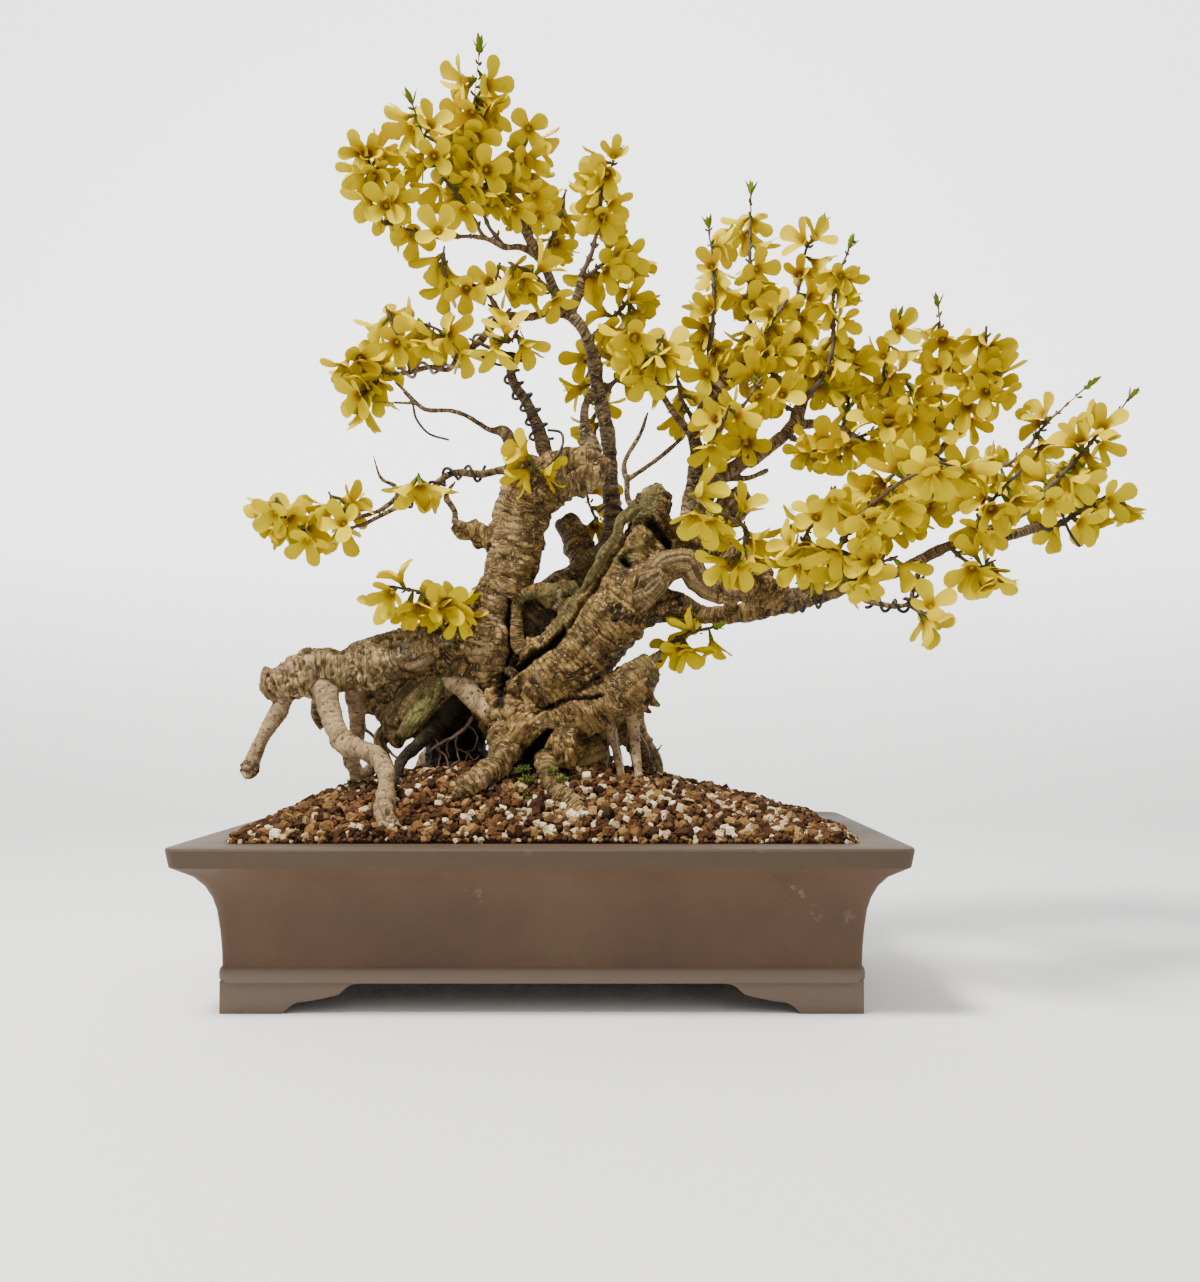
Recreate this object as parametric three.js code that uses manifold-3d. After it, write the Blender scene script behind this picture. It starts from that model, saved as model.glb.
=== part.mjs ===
// Forsythia bonsai in an unglazed stoneware pot: roots, trunk and limbs grown as one solid, flowering
// sprays, training wires, the soil mound and the footed pot. Millimetres, +Z up. The model is drawn round
// the middle of the pot at ground level, and the last lines stand its box centred on the origin.
import * as THREE from "three";
import { mergeVertices } from "three/addons/utils/BufferGeometryUtils.js";
import Module from "manifold-3d";

const wasm = await Module();
wasm.setup();
const V3 = THREE.Vector3;

// Driving dimensions of the pot.
const POT_LENGTH = 540;
const POT_DEPTH = 335;
const POT_HEIGHT = 125;
const POT_FLOOR_UNDERSIDE = 22;
const POT_FLOOR_TOP = 34;
const RIM_WIDTH = 35.7;
const OUTER_CORNER_RADIUS = 12;
const INNER_CORNER_RADIUS = 7;
const CORNER_STEPS = 2;
const OUTLINE_POINTS = 4 * (CORNER_STEPS + 1);
const FOOT_FLAT = 46;
const FOOT_THICKNESS = 17;
const FOOT_INSET = 33;
const FOOT_SIDE_SHARE = 0.8;
const FOOT_TOE_HEIGHT = 8;
const SCREEN_SIZE = 44;
const SCREEN_BAR = 3;
const SCREEN_THICKNESS = 1.2;
const DRAIN_OFFSET = 118;
const DRAIN_RADIUS = 12.5;
const DRAIN_SIDES = 16;

// What keeps the parts clear of each other, and how far a seam's slivers may be smoothed.
const CLEARANCE = 0.4;
const SEAM_TOLERANCE = 0.12;

// The pot's wall as inset from the rim's edge and height: from the underside up the outside, over the rim
// and down the inside to the floor.
const POT_PROFILE = [[34, POT_FLOOR_UNDERSIDE], [31.2, 24], [31, 32], [32.5, 35], [31.5, 59], [29.4, 76],
  [26.6, 86], [21.7, 96], [14.8, 103.5], [6.6, 108], [1.3, 113], [0, POT_HEIGHT - 1], [1, POT_HEIGHT],
  [RIM_WIDTH - 1, POT_HEIGHT], [RIM_WIDTH + 0.6, POT_HEIGHT - 2.5], [43, 60], [45, POT_FLOOR_TOP]];

// The ogee of a cloud foot beyond its flat, as curves: [distance, height] of each control point and end.
const FOOT_OGEE = [[[2, 9], [12, 9]], [[24, 8], [32, 13]], [[42, 19], [54, POT_FLOOR_UNDERSIDE]]];

// Driving dimensions of the soil mound: its crown stands left and right of this x, above the pot's rim.
const SOIL_EDGE_HEIGHT = 127.5;
const SOIL_RISE = 50;
const SOIL_CROWN_X = 20;
const SOIL_LEFT_RUN = 254;
const SOIL_RIGHT_RUN = 214;
const SOIL_LEFT_POWER = 3.2;
const SOIL_RIGHT_POWER = 1.45;
const SOIL_CROSS_RUN = 134;
const SOIL_CROSS_POWER = 2.2;
const SOIL_GRAIN_RELIEF = 1.7;
const SOIL_LONG_SIDE_STEPS = 7;
const SOIL_SHORT_SIDE_STEPS = 3;
const SOIL_ROWS = 4;

// The filling's wall under the mound as inset and height.
const SOIL_FLOOR = POT_FLOOR_TOP + SCREEN_THICKNESS + 0.8;
const SOIL_WALL = [[RIM_WIDTH + 3.2, POT_HEIGHT - 7], [43.8, 60], [46.2, SOIL_FLOOR]];

// Driving dimensions of a flower: lobes on a funnel whose stalk is sunk in its twig.
const LOBES = 4;
const LOBE_REACH = 20;
const LOBE_NOTCH_RADIUS = 7.2;
const LOBE_SWEEP = 6;
const THROAT_RISE = 1.8;
const FLOWER_SPACING = 16;
const LIMB_SPACING = 10;
const FLOWER_TRIES = 8;
const STALK_LENGTH = [11, 17];
const BUD_RADIUS = 2.1;
const BUD_LENGTH = 15;
const TWIG_SIDES = 3;

// Driving dimensions of the training wires.
const WIRE_RADIUS = 1.4;
const WIRE_STEPS_PER_TURN = 5;
const WIRE_SIDES = 3;

// The limbs were read off a level view of the tree with this focal length in image steps. A reading is
// [step across, step down, millimetres behind the trunk's plane, half thickness in steps].
const VIEW = { across: 614, down: 712, focal: 1250, standoff: 1053.3, x: 53.2, z: 222 };

const place = ([across, down, behind, half]) => {
  const scale = (VIEW.standoff + behind) / VIEW.focal;
  const x = VIEW.x + (across - VIEW.across) * scale;
  const z = VIEW.z - (down - VIEW.down) * scale;
  return { at: new V3(x, behind, z), radius: half * scale };
};

// Trunk and root limbs: name, sides, readings.
const TRUNK = {
  column: [8, [478, 690, 0, 28], [480, 655, -5, 34], [494, 608, -8, 27], [507, 580, -8, 25],
    [515, 555, -8, 27], [521, 525, -8, 29], [530, 498, -8, 29], [548, 479, -8, 26], [570, 472, -8, 23],
    [592, 471, -9, 21], [605, 475, -10, 15]],
  leaning_trunk: [9, [522, 700, -20, 22], [545, 678, -24, 33], [575, 652, -26, 38], [603, 620, -28, 39],
    [624, 588, -28, 35], [637, 560, -24, 28], [645, 535, -18, 21], [655, 510, -12, 17], [658, 493, -8, 15]],
  hollow_back: [6, [505, 650, 10, 20], [530, 625, 16, 26], [560, 598, 20, 24], [590, 572, 22, 19],
    [612, 548, 18, 14]],
  cut_stub_behind: [6, [596, 580, 28, 15], [580, 552, 32, 15], [571, 530, 34, 13], [566, 519, 35, 11]],
  swirl_branch: [6, [612, 600, -34, 22], [638, 592, -42, 17], [656, 580, -48, 15], [670, 566, -52, 15],
    [686, 563, -53, 15], [698, 578, -52, 13], [714, 589, -50, 12], [738, 590, -46, 12], [760, 590, -42, 13],
    [782, 598, -36, 13]],
  under_branch: [6, [640, 612, 0, 15], [668, 612, 2, 10], [692, 614, 0, 10], [716, 614, -4, 9],
    [742, 613, -10, 9], [768, 609, -20, 10], [792, 604, -30, 10], [816, 597, -38, 9], [836, 590, -45, 9],
    [852, 582, -50, 8]],
  upper_shoulder: [6, [645, 560, -15, 22], [668, 542, -2, 17], [692, 530, 8, 15], [712, 520, 16, 13],
    [733, 508, 26, 16], [746, 498, 30, 10]],
  cut_root_stub: [6, [552, 728, -34, 20], [584, 712, -40, 22], [614, 697, -44, 22], [638, 677, -46, 20],
    [654, 664, -46, 15]],
  base_knot: [7, [490, 700, -25, 20], [515, 722, -38, 25], [545, 742, -46, 22], [575, 748, -50, 20]],
  base_core: [8, [496, 684, 2, 32], [528, 725, 0, 46], [556, 755, 0, 50], [572, 800, 0, 48]],
  inner_root: [4, [452, 680, -22, 13], [468, 692, -30, 11], [482, 706, -36, 11], [500, 722, -38, 13]],
  front_left_root: [4, [505, 730, -44, 18], [505, 750, -58, 15], [497, 766, -70, 13], [482, 776, -79, 13],
    [466, 786, -86, 10], [456, 800, -88, 7]],
  front_right_root: [4, [545, 755, -56, 12], [549, 778, -76, 9.5], [560, 794, -92, 9.5],
    [575, 804, -100, 9], [592, 818, -108, 6]],
  left_arm: [7, [478, 645, -5, 36], [448, 646, -6, 33], [420, 650, -8, 27], [396, 656, -10, 22],
    [372, 664, -12, 24], [345, 670, -12, 22], [318, 671, -14, 22], [295, 678, -16, 20], [278, 683, -18, 16],
    [268, 684, -18, 11]],
  hanging_root: [4, [288, 690, -16, 10], [281, 706, -18, 9], [270, 725, -22, 8], [260, 742, -26, 7],
    [254, 756, -28, 8], [249, 770, -30, 9]],
  stilt_root: [4, [324, 680, -20, 12], [329, 705, -30, 11], [337, 730, -42, 10.5], [348, 746, -54, 11],
    [363, 750, -64, 10], [378, 758, -74, 10], [386, 774, -86, 9], [386, 792, -98, 9], [385, 806, -106, 10],
    [384, 826, -118, 8], [382, 846, -126, 5]],
  stilt_toe: [3, [388, 812, -108, 8], [398, 826, -116, 5], [412, 842, -122, 3.5]],
  back_stilt: [4, [356, 690, 5, 10], [357, 716, 8, 9], [357, 740, 6, 8], [351, 758, 2, 8],
    [357, 774, -2, 9], [358, 800, -6, 8]],
  shari_slab: [6, [460, 672, 4, 22], [436, 690, 4, 20], [414, 706, 2, 20], [400, 722, 0, 18],
    [397, 738, -2, 11], [399, 748, -2, 4]],
  slab_left: [4, [420, 695, 12, 20], [392, 704, 14, 15], [368, 705, 14, 9], [352, 696, 8, 7]],
  hook: [3, [326, 690, -4, 9], [317, 706, 0, 7], [316, 718, 0, 5], [323, 728, 0, 3.5]],
  root_ball: [6, [486, 662, 8, 26], [474, 700, 30, 28], [458, 735, 40, 30], [462, 790, 40, 32]],
  dark_root: [3, [466, 690, 0, 12], [440, 722, -8, 9], [416, 746, -24, 6.5], [401, 762, -40, 6],
    [396, 778, -52, 5.5], [395, 798, -58, 5]],
  right_root_a: [3, [604, 706, -40, 8], [616, 748, -36, 4.5], [623, 784, -46, 4]],
  right_root_b: [3, [630, 690, -42, 10], [634, 735, -36, 6], [637, 760, -46, 5], [640, 794, -56, 4]],
  right_root_c: [3, [636, 684, -40, 10], [646, 738, -12, 4], [656, 754, -10, 4], [662, 790, -12, 3.5]],
  right_root_d: [4, [600, 712, -10, 26], [640, 745, 18, 13], [648, 790, 18, 11]],
  back_root: [4, [560, 730, 30, 26], [575, 750, 60, 18], [590, 768, 85, 11], [602, 796, 106, 7]],
  back_left_root: [4, [470, 720, 35, 20], [445, 745, 62, 13], [425, 765, 84, 9], [410, 796, 100, 6]],
  side_knob: [4, [492, 540, -8, 11], [476, 531, -10, 9], [462, 531, -12, 9], [455, 524, -12, 7]],
  side_knob_nub: [3, [472, 521, -9, 5], [478, 534, -10, 8], [476, 549, -11, 4]],
};

// Bare branches that belong to the same grown wood: name, sides, readings.
const BRANCHES = {
  rear_stem: [4, [604, 572, 30, 14], [611, 530, 34, 11], [611, 485, 34, 10], [609, 445, 30, 9],
    [604, 415, 26, 9], [597, 385, 23, 8], [592, 352, 21, 7.5], [583, 330, 19, 7.5], [570, 314, 17, 7]],
  burl_stem: [4, [592, 462, -4, 14], [590, 444, 2, 11], [584, 424, 8, 6], [586, 404, 14, 5],
    [596, 388, 22, 6]],
  crown_stem: [4, [571, 315, 17, 7], [559, 298, 14, 6], [545, 268, 10, 5.5], [537, 252, 7, 6],
    [528, 236, 4, 5.5], [521, 222, 2, 4]],
  crown_left: [3, [540, 257, 8, 5], [520, 247, 2, 4], [504, 247, -2, 4], [490, 240, -6, 3.5],
    [472, 236, -10, 3]],
  crown_rise: [3, [571, 314, 17, 6], [579, 292, 14, 5.5], [583, 272, 12, 4.5]],
  wired_arm: [4, [570, 315, 17, 6.5], [550, 312, 10, 5], [532, 317, 6, 4.5], [502, 317, 0, 4.6],
    [480, 341, -8, 4.6], [458, 358, -14, 4], [448, 370, -16, 3.6], [432, 367, -18, 3.4], [406, 373, -22, 3],
    [392, 374, -24, 2.6]],
  wired_upright: [4, [548, 462, -8, 10], [541, 438, -8, 8.5], [534, 418, -9, 7], [526, 401, -10, 6.2],
    [516, 387, -11, 6], [511, 372, -12, 5.6], [513, 352, -12, 5.2]],
  upright_left_twig: [3, [513, 356, -12, 3.6], [500, 351, -15, 3.2], [488, 347, -18, 3],
    [468, 338, -22, 1.8]],
  upright_right_twig: [3, [514, 356, -12, 3], [524, 362, -10, 2.2], [529, 356, -8, 2], [520, 330, -8, 1.4]],
  mid_left_twig: [3, [512, 466, -10, 9], [511, 445, -11, 8.5], [503, 432, -12, 7.5], [490, 430, -13, 3.8],
    [478, 423, -14, 3.4], [465, 415, -16, 3], [452, 411, -18, 3], [424, 409, -22, 3], [404, 390, -26, 2.4],
    [395, 382, -28, 1.8]],
  mid_left_side: [3, [416, 403, -24, 2.4], [400, 403, -28, 2], [374, 402, -33, 1.6]],
  low_left_branch: [4, [520, 474, -10, 9], [502, 470, -12, 5.4], [484, 474, -14, 4.8],
    [450, 474, -18, 4.4], [440, 481, -20, 4], [430, 491, -22, 3.6], [416, 498, -24, 3.4],
    [382, 515, -28, 3.2], [365, 524, -30, 3]],
  low_left_fork: [3, [430, 491, -22, 3.4], [402, 492, -22, 3.2], [396, 498, -22, 3.2],
    [384, 508, -24, 3.2], [350, 519, -28, 3], [334, 522, -30, 2.8]],
  low_left_spur: [3, [398, 494, -22, 3], [394, 485, -20, 3], [384, 481, -20, 2.4], [373, 455, -20, 1.4]],
  side_twig: [3, [455, 524, -12, 4.6], [455, 512, -12, 3.8], [446, 496, -14, 3.4], [456, 481, -14, 1.6]],
  fork_left_stem: [5, [690, 540, 10, 13], [690, 505, 14, 9.5], [694, 480, 16, 8.5], [697, 456, 18, 8],
    [694, 434, 20, 8.5], [700, 416, 24, 7.6], [711, 400, 28, 7.4], [728, 374, 36, 7]],
  fork_left_twig: [3, [690, 432, 20, 5.2], [676, 416, 14, 4.4], [664, 398, 8, 4.2], [653, 380, 2, 4]],
  bend_stem: [5, [704, 532, 14, 13], [702, 508, 12, 11], [711, 489, 12, 9.5], [723, 476, 14, 9],
    [757, 456, 28, 8.4], [774, 443, 38, 8], [790, 429, 48, 7.4], [798, 414, 56, 8], [803, 398, 62, 7.5]],
  bend_side: [3, [726, 478, 14, 4.4], [748, 478, 22, 3.8], [768, 470, 32, 3.4]],
  rear_right_limb: [3, [792, 426, 50, 6.2], [816, 424, 66, 5.2], [842, 430, 80, 4.6], [884, 456, 96, 4.4],
    [908, 462, 98, 4.6], [934, 456, 96, 4.8], [952, 436, 92, 4.6]],
  right_limb: [4, [850, 583, -50, 8], [872, 578, -54, 6.4], [898, 572, -58, 6.2], [920, 560, -60, 7],
    [942, 549, -60, 6.2], [966, 540, -58, 6], [990, 530, -54, 5.6], [1012, 519, -50, 5],
    [1032, 507, -46, 4.6]],
  right_limb_low: [3, [966, 541, -58, 5.4], [992, 541, -48, 5.4], [1016, 534, -38, 5.6],
    [1036, 527, -30, 6]],
  right_rise: [3, [836, 590, -45, 6.4], [852, 562, -44, 5.4], [866, 532, -40, 5]],
  wire_loop_twig: [3, [852, 584, -50, 5], [862, 598, -56, 4.2], [880, 604, -62, 3.8],
    [900, 606, -68, 3.8], [908, 604, -72, 3.8], [914, 586, -76, 3.6], [920, 568, -78, 3.4]],
  front_limb: [3, [782, 598, -36, 9], [804, 590, -66, 6.4], [826, 574, -96, 5.4]],
  front_drape_base: [3, [756, 590, -42, 7], [752, 562, -48, 5.4], [748, 542, -62, 4.4]],
  thin_riser: [3, [640, 515, -6, 6], [628, 500, 0, 4.4], [627, 482, 4, 4], [624, 470, 8, 3.6],
    [642, 430, 22, 2.6], [648, 412, 26, 2]],
  thin_riser_side: [3, [627, 480, 4, 3.6], [664, 454, 16, 3], [682, 438, 20, 2.8]],
};

// Flowering sprays, one node each. A twig is [limb it leaves, flowers, where the first and the last stand as
// shares of its length, whether a leaf bud ends it, readings]. The first twig leaves the wood.
const SPRAYS = {
  crown_peak: {
    main: ["crown_left", 13, [0.34, 0.86], true, [505, 247, -2, 4], [490, 228, -4, 3.2],
      [480, 206, -6, 3], [475, 182, -8, 2.8], [473, 126, -12, 2.5], [479, 54, -15, 1.6]],
  },
  crown_left_up: {
    main: ["crown_left", 10, [0.2, 0.86], true, [484, 238, -6, 3.4], [466, 206, -12, 3],
      [450, 186, -18, 2.6], [428, 146, -28, 2.2], [413, 106, -32, 1.6]],
  },
  crown_far_left: {
    main: ["crown_left", 3, [0.2, 1], false, [472, 236, -10, 3], [430, 237, -18, 2.8],
      [396, 226, -24, 2.5], [382, 222, -26, 2.2]],
    upper: ["main", 10, [0.15, 1], false, [396, 226, -24, 2.5], [388, 208, -26, 2.8],
      [372, 168, -30, 2.2], [360, 142, -32, 2]],
  },
  crown_middle: {
    main: ["crown_stem", 7, [0.2, 1], false, [521, 222, 2, 4], [512, 206, 0, 3.2], [490, 178, -4, 2.5],
      [476, 160, -8, 2]],
  },
  crown_right: {
    main: ["crown_stem", 9, [0.2, 1], false, [530, 240, 4, 4], [534, 215, 14, 3], [528, 190, 18, 2.8],
      [524, 150, 20, 2.2], [530, 122, 20, 1.6]],
  },
  crown_back: {
    main: ["crown_stem", 4, [0.3, 1], false, [545, 268, 10, 4], [552, 240, 34, 3], [560, 214, 52, 2.4],
      [566, 190, 62, 2]],
  },
  tall_twig: {
    main: ["crown_rise", 7, [0.42, 0.86], true, [583, 272, 12, 4.5], [591, 256, 8, 3.8],
      [596, 236, 4, 3.2], [604, 185, -6, 2.4], [614, 160, -10, 1.7]],
  },
  crown_inner: {
    main: ["crown_rise", 7, [0.22, 1], false, [581, 282, 12, 4], [600, 266, 24, 3.2], [616, 256, 32, 2.8],
      [636, 250, 38, 2]],
  },
  crown_core: {
    main: ["crown_stem", 5, [0.25, 1], false, [566, 306, 16, 4.4], [548, 288, -8, 3.2],
      [530, 272, -22, 2.6], [508, 262, -32, 2]],
  },
  rear_right_spray: {
    main: ["rear_stem", 8, [0.2, 1], false, [588, 340, 20, 5], [604, 327, 30, 4.2], [622, 308, 42, 3.2],
      [640, 284, 50, 2.2]],
  },
  rear_mid_spray: {
    main: ["rear_stem", 7, [0.22, 1], false, [600, 398, 24, 5], [616, 380, 34, 3.8], [634, 358, 44, 3],
      [644, 334, 50, 2.2]],
  },
  rear_back_spray: {
    main: ["rear_stem", 6, [0.25, 1], false, [609, 448, 30, 5], [600, 420, 62, 3.8], [592, 384, 86, 3],
      [586, 350, 102, 2.2]],
  },
  rear_low_spray: {
    main: ["rear_stem", 3, [0.4, 1], false, [611, 540, 34, 4], [600, 524, 56, 3], [590, 506, 72, 2.4],
      [586, 488, 80, 1.8]],
  },
  upper_left_arm: {
    main: ["wired_arm", 4, [0.4, 1], false, [502, 317, 0, 4.4], [484, 291, -4, 3.6], [468, 284, -8, 3.2],
      [455, 280, -11, 3], [445, 275, -13, 3], [444, 246, -15, 1.8]],
    upper: ["main", 3, [0.3, 1], false, [490, 298, -3, 3.4], [496, 280, -8, 2.6], [500, 262, -12, 2]],
  },
  arm_left_twig: {
    main: ["wired_arm", 5, [0.4, 1], false, [410, 372, -21, 3], [405, 354, -20, 2.4],
      [398, 336, -18, 2.2], [385, 306, -15, 1.6]],
  },
  arm_right_twig: {
    main: ["wired_arm", 5, [0.25, 1], false, [462, 355, -12, 3.4], [452, 340, -24, 2.8],
      [438, 330, -32, 2.4], [424, 324, -38, 1.8]],
  },
  arm_inner_twig: {
    main: ["wired_arm", 4, [0.3, 1], false, [516, 317, 3, 3.4], [516, 334, -12, 2.8],
      [506, 342, -26, 2.4], [492, 338, -36, 1.8]],
  },
  arm_tip: {
    main: ["wired_arm", 7, [0.1, 1], false, [392, 374, -24, 2.6], [380, 371, -26, 2.4],
      [370, 364, -28, 2.2], [350, 350, -32, 1.8]],
    lower: ["main", 4, [0.3, 1], false, [382, 372, -26, 2.2], [374, 386, -30, 2], [362, 396, -34, 1.6]],
  },
  column_top_twig: {
    main: ["column", 3, [0.62, 1], false, [532, 492, -8, 6], [533, 470, -30, 4], [534, 458, -38, 2.6]],
  },
  low_left_tip: {
    main: ["low_left_fork", 7, [0.3, 1], false, [334, 522, -30, 2.8], [318, 528, -32, 2.8],
      [302, 534, -34, 3], [294, 522, -36, 3], [276, 498, -39, 2.4]],
  },
  low_left_mid: {
    main: ["low_left_branch", 5, [0.2, 1], false, [365, 524, -30, 3], [346, 528, -32, 2.8],
      [340, 510, -34, 2.4], [328, 492, -36, 1.8]],
  },
  low_left_facing: {
    main: ["low_left_branch", 2, [0.7, 1], false, [424, 495, -23, 3], [422, 484, -34, 2.4],
      [418, 474, -42, 1.8]],
  },
  trunk_shoot: {
    main: ["column", 10, [0.32, 1], false, [474, 612, -26, 8], [450, 603, -34, 3.4], [436, 597, -36, 2.8],
      [405, 589, -40, 2.4], [386, 586, -42, 2]],
  },
  fork_left_spray: {
    main: ["fork_left_twig", 7, [0.12, 0.86], true, [653, 380, 2, 4], [645, 360, -2, 3.6],
      [639, 345, -4, 3], [634, 332, -6, 2.2]],
    side: ["main", 2, [0.4, 1], false, [647, 366, -1, 3], [656, 350, -10, 2.4], [664, 334, -14, 2]],
  },
  fork_left_inner: {
    main: ["fork_left_stem", 7, [0.2, 1], false, [697, 424, 22, 4.4], [684, 404, 38, 3.4],
      [678, 384, 48, 2.8], [674, 356, 56, 2]],
  },
  fork_mid_spray: {
    main: ["fork_left_stem", 5, [0.2, 1], false, [696, 460, 18, 5], [712, 440, -2, 3.4],
      [722, 424, -12, 2.8], [730, 404, -20, 2]],
  },
  tower_a: {
    main: ["fork_left_stem", 11, [0.1, 0.86], true, [712, 398, 28, 5], [708, 364, 40, 4.2],
      [712, 332, 50, 3.6], [714, 300, 58, 3.2], [713, 268, 66, 2.8], [709, 230, 72, 1.7]],
  },
  tower_b: {
    main: ["fork_left_stem", 13, [0.08, 0.86], true, [728, 374, 36, 6.4], [744, 364, 46, 5],
      [756, 346, 58, 4.2], [750, 318, 70, 3.6], [750, 250, 86, 2.8], [751, 196, 94, 1.8]],
    side: ["main", 3, [0.3, 1], false, [754, 342, 60, 4], [770, 322, 54, 3.2], [788, 300, 48, 2.2]],
  },
  mid_tangle: {
    main: ["bend_stem", 7, [0.12, 1], false, [757, 456, 28, 4.4], [742, 438, 30, 3.8],
      [734, 424, 32, 3.4], [742, 408, 30, 3], [762, 378, 26, 2]],
  },
  tower_c: {
    main: ["bend_stem", 12, [0.12, 0.86], true, [803, 398, 62, 6.4], [804, 378, 76, 5], [803, 350, 90, 4],
      [798, 294, 108, 3], [808, 246, 116, 2.2], [818, 228, 118, 1.7]],
  },
  tower_d: {
    main: ["bend_stem", 10, [0.14, 0.86], true, [801, 406, 60, 6], [822, 378, 56, 4.4],
      [832, 352, 54, 3.6], [834, 292, 54, 2.8], [848, 250, 56, 1.8]],
  },
  tower_low: {
    main: ["bend_stem", 7, [0.27, 1], false, [798, 414, 56, 4], [782, 402, 44, 3.2], [774, 384, 46, 2.8],
      [774, 344, 56, 2]],
  },
  tower_e: {
    main: ["rear_right_limb", 8, [0.14, 1], false, [842, 430, 80, 3.8], [848, 406, 88, 3.2],
      [846, 372, 98, 2.8], [852, 342, 104, 2]],
  },
  tower_f: {
    main: ["rear_right_limb", 9, [0.14, 0.86], true, [884, 456, 96, 4], [896, 440, 102, 3.4],
      [892, 414, 106, 3], [884, 364, 112, 2.4], [897, 322, 114, 1.6]],
  },
  tower_g: {
    main: ["rear_right_limb", 10, [0.1, 0.86], true, [934, 456, 96, 4.8], [936, 430, 100, 4.4],
      [936, 404, 106, 4.2], [944, 352, 118, 2.8], [938, 308, 124, 1.7]],
  },
  tower_h: {
    main: ["rear_right_limb", 7, [0.14, 1], false, [952, 436, 92, 4.6], [962, 414, 78, 5],
      [974, 392, 66, 5], [985, 344, 52, 3.4], [986, 326, 50, 2.2]],
    side: ["main", 3, [0.3, 1], false, [972, 396, 67, 3.2], [986, 388, 54, 2.6], [1000, 380, 44, 2]],
  },
  far_shoot: {
    main: ["rear_right_limb", 8, [0.08, 0.72], true, [934, 458, 96, 4.2], [960, 468, 80, 3.8],
      [986, 470, 60, 3.4], [1012, 462, 40, 3], [1046, 424, 44, 2.4], [1086, 388, 47, 1.6]],
  },
  right_tip_upper: {
    main: ["right_limb", 11, [0.02, 0.66], true, [1032, 507, -46, 4.6], [1046, 491, -42, 4.2],
      [1074, 462, -34, 3.4], [1104, 428, -26, 2.6], [1128, 400, -23, 1.7]],
  },
  right_tip_lower: {
    main: ["right_limb_low", 7, [0.2, 1], false, [1036, 527, -30, 6], [1054, 526, -24, 5.6],
      [1068, 519, -18, 4.6], [1100, 500, -6, 2.8], [1122, 492, 2, 2]],
  },
  right_hanging: {
    main: ["right_limb", 4, [0.3, 1], false, [950, 546, -60, 4], [962, 558, -72, 3], [980, 566, -80, 2.4],
      [996, 560, -86, 1.8]],
  },
  right_rise_spray: {
    main: ["right_rise", 9, [0.1, 1], false, [866, 532, -40, 5], [892, 519, -34, 5], [918, 508, -26, 4.6],
      [940, 492, -18, 4], [952, 466, -10, 3]],
  },
  front_high_spray: {
    main: ["right_rise", 11, [0.12, 1], false, [866, 532, -40, 5], [876, 500, -62, 4],
      [894, 474, -80, 3.4], [926, 460, -92, 2.8], [962, 470, -98, 2.2]],
  },
  front_right_spray: {
    main: ["right_limb", 9, [0.16, 1], false, [966, 540, -58, 5], [984, 512, -78, 3.8],
      [1000, 492, -90, 3], [1022, 470, -96, 2.2]],
  },
  middle_front_spray: {
    main: ["bend_stem", 10, [0.14, 1], false, [784, 434, 44, 5], [812, 444, 20, 4], [846, 442, 0, 3.4],
      [880, 428, -14, 2.8], [914, 410, -22, 2.2]],
  },
  middle_gap_spray: {
    main: ["rear_right_limb", 8, [0.16, 1], false, [908, 462, 98, 4.4], [912, 436, 74, 3.6],
      [916, 408, 58, 3], [906, 378, 48, 2.2]],
  },
  loop_tip: {
    main: ["wire_loop_twig", 2, [0.3, 1], false, [908, 604, -72, 3.6], [920, 612, -80, 2.8],
      [934, 612, -86, 2]],
  },
  front_spray: {
    main: ["front_limb", 10, [0.16, 1], false, [826, 574, -96, 5.4], [842, 542, -124, 4.8],
      [862, 514, -146, 4.2], [908, 478, -172, 3], [940, 462, -178, 2.2]],
  },
  front_left_spray: {
    main: ["front_limb", 7, [0.2, 1], false, [802, 592, -62, 5], [800, 566, -92, 4.2],
      [804, 540, -116, 3.6], [820, 512, -136, 3], [836, 486, -148, 2.2]],
  },
  front_low_spray: {
    main: ["front_limb", 6, [0.2, 1], false, [818, 580, -86, 4], [844, 578, -116, 3.4],
      [870, 566, -136, 3], [898, 556, -152, 2.2]],
  },
  front_drape: {
    main: ["front_drape_base", 8, [0.12, 1], false, [748, 542, -62, 4.4], [744, 526, -86, 3.6],
      [726, 516, -104, 3], [706, 508, -118, 2.6], [684, 494, -130, 1.8]],
    lower: ["main", 3, [0.3, 1], false, [745, 530, -80, 3.2], [742, 548, -94, 2.6], [732, 560, -104, 2]],
  },
  low_shoot: {
    main: ["cut_root_stub", 4, [0.3, 0.86], true, [648, 668, -42, 6], [662, 650, -36, 4],
      [684, 636, -30, 3.6], [710, 628, -26, 2.4]],
  },
};

// Training wires: the wood they are wound on, where they start and end as shares of its length, turns.
const WIRES = {
  wire_low_left: { around: "low_left_branch", from: 0.2, to: 0.78, turns: 5 },
  wire_upright: { around: "wired_upright", from: 0.18, to: 0.97, turns: 6 },
  wire_arm: { around: "wired_arm", from: 0.3, to: 0.97, turns: 6 },
  wire_right: { around: "wire_loop_twig", from: 0.25, to: 0.93, turns: 4 },
};

// Seeded draws: the same seed gives the same tree.
let seed = 20817;
const draw = (low, high) => {
  seed = (seed * 16807) % 2147483647;
  return low + (high - low) * (seed / 2147483647);
};

// A level direction square to a given one, or one square to X where the given one is steeper than the limit.
const sidewaysOf = (along, steep) => {
  const reference = Math.abs(along.z) > steep ? new V3(1, 0, 0) : new V3(0, 0, 1);
  return reference.cross(along).normalize();
};

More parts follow.
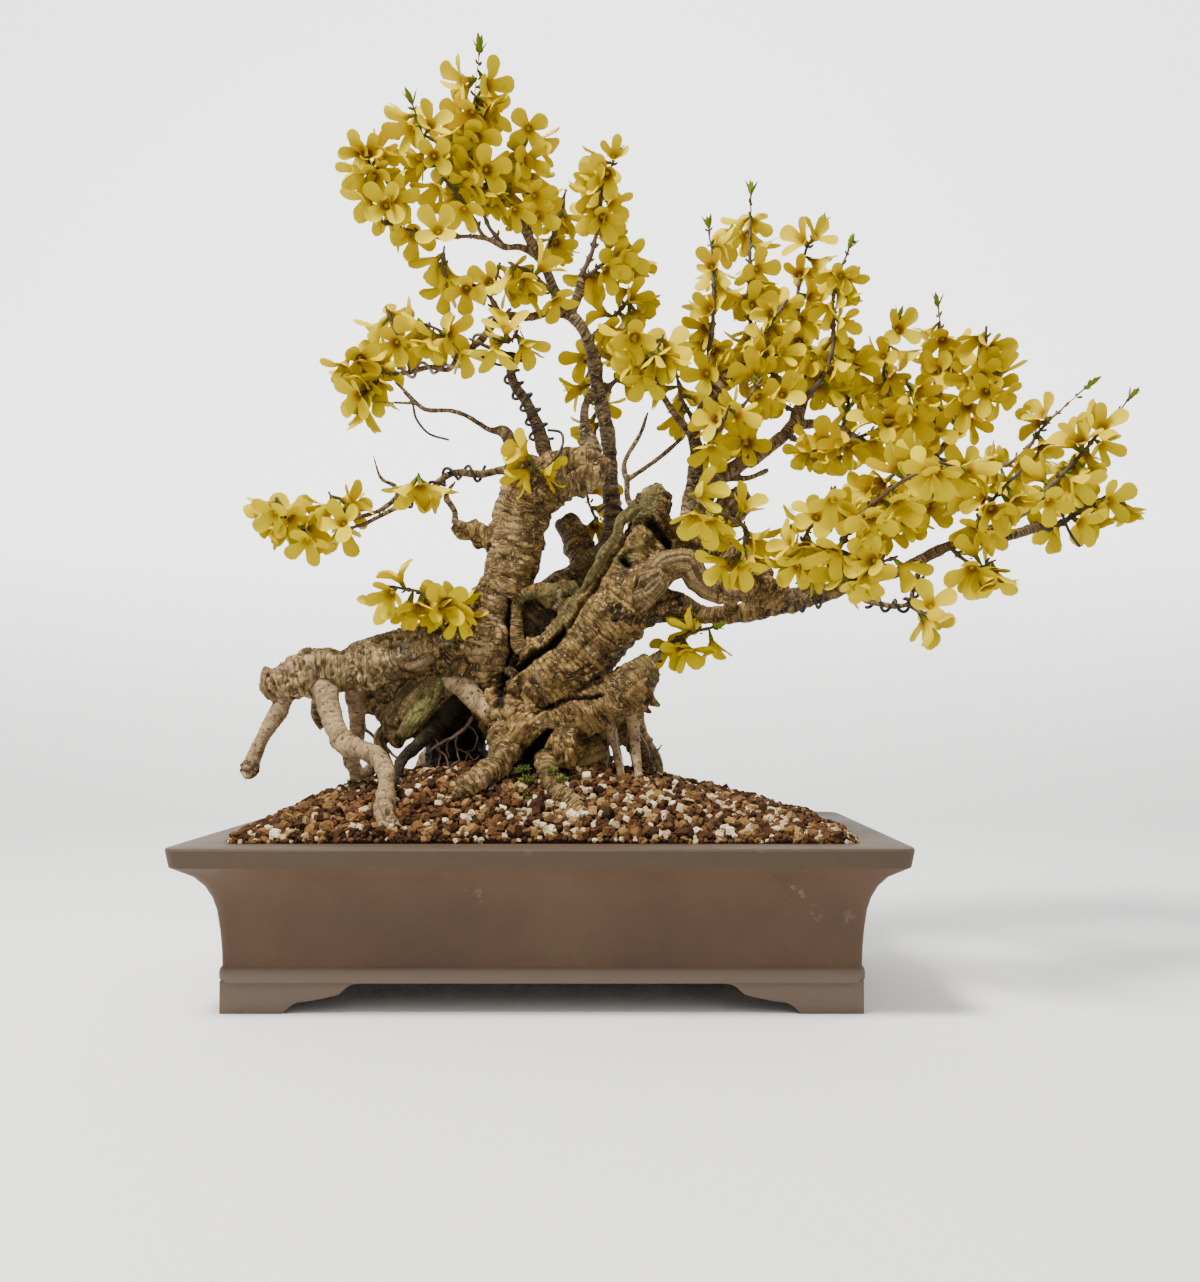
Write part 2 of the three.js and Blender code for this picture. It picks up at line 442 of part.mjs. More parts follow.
// A closed solid from a geometry, with flattened triangles left out.
const toSolid = (geometry) => {
  geometry.deleteAttribute("normal");
  geometry.deleteAttribute("uv");
  const merged = mergeVertices(geometry, 1e-4);
  const index = [];
  for (let i = 0; i < merged.index.count; i += 3) {
    const [a, b, c] = [0, 1, 2].map((k) => merged.index.getX(i + k));
    if (a !== b && b !== c && a !== c) index.push(a, b, c);
  }
  const vertProperties = new Float32Array(merged.attributes.position.array);
  return new wasm.Manifold(new wasm.Mesh({ numProp: 3, vertProperties, triVerts: new Uint32Array(index) }));
};

// The largest piece of a joined solid, without scraps, sealed hollows and the slivers along its seams.
const largestPiece = (solid) => {
  const pieces = solid.decompose();
  return pieces.reduce((best, piece) => (piece.volume() > best.volume() ? piece : best), pieces[0]);
};
const wholePiece = (solid) => largestPiece(largestPiece(solid).asOriginal().simplify(SEAM_TOLERANCE));

const join = (solids) => solids.reduce((whole, next) => whole.add(next));

// The path of a limb: its points, radii and the running length to each point.
const finishPath = (points, radii) => {
  const lengths = [0];
  for (let i = 1; i < points.length; i += 1) {
    lengths.push(lengths[i - 1] + points[i].distanceTo(points[i - 1]));
  }
  return { points, radii, lengths, length: lengths[lengths.length - 1] };
};

const measurePath = (readings) => {
  const spots = readings.map(place);
  return finishPath(spots.map((spot) => spot.at), spots.map((spot) => spot.radius));
};

// Where a share of the path's length lies: the point, the direction there and the radius.
const pathAt = (path, share) => {
  const reach = share * path.length;
  let i = 1;
  while (i < path.points.length - 1 && path.lengths[i] < reach) i += 1;
  const part = (reach - path.lengths[i - 1]) / (path.lengths[i] - path.lengths[i - 1]);
  const point = path.points[i - 1].clone().lerp(path.points[i], part);
  const along = path.points[i].clone().sub(path.points[i - 1]).normalize();
  const radius = path.radii[i - 1] + (path.radii[i] - path.radii[i - 1]) * part;
  return { point, along, radius };
};

// The point of a path's centre line nearest to a given point.
const nearestOnPath = (path, point) => {
  let best = null;
  for (let i = 1; i < path.points.length; i += 1) {
    const line = new THREE.Line3(path.points[i - 1], path.points[i]);
    const near = line.closestPointToPoint(point, true, new V3());
    if (!best || near.distanceTo(point) < best.distanceTo(point)) best = near;
  }
  return best;
};

// A tapering limb: an upright cylinder whose rings are moved along the path and set square to it.
const limbSolid = (path, sides, grow = 0) => {
  const { points, radii } = path;
  const steps = points.length - 1;
  const geometry = new THREE.CylinderGeometry(1, 1, 1, sides, steps);
  const rings = [];
  let across = null;
  for (let i = 0; i <= steps; i += 1) {
    const before = points[Math.max(i - 1, 0)];
    const after = points[Math.min(i + 1, steps)];
    const along = after.clone().sub(before).normalize();
    across = across ?? new V3(0, 1, 0).cross(along).normalize();
    across = across.clone().addScaledVector(along, -across.dot(along)).normalize();
    const end = i === 0 ? -grow : i === steps ? grow : 0;
    const centre = points[i].clone().addScaledVector(along, end);
    rings.push({ centre, u: across, v: along.clone().cross(across), radius: radii[i] + grow });
  }
  const position = geometry.attributes.position;
  for (let k = 0; k < position.count; k += 1) {
    const ring = rings[Math.round((0.5 - position.getY(k)) * steps)];
    const moved = ring.centre.clone();
    moved.addScaledVector(ring.u, position.getX(k) * ring.radius);
    moved.addScaledVector(ring.v, position.getZ(k) * ring.radius);
    position.setXYZ(k, moved.x, moved.y, moved.z);
  }
  return toSolid(geometry);
};

// A path that starts on the centre line of what carries it and may end in a pointed leaf bud.
const attachedPath = (carrier, readings, bud) => {
  const path = measurePath(readings);
  const points = path.points.slice();
  const radii = path.radii.slice();
  points[0] = nearestOnPath(carrier, points[0]);
  if (bud) {
    const last = points[points.length - 1];
    const along = last.clone().sub(points[points.length - 2]).normalize();
    points.push(last.clone().addScaledVector(along, BUD_LENGTH * 0.4));
    points.push(last.clone().addScaledVector(along, BUD_LENGTH));
    radii.push(BUD_RADIUS, BUD_RADIUS * 0.2);
  }
  return finishPath(points, radii);
};

// A flower: four lobes that are thin wedges round the throat, on a three-sided funnel that narrows to the
// foot of its stalk in the middle of the twig. Corner 0 is the throat and corner 1 the foot.
const flowerSolid = ({ root, facing, stalk, size, spin, flare }, grow = 0) => {
  const side = sidewaysOf(facing, 0.9).applyAxisAngle(facing, spin);
  const frame = new THREE.Matrix4().makeBasis(side, facing, side.clone().cross(facing)).setPosition(root);
  const corners = [];
  const addCorner = (turn, reach, height) => {
    const corner = new V3(reach * Math.cos(turn), height, reach * Math.sin(turn)).applyMatrix4(frame);
    corners.push(corner.x, corner.y, corner.z);
  };
  addCorner(0, 0, stalk + THROAT_RISE * size + grow);
  addCorner(0, 0, 0);
  const faces = [1, 2, 4, 1, 4, 6, 1, 6, 2, 6, 8, 2];
  for (let lobe = 0; lobe < LOBES; lobe += 1) {
    const turn = 2 * Math.PI * lobe / LOBES;
    addCorner(turn, LOBE_NOTCH_RADIUS * size + grow, stalk - grow);
    addCorner(turn + Math.PI / LOBES, LOBE_REACH * size + grow, stalk + LOBE_SWEEP * size * flare);
    const [notch, tip, nextNotch] = [2 + 2 * lobe, 3 + 2 * lobe, 2 + 2 * ((lobe + 1) % LOBES)];
    faces.push(0, tip, notch, 0, nextNotch, tip, notch, tip, nextNotch);
  }
  const geometry = new THREE.BufferGeometry();
  geometry.setAttribute("position", new THREE.Float32BufferAttribute(corners, 3));
  geometry.setIndex(faces);
  return toSolid(geometry);
};

// The distance from a point to a limb's skin, along its thickest of the two ends.
const skinDistance = (segment, point) => {
  const near = segment.line.closestPointToPoint(point, true, new V3());
  return near.distanceTo(point) - segment.radius;
};

const segmentsOf = (path) => path.points.slice(1).map((end, i) => ({
  line: new THREE.Line3(path.points[i], end),
  radius: Math.max(path.radii[i], path.radii[i + 1]),
}));

// Flowers stand in opposite pairs that turn a quarter from one pair to the next, and nod. Each keeps the
// first draw that stands clear of the limbs and of the flowers set before it, or else the clearest one.
const setFlowers = (path, count, [first, last], flowersSoFar, limbsAround) => {
  const set = [];
  for (let i = 0; i < count; i += 1) {
    const { point, along } = pathAt(path, first + (last - first) * (i + 0.6) / count);
    const u = sidewaysOf(along, 0.8);
    const v = along.clone().cross(u);
    let best = null;
    for (let attempt = 0; attempt < FLOWER_TRIES; attempt += 1) {
      const turn = Math.floor(i / 2) * Math.PI / 2 + (i % 2) * Math.PI + draw(-0.7, 0.7);
      const facing = u.clone().multiplyScalar(Math.cos(turn)).addScaledVector(v, Math.sin(turn));
      facing.addScaledVector(along, draw(-0.1, 0.6)).add(new V3(0, 0, -draw(0, 0.8))).normalize();
      const stalk = draw(...STALK_LENGTH);
      const size = draw(0.9, 1.1);
      const spin = draw(0, 1.57);
      const flare = draw(0.3, 1.5);
      const middle = point.clone().addScaledVector(facing, stalk);
      const fromFlowers = flowersSoFar.map((other) => other.middle.distanceTo(middle) - FLOWER_SPACING);
      const fromLimbs = limbsAround.map((segment) => skinDistance(segment, middle) - LIMB_SPACING);
      const clear = Math.min(...fromFlowers, ...fromLimbs, 99);
      const flower = { root: point, facing, stalk, size, spin, flare, middle, clear };
      if (!best || clear > best.clear) best = flower;
      if (best.clear >= 0) break;
    }
    flowersSoFar.push(best);
    set.push(best);
  }
  return set;
};

// The rounded-rectangle outline of the pot, counterclockwise, at an inset from the rim's outer edge.
const outlinePoint = (step, inset) => {
  const corner = Math.floor(step / (CORNER_STEPS + 1)) % 4;
  const turn = (corner + (step % (CORNER_STEPS + 1)) / CORNER_STEPS) * Math.PI / 2;
  const radius = Math.max(OUTER_CORNER_RADIUS - inset, INNER_CORNER_RADIUS);
  const signX = corner === 0 || corner === 3 ? 1 : -1;
  const signY = corner < 2 ? 1 : -1;
  const x = signX * (POT_LENGTH / 2 - inset - radius) + radius * Math.cos(turn);
  const y = signY * (POT_DEPTH / 2 - inset - radius) + radius * Math.sin(turn);
  return new THREE.Vector2(x, y);
};

// The outline of the soil: the ends of the four corner arcs, with even steps along the sides between them.
const soilOutline = (inset) => {
  const points = [];
  for (let corner = 0; corner < 4; corner += 1) {
    const arcStart = outlinePoint(corner * (CORNER_STEPS + 1), inset);
    const arcEnd = outlinePoint(corner * (CORNER_STEPS + 1) + CORNER_STEPS, inset);
    const nextStart = outlinePoint((corner + 1) * (CORNER_STEPS + 1), inset);
    const sideSteps = corner % 2 ? SOIL_SHORT_SIDE_STEPS : SOIL_LONG_SIDE_STEPS;
    points.push(arcStart);
    for (let step = 0; step < sideSteps; step += 1) {
      points.push(arcEnd.clone().lerp(nextStart, step / sideSteps));
    }
  }
  return points;
};

// The pot's body: a turned shape whose rings take the outline, closed in the middle of each floor.
const potBody = () => {
  const rows = POT_PROFILE.length + 2;
  const circle = new Array(rows).fill(0).map((_, row) => new THREE.Vector2(1, row));
  const geometry = new THREE.LatheGeometry(circle, OUTLINE_POINTS);
  const position = geometry.attributes.position;
  for (let k = 0; k < position.count; k += 1) {
    const row = k % rows;
    const step = Math.floor(k / rows) % OUTLINE_POINTS;
    if (row === 0) position.setXYZ(k, 0, 0, POT_FLOOR_UNDERSIDE);
    else if (row === rows - 1) position.setXYZ(k, 0, 0, POT_FLOOR_TOP);
    else {
      const [inset, height] = POT_PROFILE[row - 1];
      const { x, y } = outlinePoint(step, inset);
      position.setXYZ(k, x, y, height);
    }
  }
  return toSolid(geometry);
};

// One plate of a cloud foot: flat on the ground, with an ogee up to the pot. It is drawn from the corner
// inward, toward +X or -X, and lies in front of the XZ plane.
const footPlate = (inward, share) => {
  const top = POT_FLOOR_UNDERSIDE + 2;
  const along = (distance) => inward * distance * share;
  const shape = new THREE.Shape();
  shape.moveTo(0, top);
  shape.lineTo(0, FOOT_TOE_HEIGHT);
  shape.quadraticCurveTo(along(1), FOOT_TOE_HEIGHT / 4, along(6), 0);
  shape.lineTo(along(FOOT_FLAT), 0);
  let end = 0;
  for (const [[controlX, controlZ], [endX, endZ]] of FOOT_OGEE) {
    shape.quadraticCurveTo(along(FOOT_FLAT + controlX), controlZ, along(FOOT_FLAT + endX), endZ);
    end = FOOT_FLAT + endX;
  }
  shape.lineTo(along(end), top);
  const options = { depth: FOOT_THICKNESS, bevelEnabled: false, curveSegments: 2 };
  return new THREE.ExtrudeGeometry(shape, options).rotateX(Math.PI / 2);
};

// A foot under one corner: a plate along the pot's length and a shorter one along its depth.
const footSolid = (signX, signY) => {
  const cornerX = POT_LENGTH / 2 - FOOT_INSET;
  const cornerY = POT_DEPTH / 2 - FOOT_INSET;
  const front = footPlate(-signX, 1);
  front.translate(signX * cornerX, signY > 0 ? cornerY : FOOT_THICKNESS - cornerY, 0);
  const side = footPlate(-signY, FOOT_SIDE_SHARE).rotateZ(Math.PI / 2);
  side.translate(signX > 0 ? cornerX - FOOT_THICKNESS : -cornerX, signY * cornerY, 0);
  return toSolid(front).add(toSolid(side));
};

const potSolid = () => {
  let pot = potBody();
  for (const signX of [-1, 1]) {
    for (const signY of [-1, 1]) pot = pot.add(footSolid(signX, signY));
    const drain = new THREE.CylinderGeometry(DRAIN_RADIUS, DRAIN_RADIUS, POT_HEIGHT, DRAIN_SIDES);
    drain.rotateX(Math.PI / 2);
    pot = pot.subtract(toSolid(drain.translate(signX * DRAIN_OFFSET, 0, 0)));
  }
  return wholePiece(pot);
};

// A square plastic screen with four openings, over a drain hole.
const drainScreenSolid = (side) => {
  const opening = (SCREEN_SIZE - 3 * SCREEN_BAR) / 2;
  const height = POT_FLOOR_TOP + CLEARANCE + SCREEN_THICKNESS / 2;
  const sheet = new THREE.BoxGeometry(SCREEN_SIZE, SCREEN_SIZE, SCREEN_THICKNESS);
  let screen = toSolid(sheet.translate(side * DRAIN_OFFSET, 0, height));
  for (const signX of [-1, 1]) {
    for (const signY of [-1, 1]) {
      const cutter = new THREE.BoxGeometry(opening, opening, 3 * SCREEN_THICKNESS);
      const x = side * DRAIN_OFFSET + signX * (SCREEN_BAR + opening) / 2;
      screen = screen.subtract(toSolid(cutter.translate(x, signY * (SCREEN_BAR + opening) / 2, height)));
    }
  }
  return screen;
};

// The height of the soil's surface: a ridge along the pot that falls off to both ends and to front and back.
const soilHeight = (x, y) => {
  const left = x < SOIL_CROWN_X;
  const share = Math.abs(x - SOIL_CROWN_X) / (left ? SOIL_LEFT_RUN : SOIL_RIGHT_RUN);
  const ridge = 1 - Math.min(1, share ** (left ? SOIL_LEFT_POWER : SOIL_RIGHT_POWER));
  const across = 1 - Math.min(1, (Math.abs(y) / SOIL_CROSS_RUN) ** SOIL_CROSS_POWER);
  return SOIL_EDGE_HEIGHT + SOIL_RISE * ridge * across;
};

// The soil fills the pot: a sphere whose upper rows become the grained mound and whose last rows become the
// wall and the floor of the filling.
const soilSolid = () => {
  const rings = [soilOutline(RIM_WIDTH + 1), ...SOIL_WALL.map(([inset]) => soilOutline(inset))];
  const columns = rings[0].length;
  const rows = SOIL_ROWS + SOIL_WALL.length + 1;
  const geometry = new THREE.SphereGeometry(1, columns, rows);
  const position = geometry.attributes.position;
  const grains = new Array(columns * SOIL_ROWS).fill(0).map(() => draw(-1, 1) * SOIL_GRAIN_RELIEF);
  for (let k = 0; k < position.count; k += 1) {
    const row = Math.floor(k / (columns + 1));
    const column = (k % (columns + 1)) % columns;
    if (row <= SOIL_ROWS) {
      const { x, y } = rings[0][column].clone().multiplyScalar(row / SOIL_ROWS);
      const relief = row > 0 && row < SOIL_ROWS ? grains[(row - 1) * columns + column] : 0;
      position.setXYZ(k, x, y, soilHeight(x, y) + relief);
    } else if (row < rows) {
      const { x, y } = rings[row - SOIL_ROWS][column];
      position.setXYZ(k, x, y, SOIL_WALL[row - SOIL_ROWS - 1][1]);
    } else position.setXYZ(k, 0, 0, SOIL_FLOOR);
  }
  return toSolid(geometry);
};

// A wire wound round a limb: a helix just clear of the bark, made as a thin limb of its own.
const wirePath = ({ from, to, turns }, host) => {
  const points = [];
  const radii = [];
  const steps = turns * WIRE_STEPS_PER_TURN;
  for (let i = 0; i <= steps; i += 1) {
    const { point, along, radius } = pathAt(host, from + (to - from) * i / steps);
    const u = new V3(0, 1, 0).cross(along).normalize();
    const v = along.clone().cross(u);
    const turn = 2 * Math.PI * i / WIRE_STEPS_PER_TURN;
    const reach = (radius + WIRE_RADIUS + CLEARANCE) / Math.cos(Math.PI / WIRE_STEPS_PER_TURN);
    points.push(point.addScaledVector(u, Math.cos(turn) * reach).addScaledVector(v, Math.sin(turn) * reach));
    radii.push(WIRE_RADIUS);
  }
  return finishPath(points, radii);
};

const woodLimbs = { ...TRUNK, ...BRANCHES };
const woodPaths = {};
const woodSolids = [];
const fatWoodSolids = [];
for (const [name, [sides, ...readings]] of Object.entries(woodLimbs)) {
  woodPaths[name] = measurePath(readings);
  woodSolids.push(limbSolid(woodPaths[name], sides));
  fatWoodSolids.push(limbSolid(woodPaths[name], sides, CLEARANCE));
}
const tree = wholePiece(join(woodSolids));
const fatTree = join(fatWoodSolids);

// Twigs and flowers of every spray, in order, so that each flower knows what already stands.
const sprays = {};
for (const [name, twigs] of Object.entries(SPRAYS)) {
  const paths = {};
  for (const [twig, [carrier, , , bud, ...readings]] of Object.entries(twigs)) {
    paths[twig] = attachedPath(woodPaths[carrier] ?? paths[carrier], readings, bud);
  }
  sprays[name] = { paths, flowers: [] };
}
const woodSegments = Object.values(woodPaths).flatMap(segmentsOf);
const flowersSoFar = [];
for (const [name, twigs] of Object.entries(SPRAYS)) {
  for (const [twig, [, count, shares]] of Object.entries(twigs)) {
    const others = Object.entries(sprays).filter(([other]) => other !== name);
    const otherTwigs = others.flatMap(([, spray]) => Object.values(spray.paths).flatMap(segmentsOf));
    const around = [...woodSegments, ...otherTwigs];
    sprays[name].flowers.push(...setFlowers(sprays[name].paths[twig], count, shares, flowersSoFar, around));
  }
}

const boxesMeet = (a, b) => [0, 1, 2].every((i) => a.min[i] < b.max[i] && b.min[i] < a.max[i]);
const crosses = (solid, obstacles) => {
  const box = solid.boundingBox();
  return obstacles.some((other) => boxesMeet(box, other.box) && !solid.intersect(other.solid).isEmpty());
};
const boxed = (solid) => ({ solid, box: solid.boundingBox() });

// The ways a flower that would cross another node is bent clear: tilted to any side, then drawn smaller too.
const BENDS = [];
for (const scale of [1, 0.85, 0.7, 0.5]) {
  BENDS.push({ scale, tilt: 0, turn: 0 });
  for (const tilt of [0.25, 0.5, 0.8]) {
    for (let turn = 0; turn < 6; turn += 1) BENDS.push({ scale, tilt, turn: turn * Math.PI / 3 });
  }
}
const bent = (flower, { scale, tilt, turn }) => {
  const side = sidewaysOf(flower.facing, 0.9).applyAxisAngle(flower.facing, turn);
  return { ...flower, facing: flower.facing.clone().applyAxisAngle(side, tilt), size: flower.size * scale };
};

const wires = {};
const fatWires = [];
for (const [name, wire] of Object.entries(WIRES)) {
  const path = wirePath(wire, woodPaths[wire.around]);
  wires[name] = wholePiece(limbSolid(path, WIRE_SIDES).subtract(fatTree));
  fatWires.push(limbSolid(path, WIRE_SIDES, CLEARANCE));
}

const sprayNames = Object.keys(SPRAYS);
const twigSolids = {};
const fatTwigSolids = {};
for (const name of sprayNames) {
  const paths = Object.values(sprays[name].paths);
  twigSolids[name] = join(paths.map((path) => limbSolid(path, TWIG_SIDES)));
  fatTwigSolids[name] = join(paths.map((path) => limbSolid(path, TWIG_SIDES, CLEARANCE)));
}

// Each spray takes its flowers one by one, bent clear of what stands, and is then cut back from the wood,
// from the wires and from any twig of an earlier spray that it still meets.
const fixedObstacles = [...fatWoodSolids, ...Object.values(wires)].map(boxed);
const spraySolids = {};
const flowerObstacles = [];
for (const name of sprayNames) {
  const others = sprayNames.filter((other) => other !== name);
  const otherTwigs = others.map((other) => boxed(fatTwigSolids[other]));
  const obstacles = [...fixedObstacles, ...otherTwigs, ...flowerObstacles];
  const ownFlowers = [];
  let spray = twigSolids[name];
  for (const flower of sprays[name].flowers) {
    const clears = (against) => (bend) => !crosses(flowerSolid(bent(flower, bend), CLEARANCE), against);
    const bend = BENDS.find(clears([...obstacles, ...ownFlowers])) ?? BENDS.find(clears(obstacles));
    const placed = bent(flower, bend ?? BENDS[BENDS.length - 1]);
    spray = spray.add(flowerSolid(placed));
    ownFlowers.push(boxed(flowerSolid(placed, CLEARANCE)));
  }
  flowerObstacles.push(...ownFlowers);
  spray = spray.subtract(fatTree);
  for (const [other, solid] of Object.entries(spraySolids)) {
    if (!solid.intersect(spray).isEmpty()) spray = spray.subtract(fatTwigSolids[other]);
  }
  for (const wire of fatWires) {
    if (!wire.intersect(spray).isEmpty()) spray = spray.subtract(wire);
  }
  spraySolids[name] = wholePiece(spray);
}

const soil = wholePiece(soilSolid().subtract(fatTree));

const geometryOf = (solid) => {
  const mesh = solid.getMesh();
  const geometry = new THREE.BufferGeometry();
  geometry.setAttribute("position", new THREE.BufferAttribute(mesh.vertProperties, 3));
  geometry.setIndex(new THREE.BufferAttribute(mesh.triVerts, 1));
  geometry.computeVertexNormals();
  return geometry;
};

const MATERIALS = {
  stoneware: new THREE.MeshStandardMaterial({ color: 0x5d4a3f, roughness: 0.72, metalness: 0 }),
  soil: new THREE.MeshStandardMaterial({ color: 0x7a5230, roughness: 0.98, metalness: 0 }),
  bark: new THREE.MeshStandardMaterial({ color: 0x8d6f4a, roughness: 0.9, metalness: 0 }),
  petals: new THREE.MeshStandardMaterial({ color: 0xf2cf12, roughness: 0.6, metalness: 0 }),
  wire: new THREE.MeshStandardMaterial({ color: 0x2b2622, roughness: 0.5, metalness: 0.6 }),
  screen: new THREE.MeshStandardMaterial({ color: 0x1d1f1d, roughness: 0.6, metalness: 0 }),
};

const bonsai = new THREE.Group();
const addNode = (name, solid, material) => {
  const mesh = new THREE.Mesh(geometryOf(solid), MATERIALS[material]);
  mesh.name = name;
  bonsai.add(mesh);
};

addNode("pot", potSolid(), "stoneware");
addNode("drain_screen_left", drainScreenSolid(-1), "screen");
addNode("drain_screen_right", drainScreenSolid(1), "screen");
addNode("soil", soil, "soil");
addNode("tree", tree, "bark");
for (const [name, solid] of Object.entries(wires)) addNode(name, solid, "wire");
for (const [name, solid] of Object.entries(spraySolids)) addNode(`spray_${name}`, solid, "petals");

const box = new THREE.Box3().setFromObject(bonsai);
const centre = box.getCenter(new V3());
bonsai.position.set(-centre.x, -centre.y, -box.min.z);

export default bonsai;
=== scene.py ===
import math
import random

import bmesh
import bpy
import numpy as np
from mathutils import Matrix, Vector, noise


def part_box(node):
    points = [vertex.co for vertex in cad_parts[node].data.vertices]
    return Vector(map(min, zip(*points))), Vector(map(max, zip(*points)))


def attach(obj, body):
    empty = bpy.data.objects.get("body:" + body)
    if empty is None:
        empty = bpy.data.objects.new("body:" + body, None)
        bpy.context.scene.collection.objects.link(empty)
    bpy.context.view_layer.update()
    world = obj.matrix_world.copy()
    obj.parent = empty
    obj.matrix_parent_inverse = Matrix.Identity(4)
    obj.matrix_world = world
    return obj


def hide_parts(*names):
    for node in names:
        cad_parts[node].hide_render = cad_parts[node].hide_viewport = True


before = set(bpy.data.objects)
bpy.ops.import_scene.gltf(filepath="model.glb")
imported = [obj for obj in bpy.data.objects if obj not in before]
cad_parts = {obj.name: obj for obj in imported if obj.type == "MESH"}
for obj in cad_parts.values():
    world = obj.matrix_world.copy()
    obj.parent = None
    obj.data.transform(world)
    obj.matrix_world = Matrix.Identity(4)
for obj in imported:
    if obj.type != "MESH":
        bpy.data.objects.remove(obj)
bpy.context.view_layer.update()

# The view. A level camera stands a metre in front of the pot, a little right of its middle, with its horizon
# at the foot of the trunk. Limbs, hollows and mosses were read off this view as (steps across, steps down,
# millimetres behind the trunk's plane, half thickness in steps), and place() turns a reading into a place.
IMAGE_WIDTH = 1200
IMAGE_HEIGHT = 1282
VIEW_ACROSS = 614
VIEW_DOWN = 712
VIEW_FOCAL = 1250
VIEW_STANDOFF = 1.0533
SENSOR = 36

pot_low, pot_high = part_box("pot")
POT_X = (pot_low.x + pot_high.x) / 2
POT_Y = (pot_low.y + pot_high.y) / 2
VIEW_X = POT_X + 0.0532
VIEW_Y = POT_Y - VIEW_STANDOFF
VIEW_Z = 0.222

camera_data = bpy.data.cameras.new("view")
camera_data.sensor_width = SENSOR
camera_data.lens = VIEW_FOCAL * SENSOR / IMAGE_HEIGHT
camera_data.shift_x = (IMAGE_WIDTH / 2 - VIEW_ACROSS) / IMAGE_HEIGHT
camera_data.shift_y = (VIEW_DOWN - IMAGE_HEIGHT / 2) / IMAGE_HEIGHT
camera = bpy.data.objects.new("view", camera_data)
camera.location = (VIEW_X, VIEW_Y, VIEW_Z)
camera.rotation_euler = (math.radians(90), 0, 0)
bpy.context.scene.collection.objects.link(camera)
bpy.context.scene.camera = camera


def place(reading):
    """The point and the half thickness in metres that a reading stands for."""
    across, down, behind, half = reading
    scale = (VIEW_STANDOFF + behind / 1000) / VIEW_FOCAL
    x = VIEW_X + (across - VIEW_ACROSS) * scale
    z = VIEW_Z - (down - VIEW_DOWN) * scale
    return np.array([x, POT_Y + behind / 1000, z]), half * scale


def seen_at(points):
    """How far across and down the view each point is seen."""
    depth = points[:, 1] - VIEW_Y
    across = VIEW_ACROSS + (points[:, 0] - VIEW_X) * VIEW_FOCAL / depth
    down = VIEW_DOWN - (points[:, 2] - VIEW_Z) * VIEW_FOCAL / depth
    return across, down


# The studio. A pale sweep of floor that curves up into the backdrop, one large soft light high on the left
# front, a weaker one on the right, and a soft white surround.
FLOOR_FRONT = -2.6
FLOOR_BACK = 1.1
FLOOR_HALF_WIDTH = 3.4
SWEEP_RADIUS = 0.7
SWEEP_STEPS = 10
WALL_TOP = 3.2
SWEEP_WHITE = (0.90, 0.90, 0.895, 1)
# The sweep glows more towards its top: painted light that brightens the backdrop.
GLOW_START = 0.02
GLOW_TOP = 0.60
GLOW_STRENGTH = 1.9
LIT_SPOT = (0, 0, 0.35)


def node_material(name):
    """A new material, its node tree and its shader."""
    material = bpy.data.materials.new(name)
    material.use_nodes = True
    return material, material.node_tree, material.node_tree.nodes["Principled BSDF"]


def new_node(tree, kind, sockets=None, **settings):
    """A shader node with its settings and its sockets' plain values."""
    node = tree.nodes.new(kind)
    for name, value in settings.items():
        setattr(node, name, value)
    for name, value in (sockets or {}).items():
        node.inputs[name].default_value = value
    return node


def give(node, socket, output):
    """Joins another node's output to one of a node's sockets."""
    node.id_data.links.new(output, node.inputs[socket])


def height_in(tree):
    """The height of each place on the object."""
    parts = new_node(tree, "ShaderNodeSeparateXYZ")
    give(parts, "Vector", new_node(tree, "ShaderNodeTexCoord").outputs["Object"])
    return parts.outputs["Z"]


def value_ramp(factor, low, high, start, end):
    """A factor's stretch from low to high as start to end, clamped."""
    stretch = {"From Min": low, "From Max": high, "To Min": start, "To Max": end}
    mapper = new_node(factor.id_data, "ShaderNodeMapRange", stretch)
    give(mapper, "Value", factor)
    return mapper.outputs["Result"]


def started(add, **settings):
    """A new primitive, with nothing else selected."""
    bpy.ops.object.select_all(action="DESELECT")
    add(**settings)
    return bpy.context.object


def extrude(x, y, z):
    """Extrudes what is selected and moves it."""
    bpy.ops.mesh.extrude_region_move(TRANSFORM_OT_translate={"value": (x, y, z)})


sweep = started(bpy.ops.mesh.primitive_plane_add, size=1, location=(0, (FLOOR_FRONT + FLOOR_BACK) / 2, 0))
sweep.name = "sweep"
sweep.scale = (2 * FLOOR_HALF_WIDTH, FLOOR_BACK - FLOOR_FRONT, 1)
bpy.ops.object.transform_apply(location=True, rotation=True, scale=True)
bpy.ops.object.mode_set(mode="EDIT")
sheet = bmesh.from_edit_mesh(sweep.data)
for edge in sheet.edges:
    edge.select_set(all(vertex.co.y > FLOOR_BACK - 0.01 for vertex in edge.verts))
sheet.select_flush_mode()
turn = math.pi / 2 / SWEEP_STEPS
for step in range(SWEEP_STEPS):
    chord = 2 * SWEEP_RADIUS * math.sin(turn / 2)
    lean = (step + 0.5) * turn
    extrude(0, chord * math.cos(lean), chord * math.sin(lean))
extrude(0, 0, WALL_TOP - SWEEP_RADIUS)
bpy.ops.object.mode_set(mode="OBJECT")
bpy.ops.object.shade_smooth()
sweep_paint_and_glow, tree, shader = node_material("sweep_paint_and_glow")
shader.inputs["Base Color"].default_value = SWEEP_WHITE
shader.inputs["Roughness"].default_value = 0.9
shader.inputs["Emission Color"].default_value = (1, 1, 1, 1)
# Painted light: the sweep glows, from none near the floor to strongest up the backdrop.
glow = value_ramp(height_in(tree), GLOW_START, GLOW_TOP, 0, GLOW_STRENGTH)
give(shader, "Emission Strength", glow)
sweep.data.materials.append(sweep_paint_and_glow)


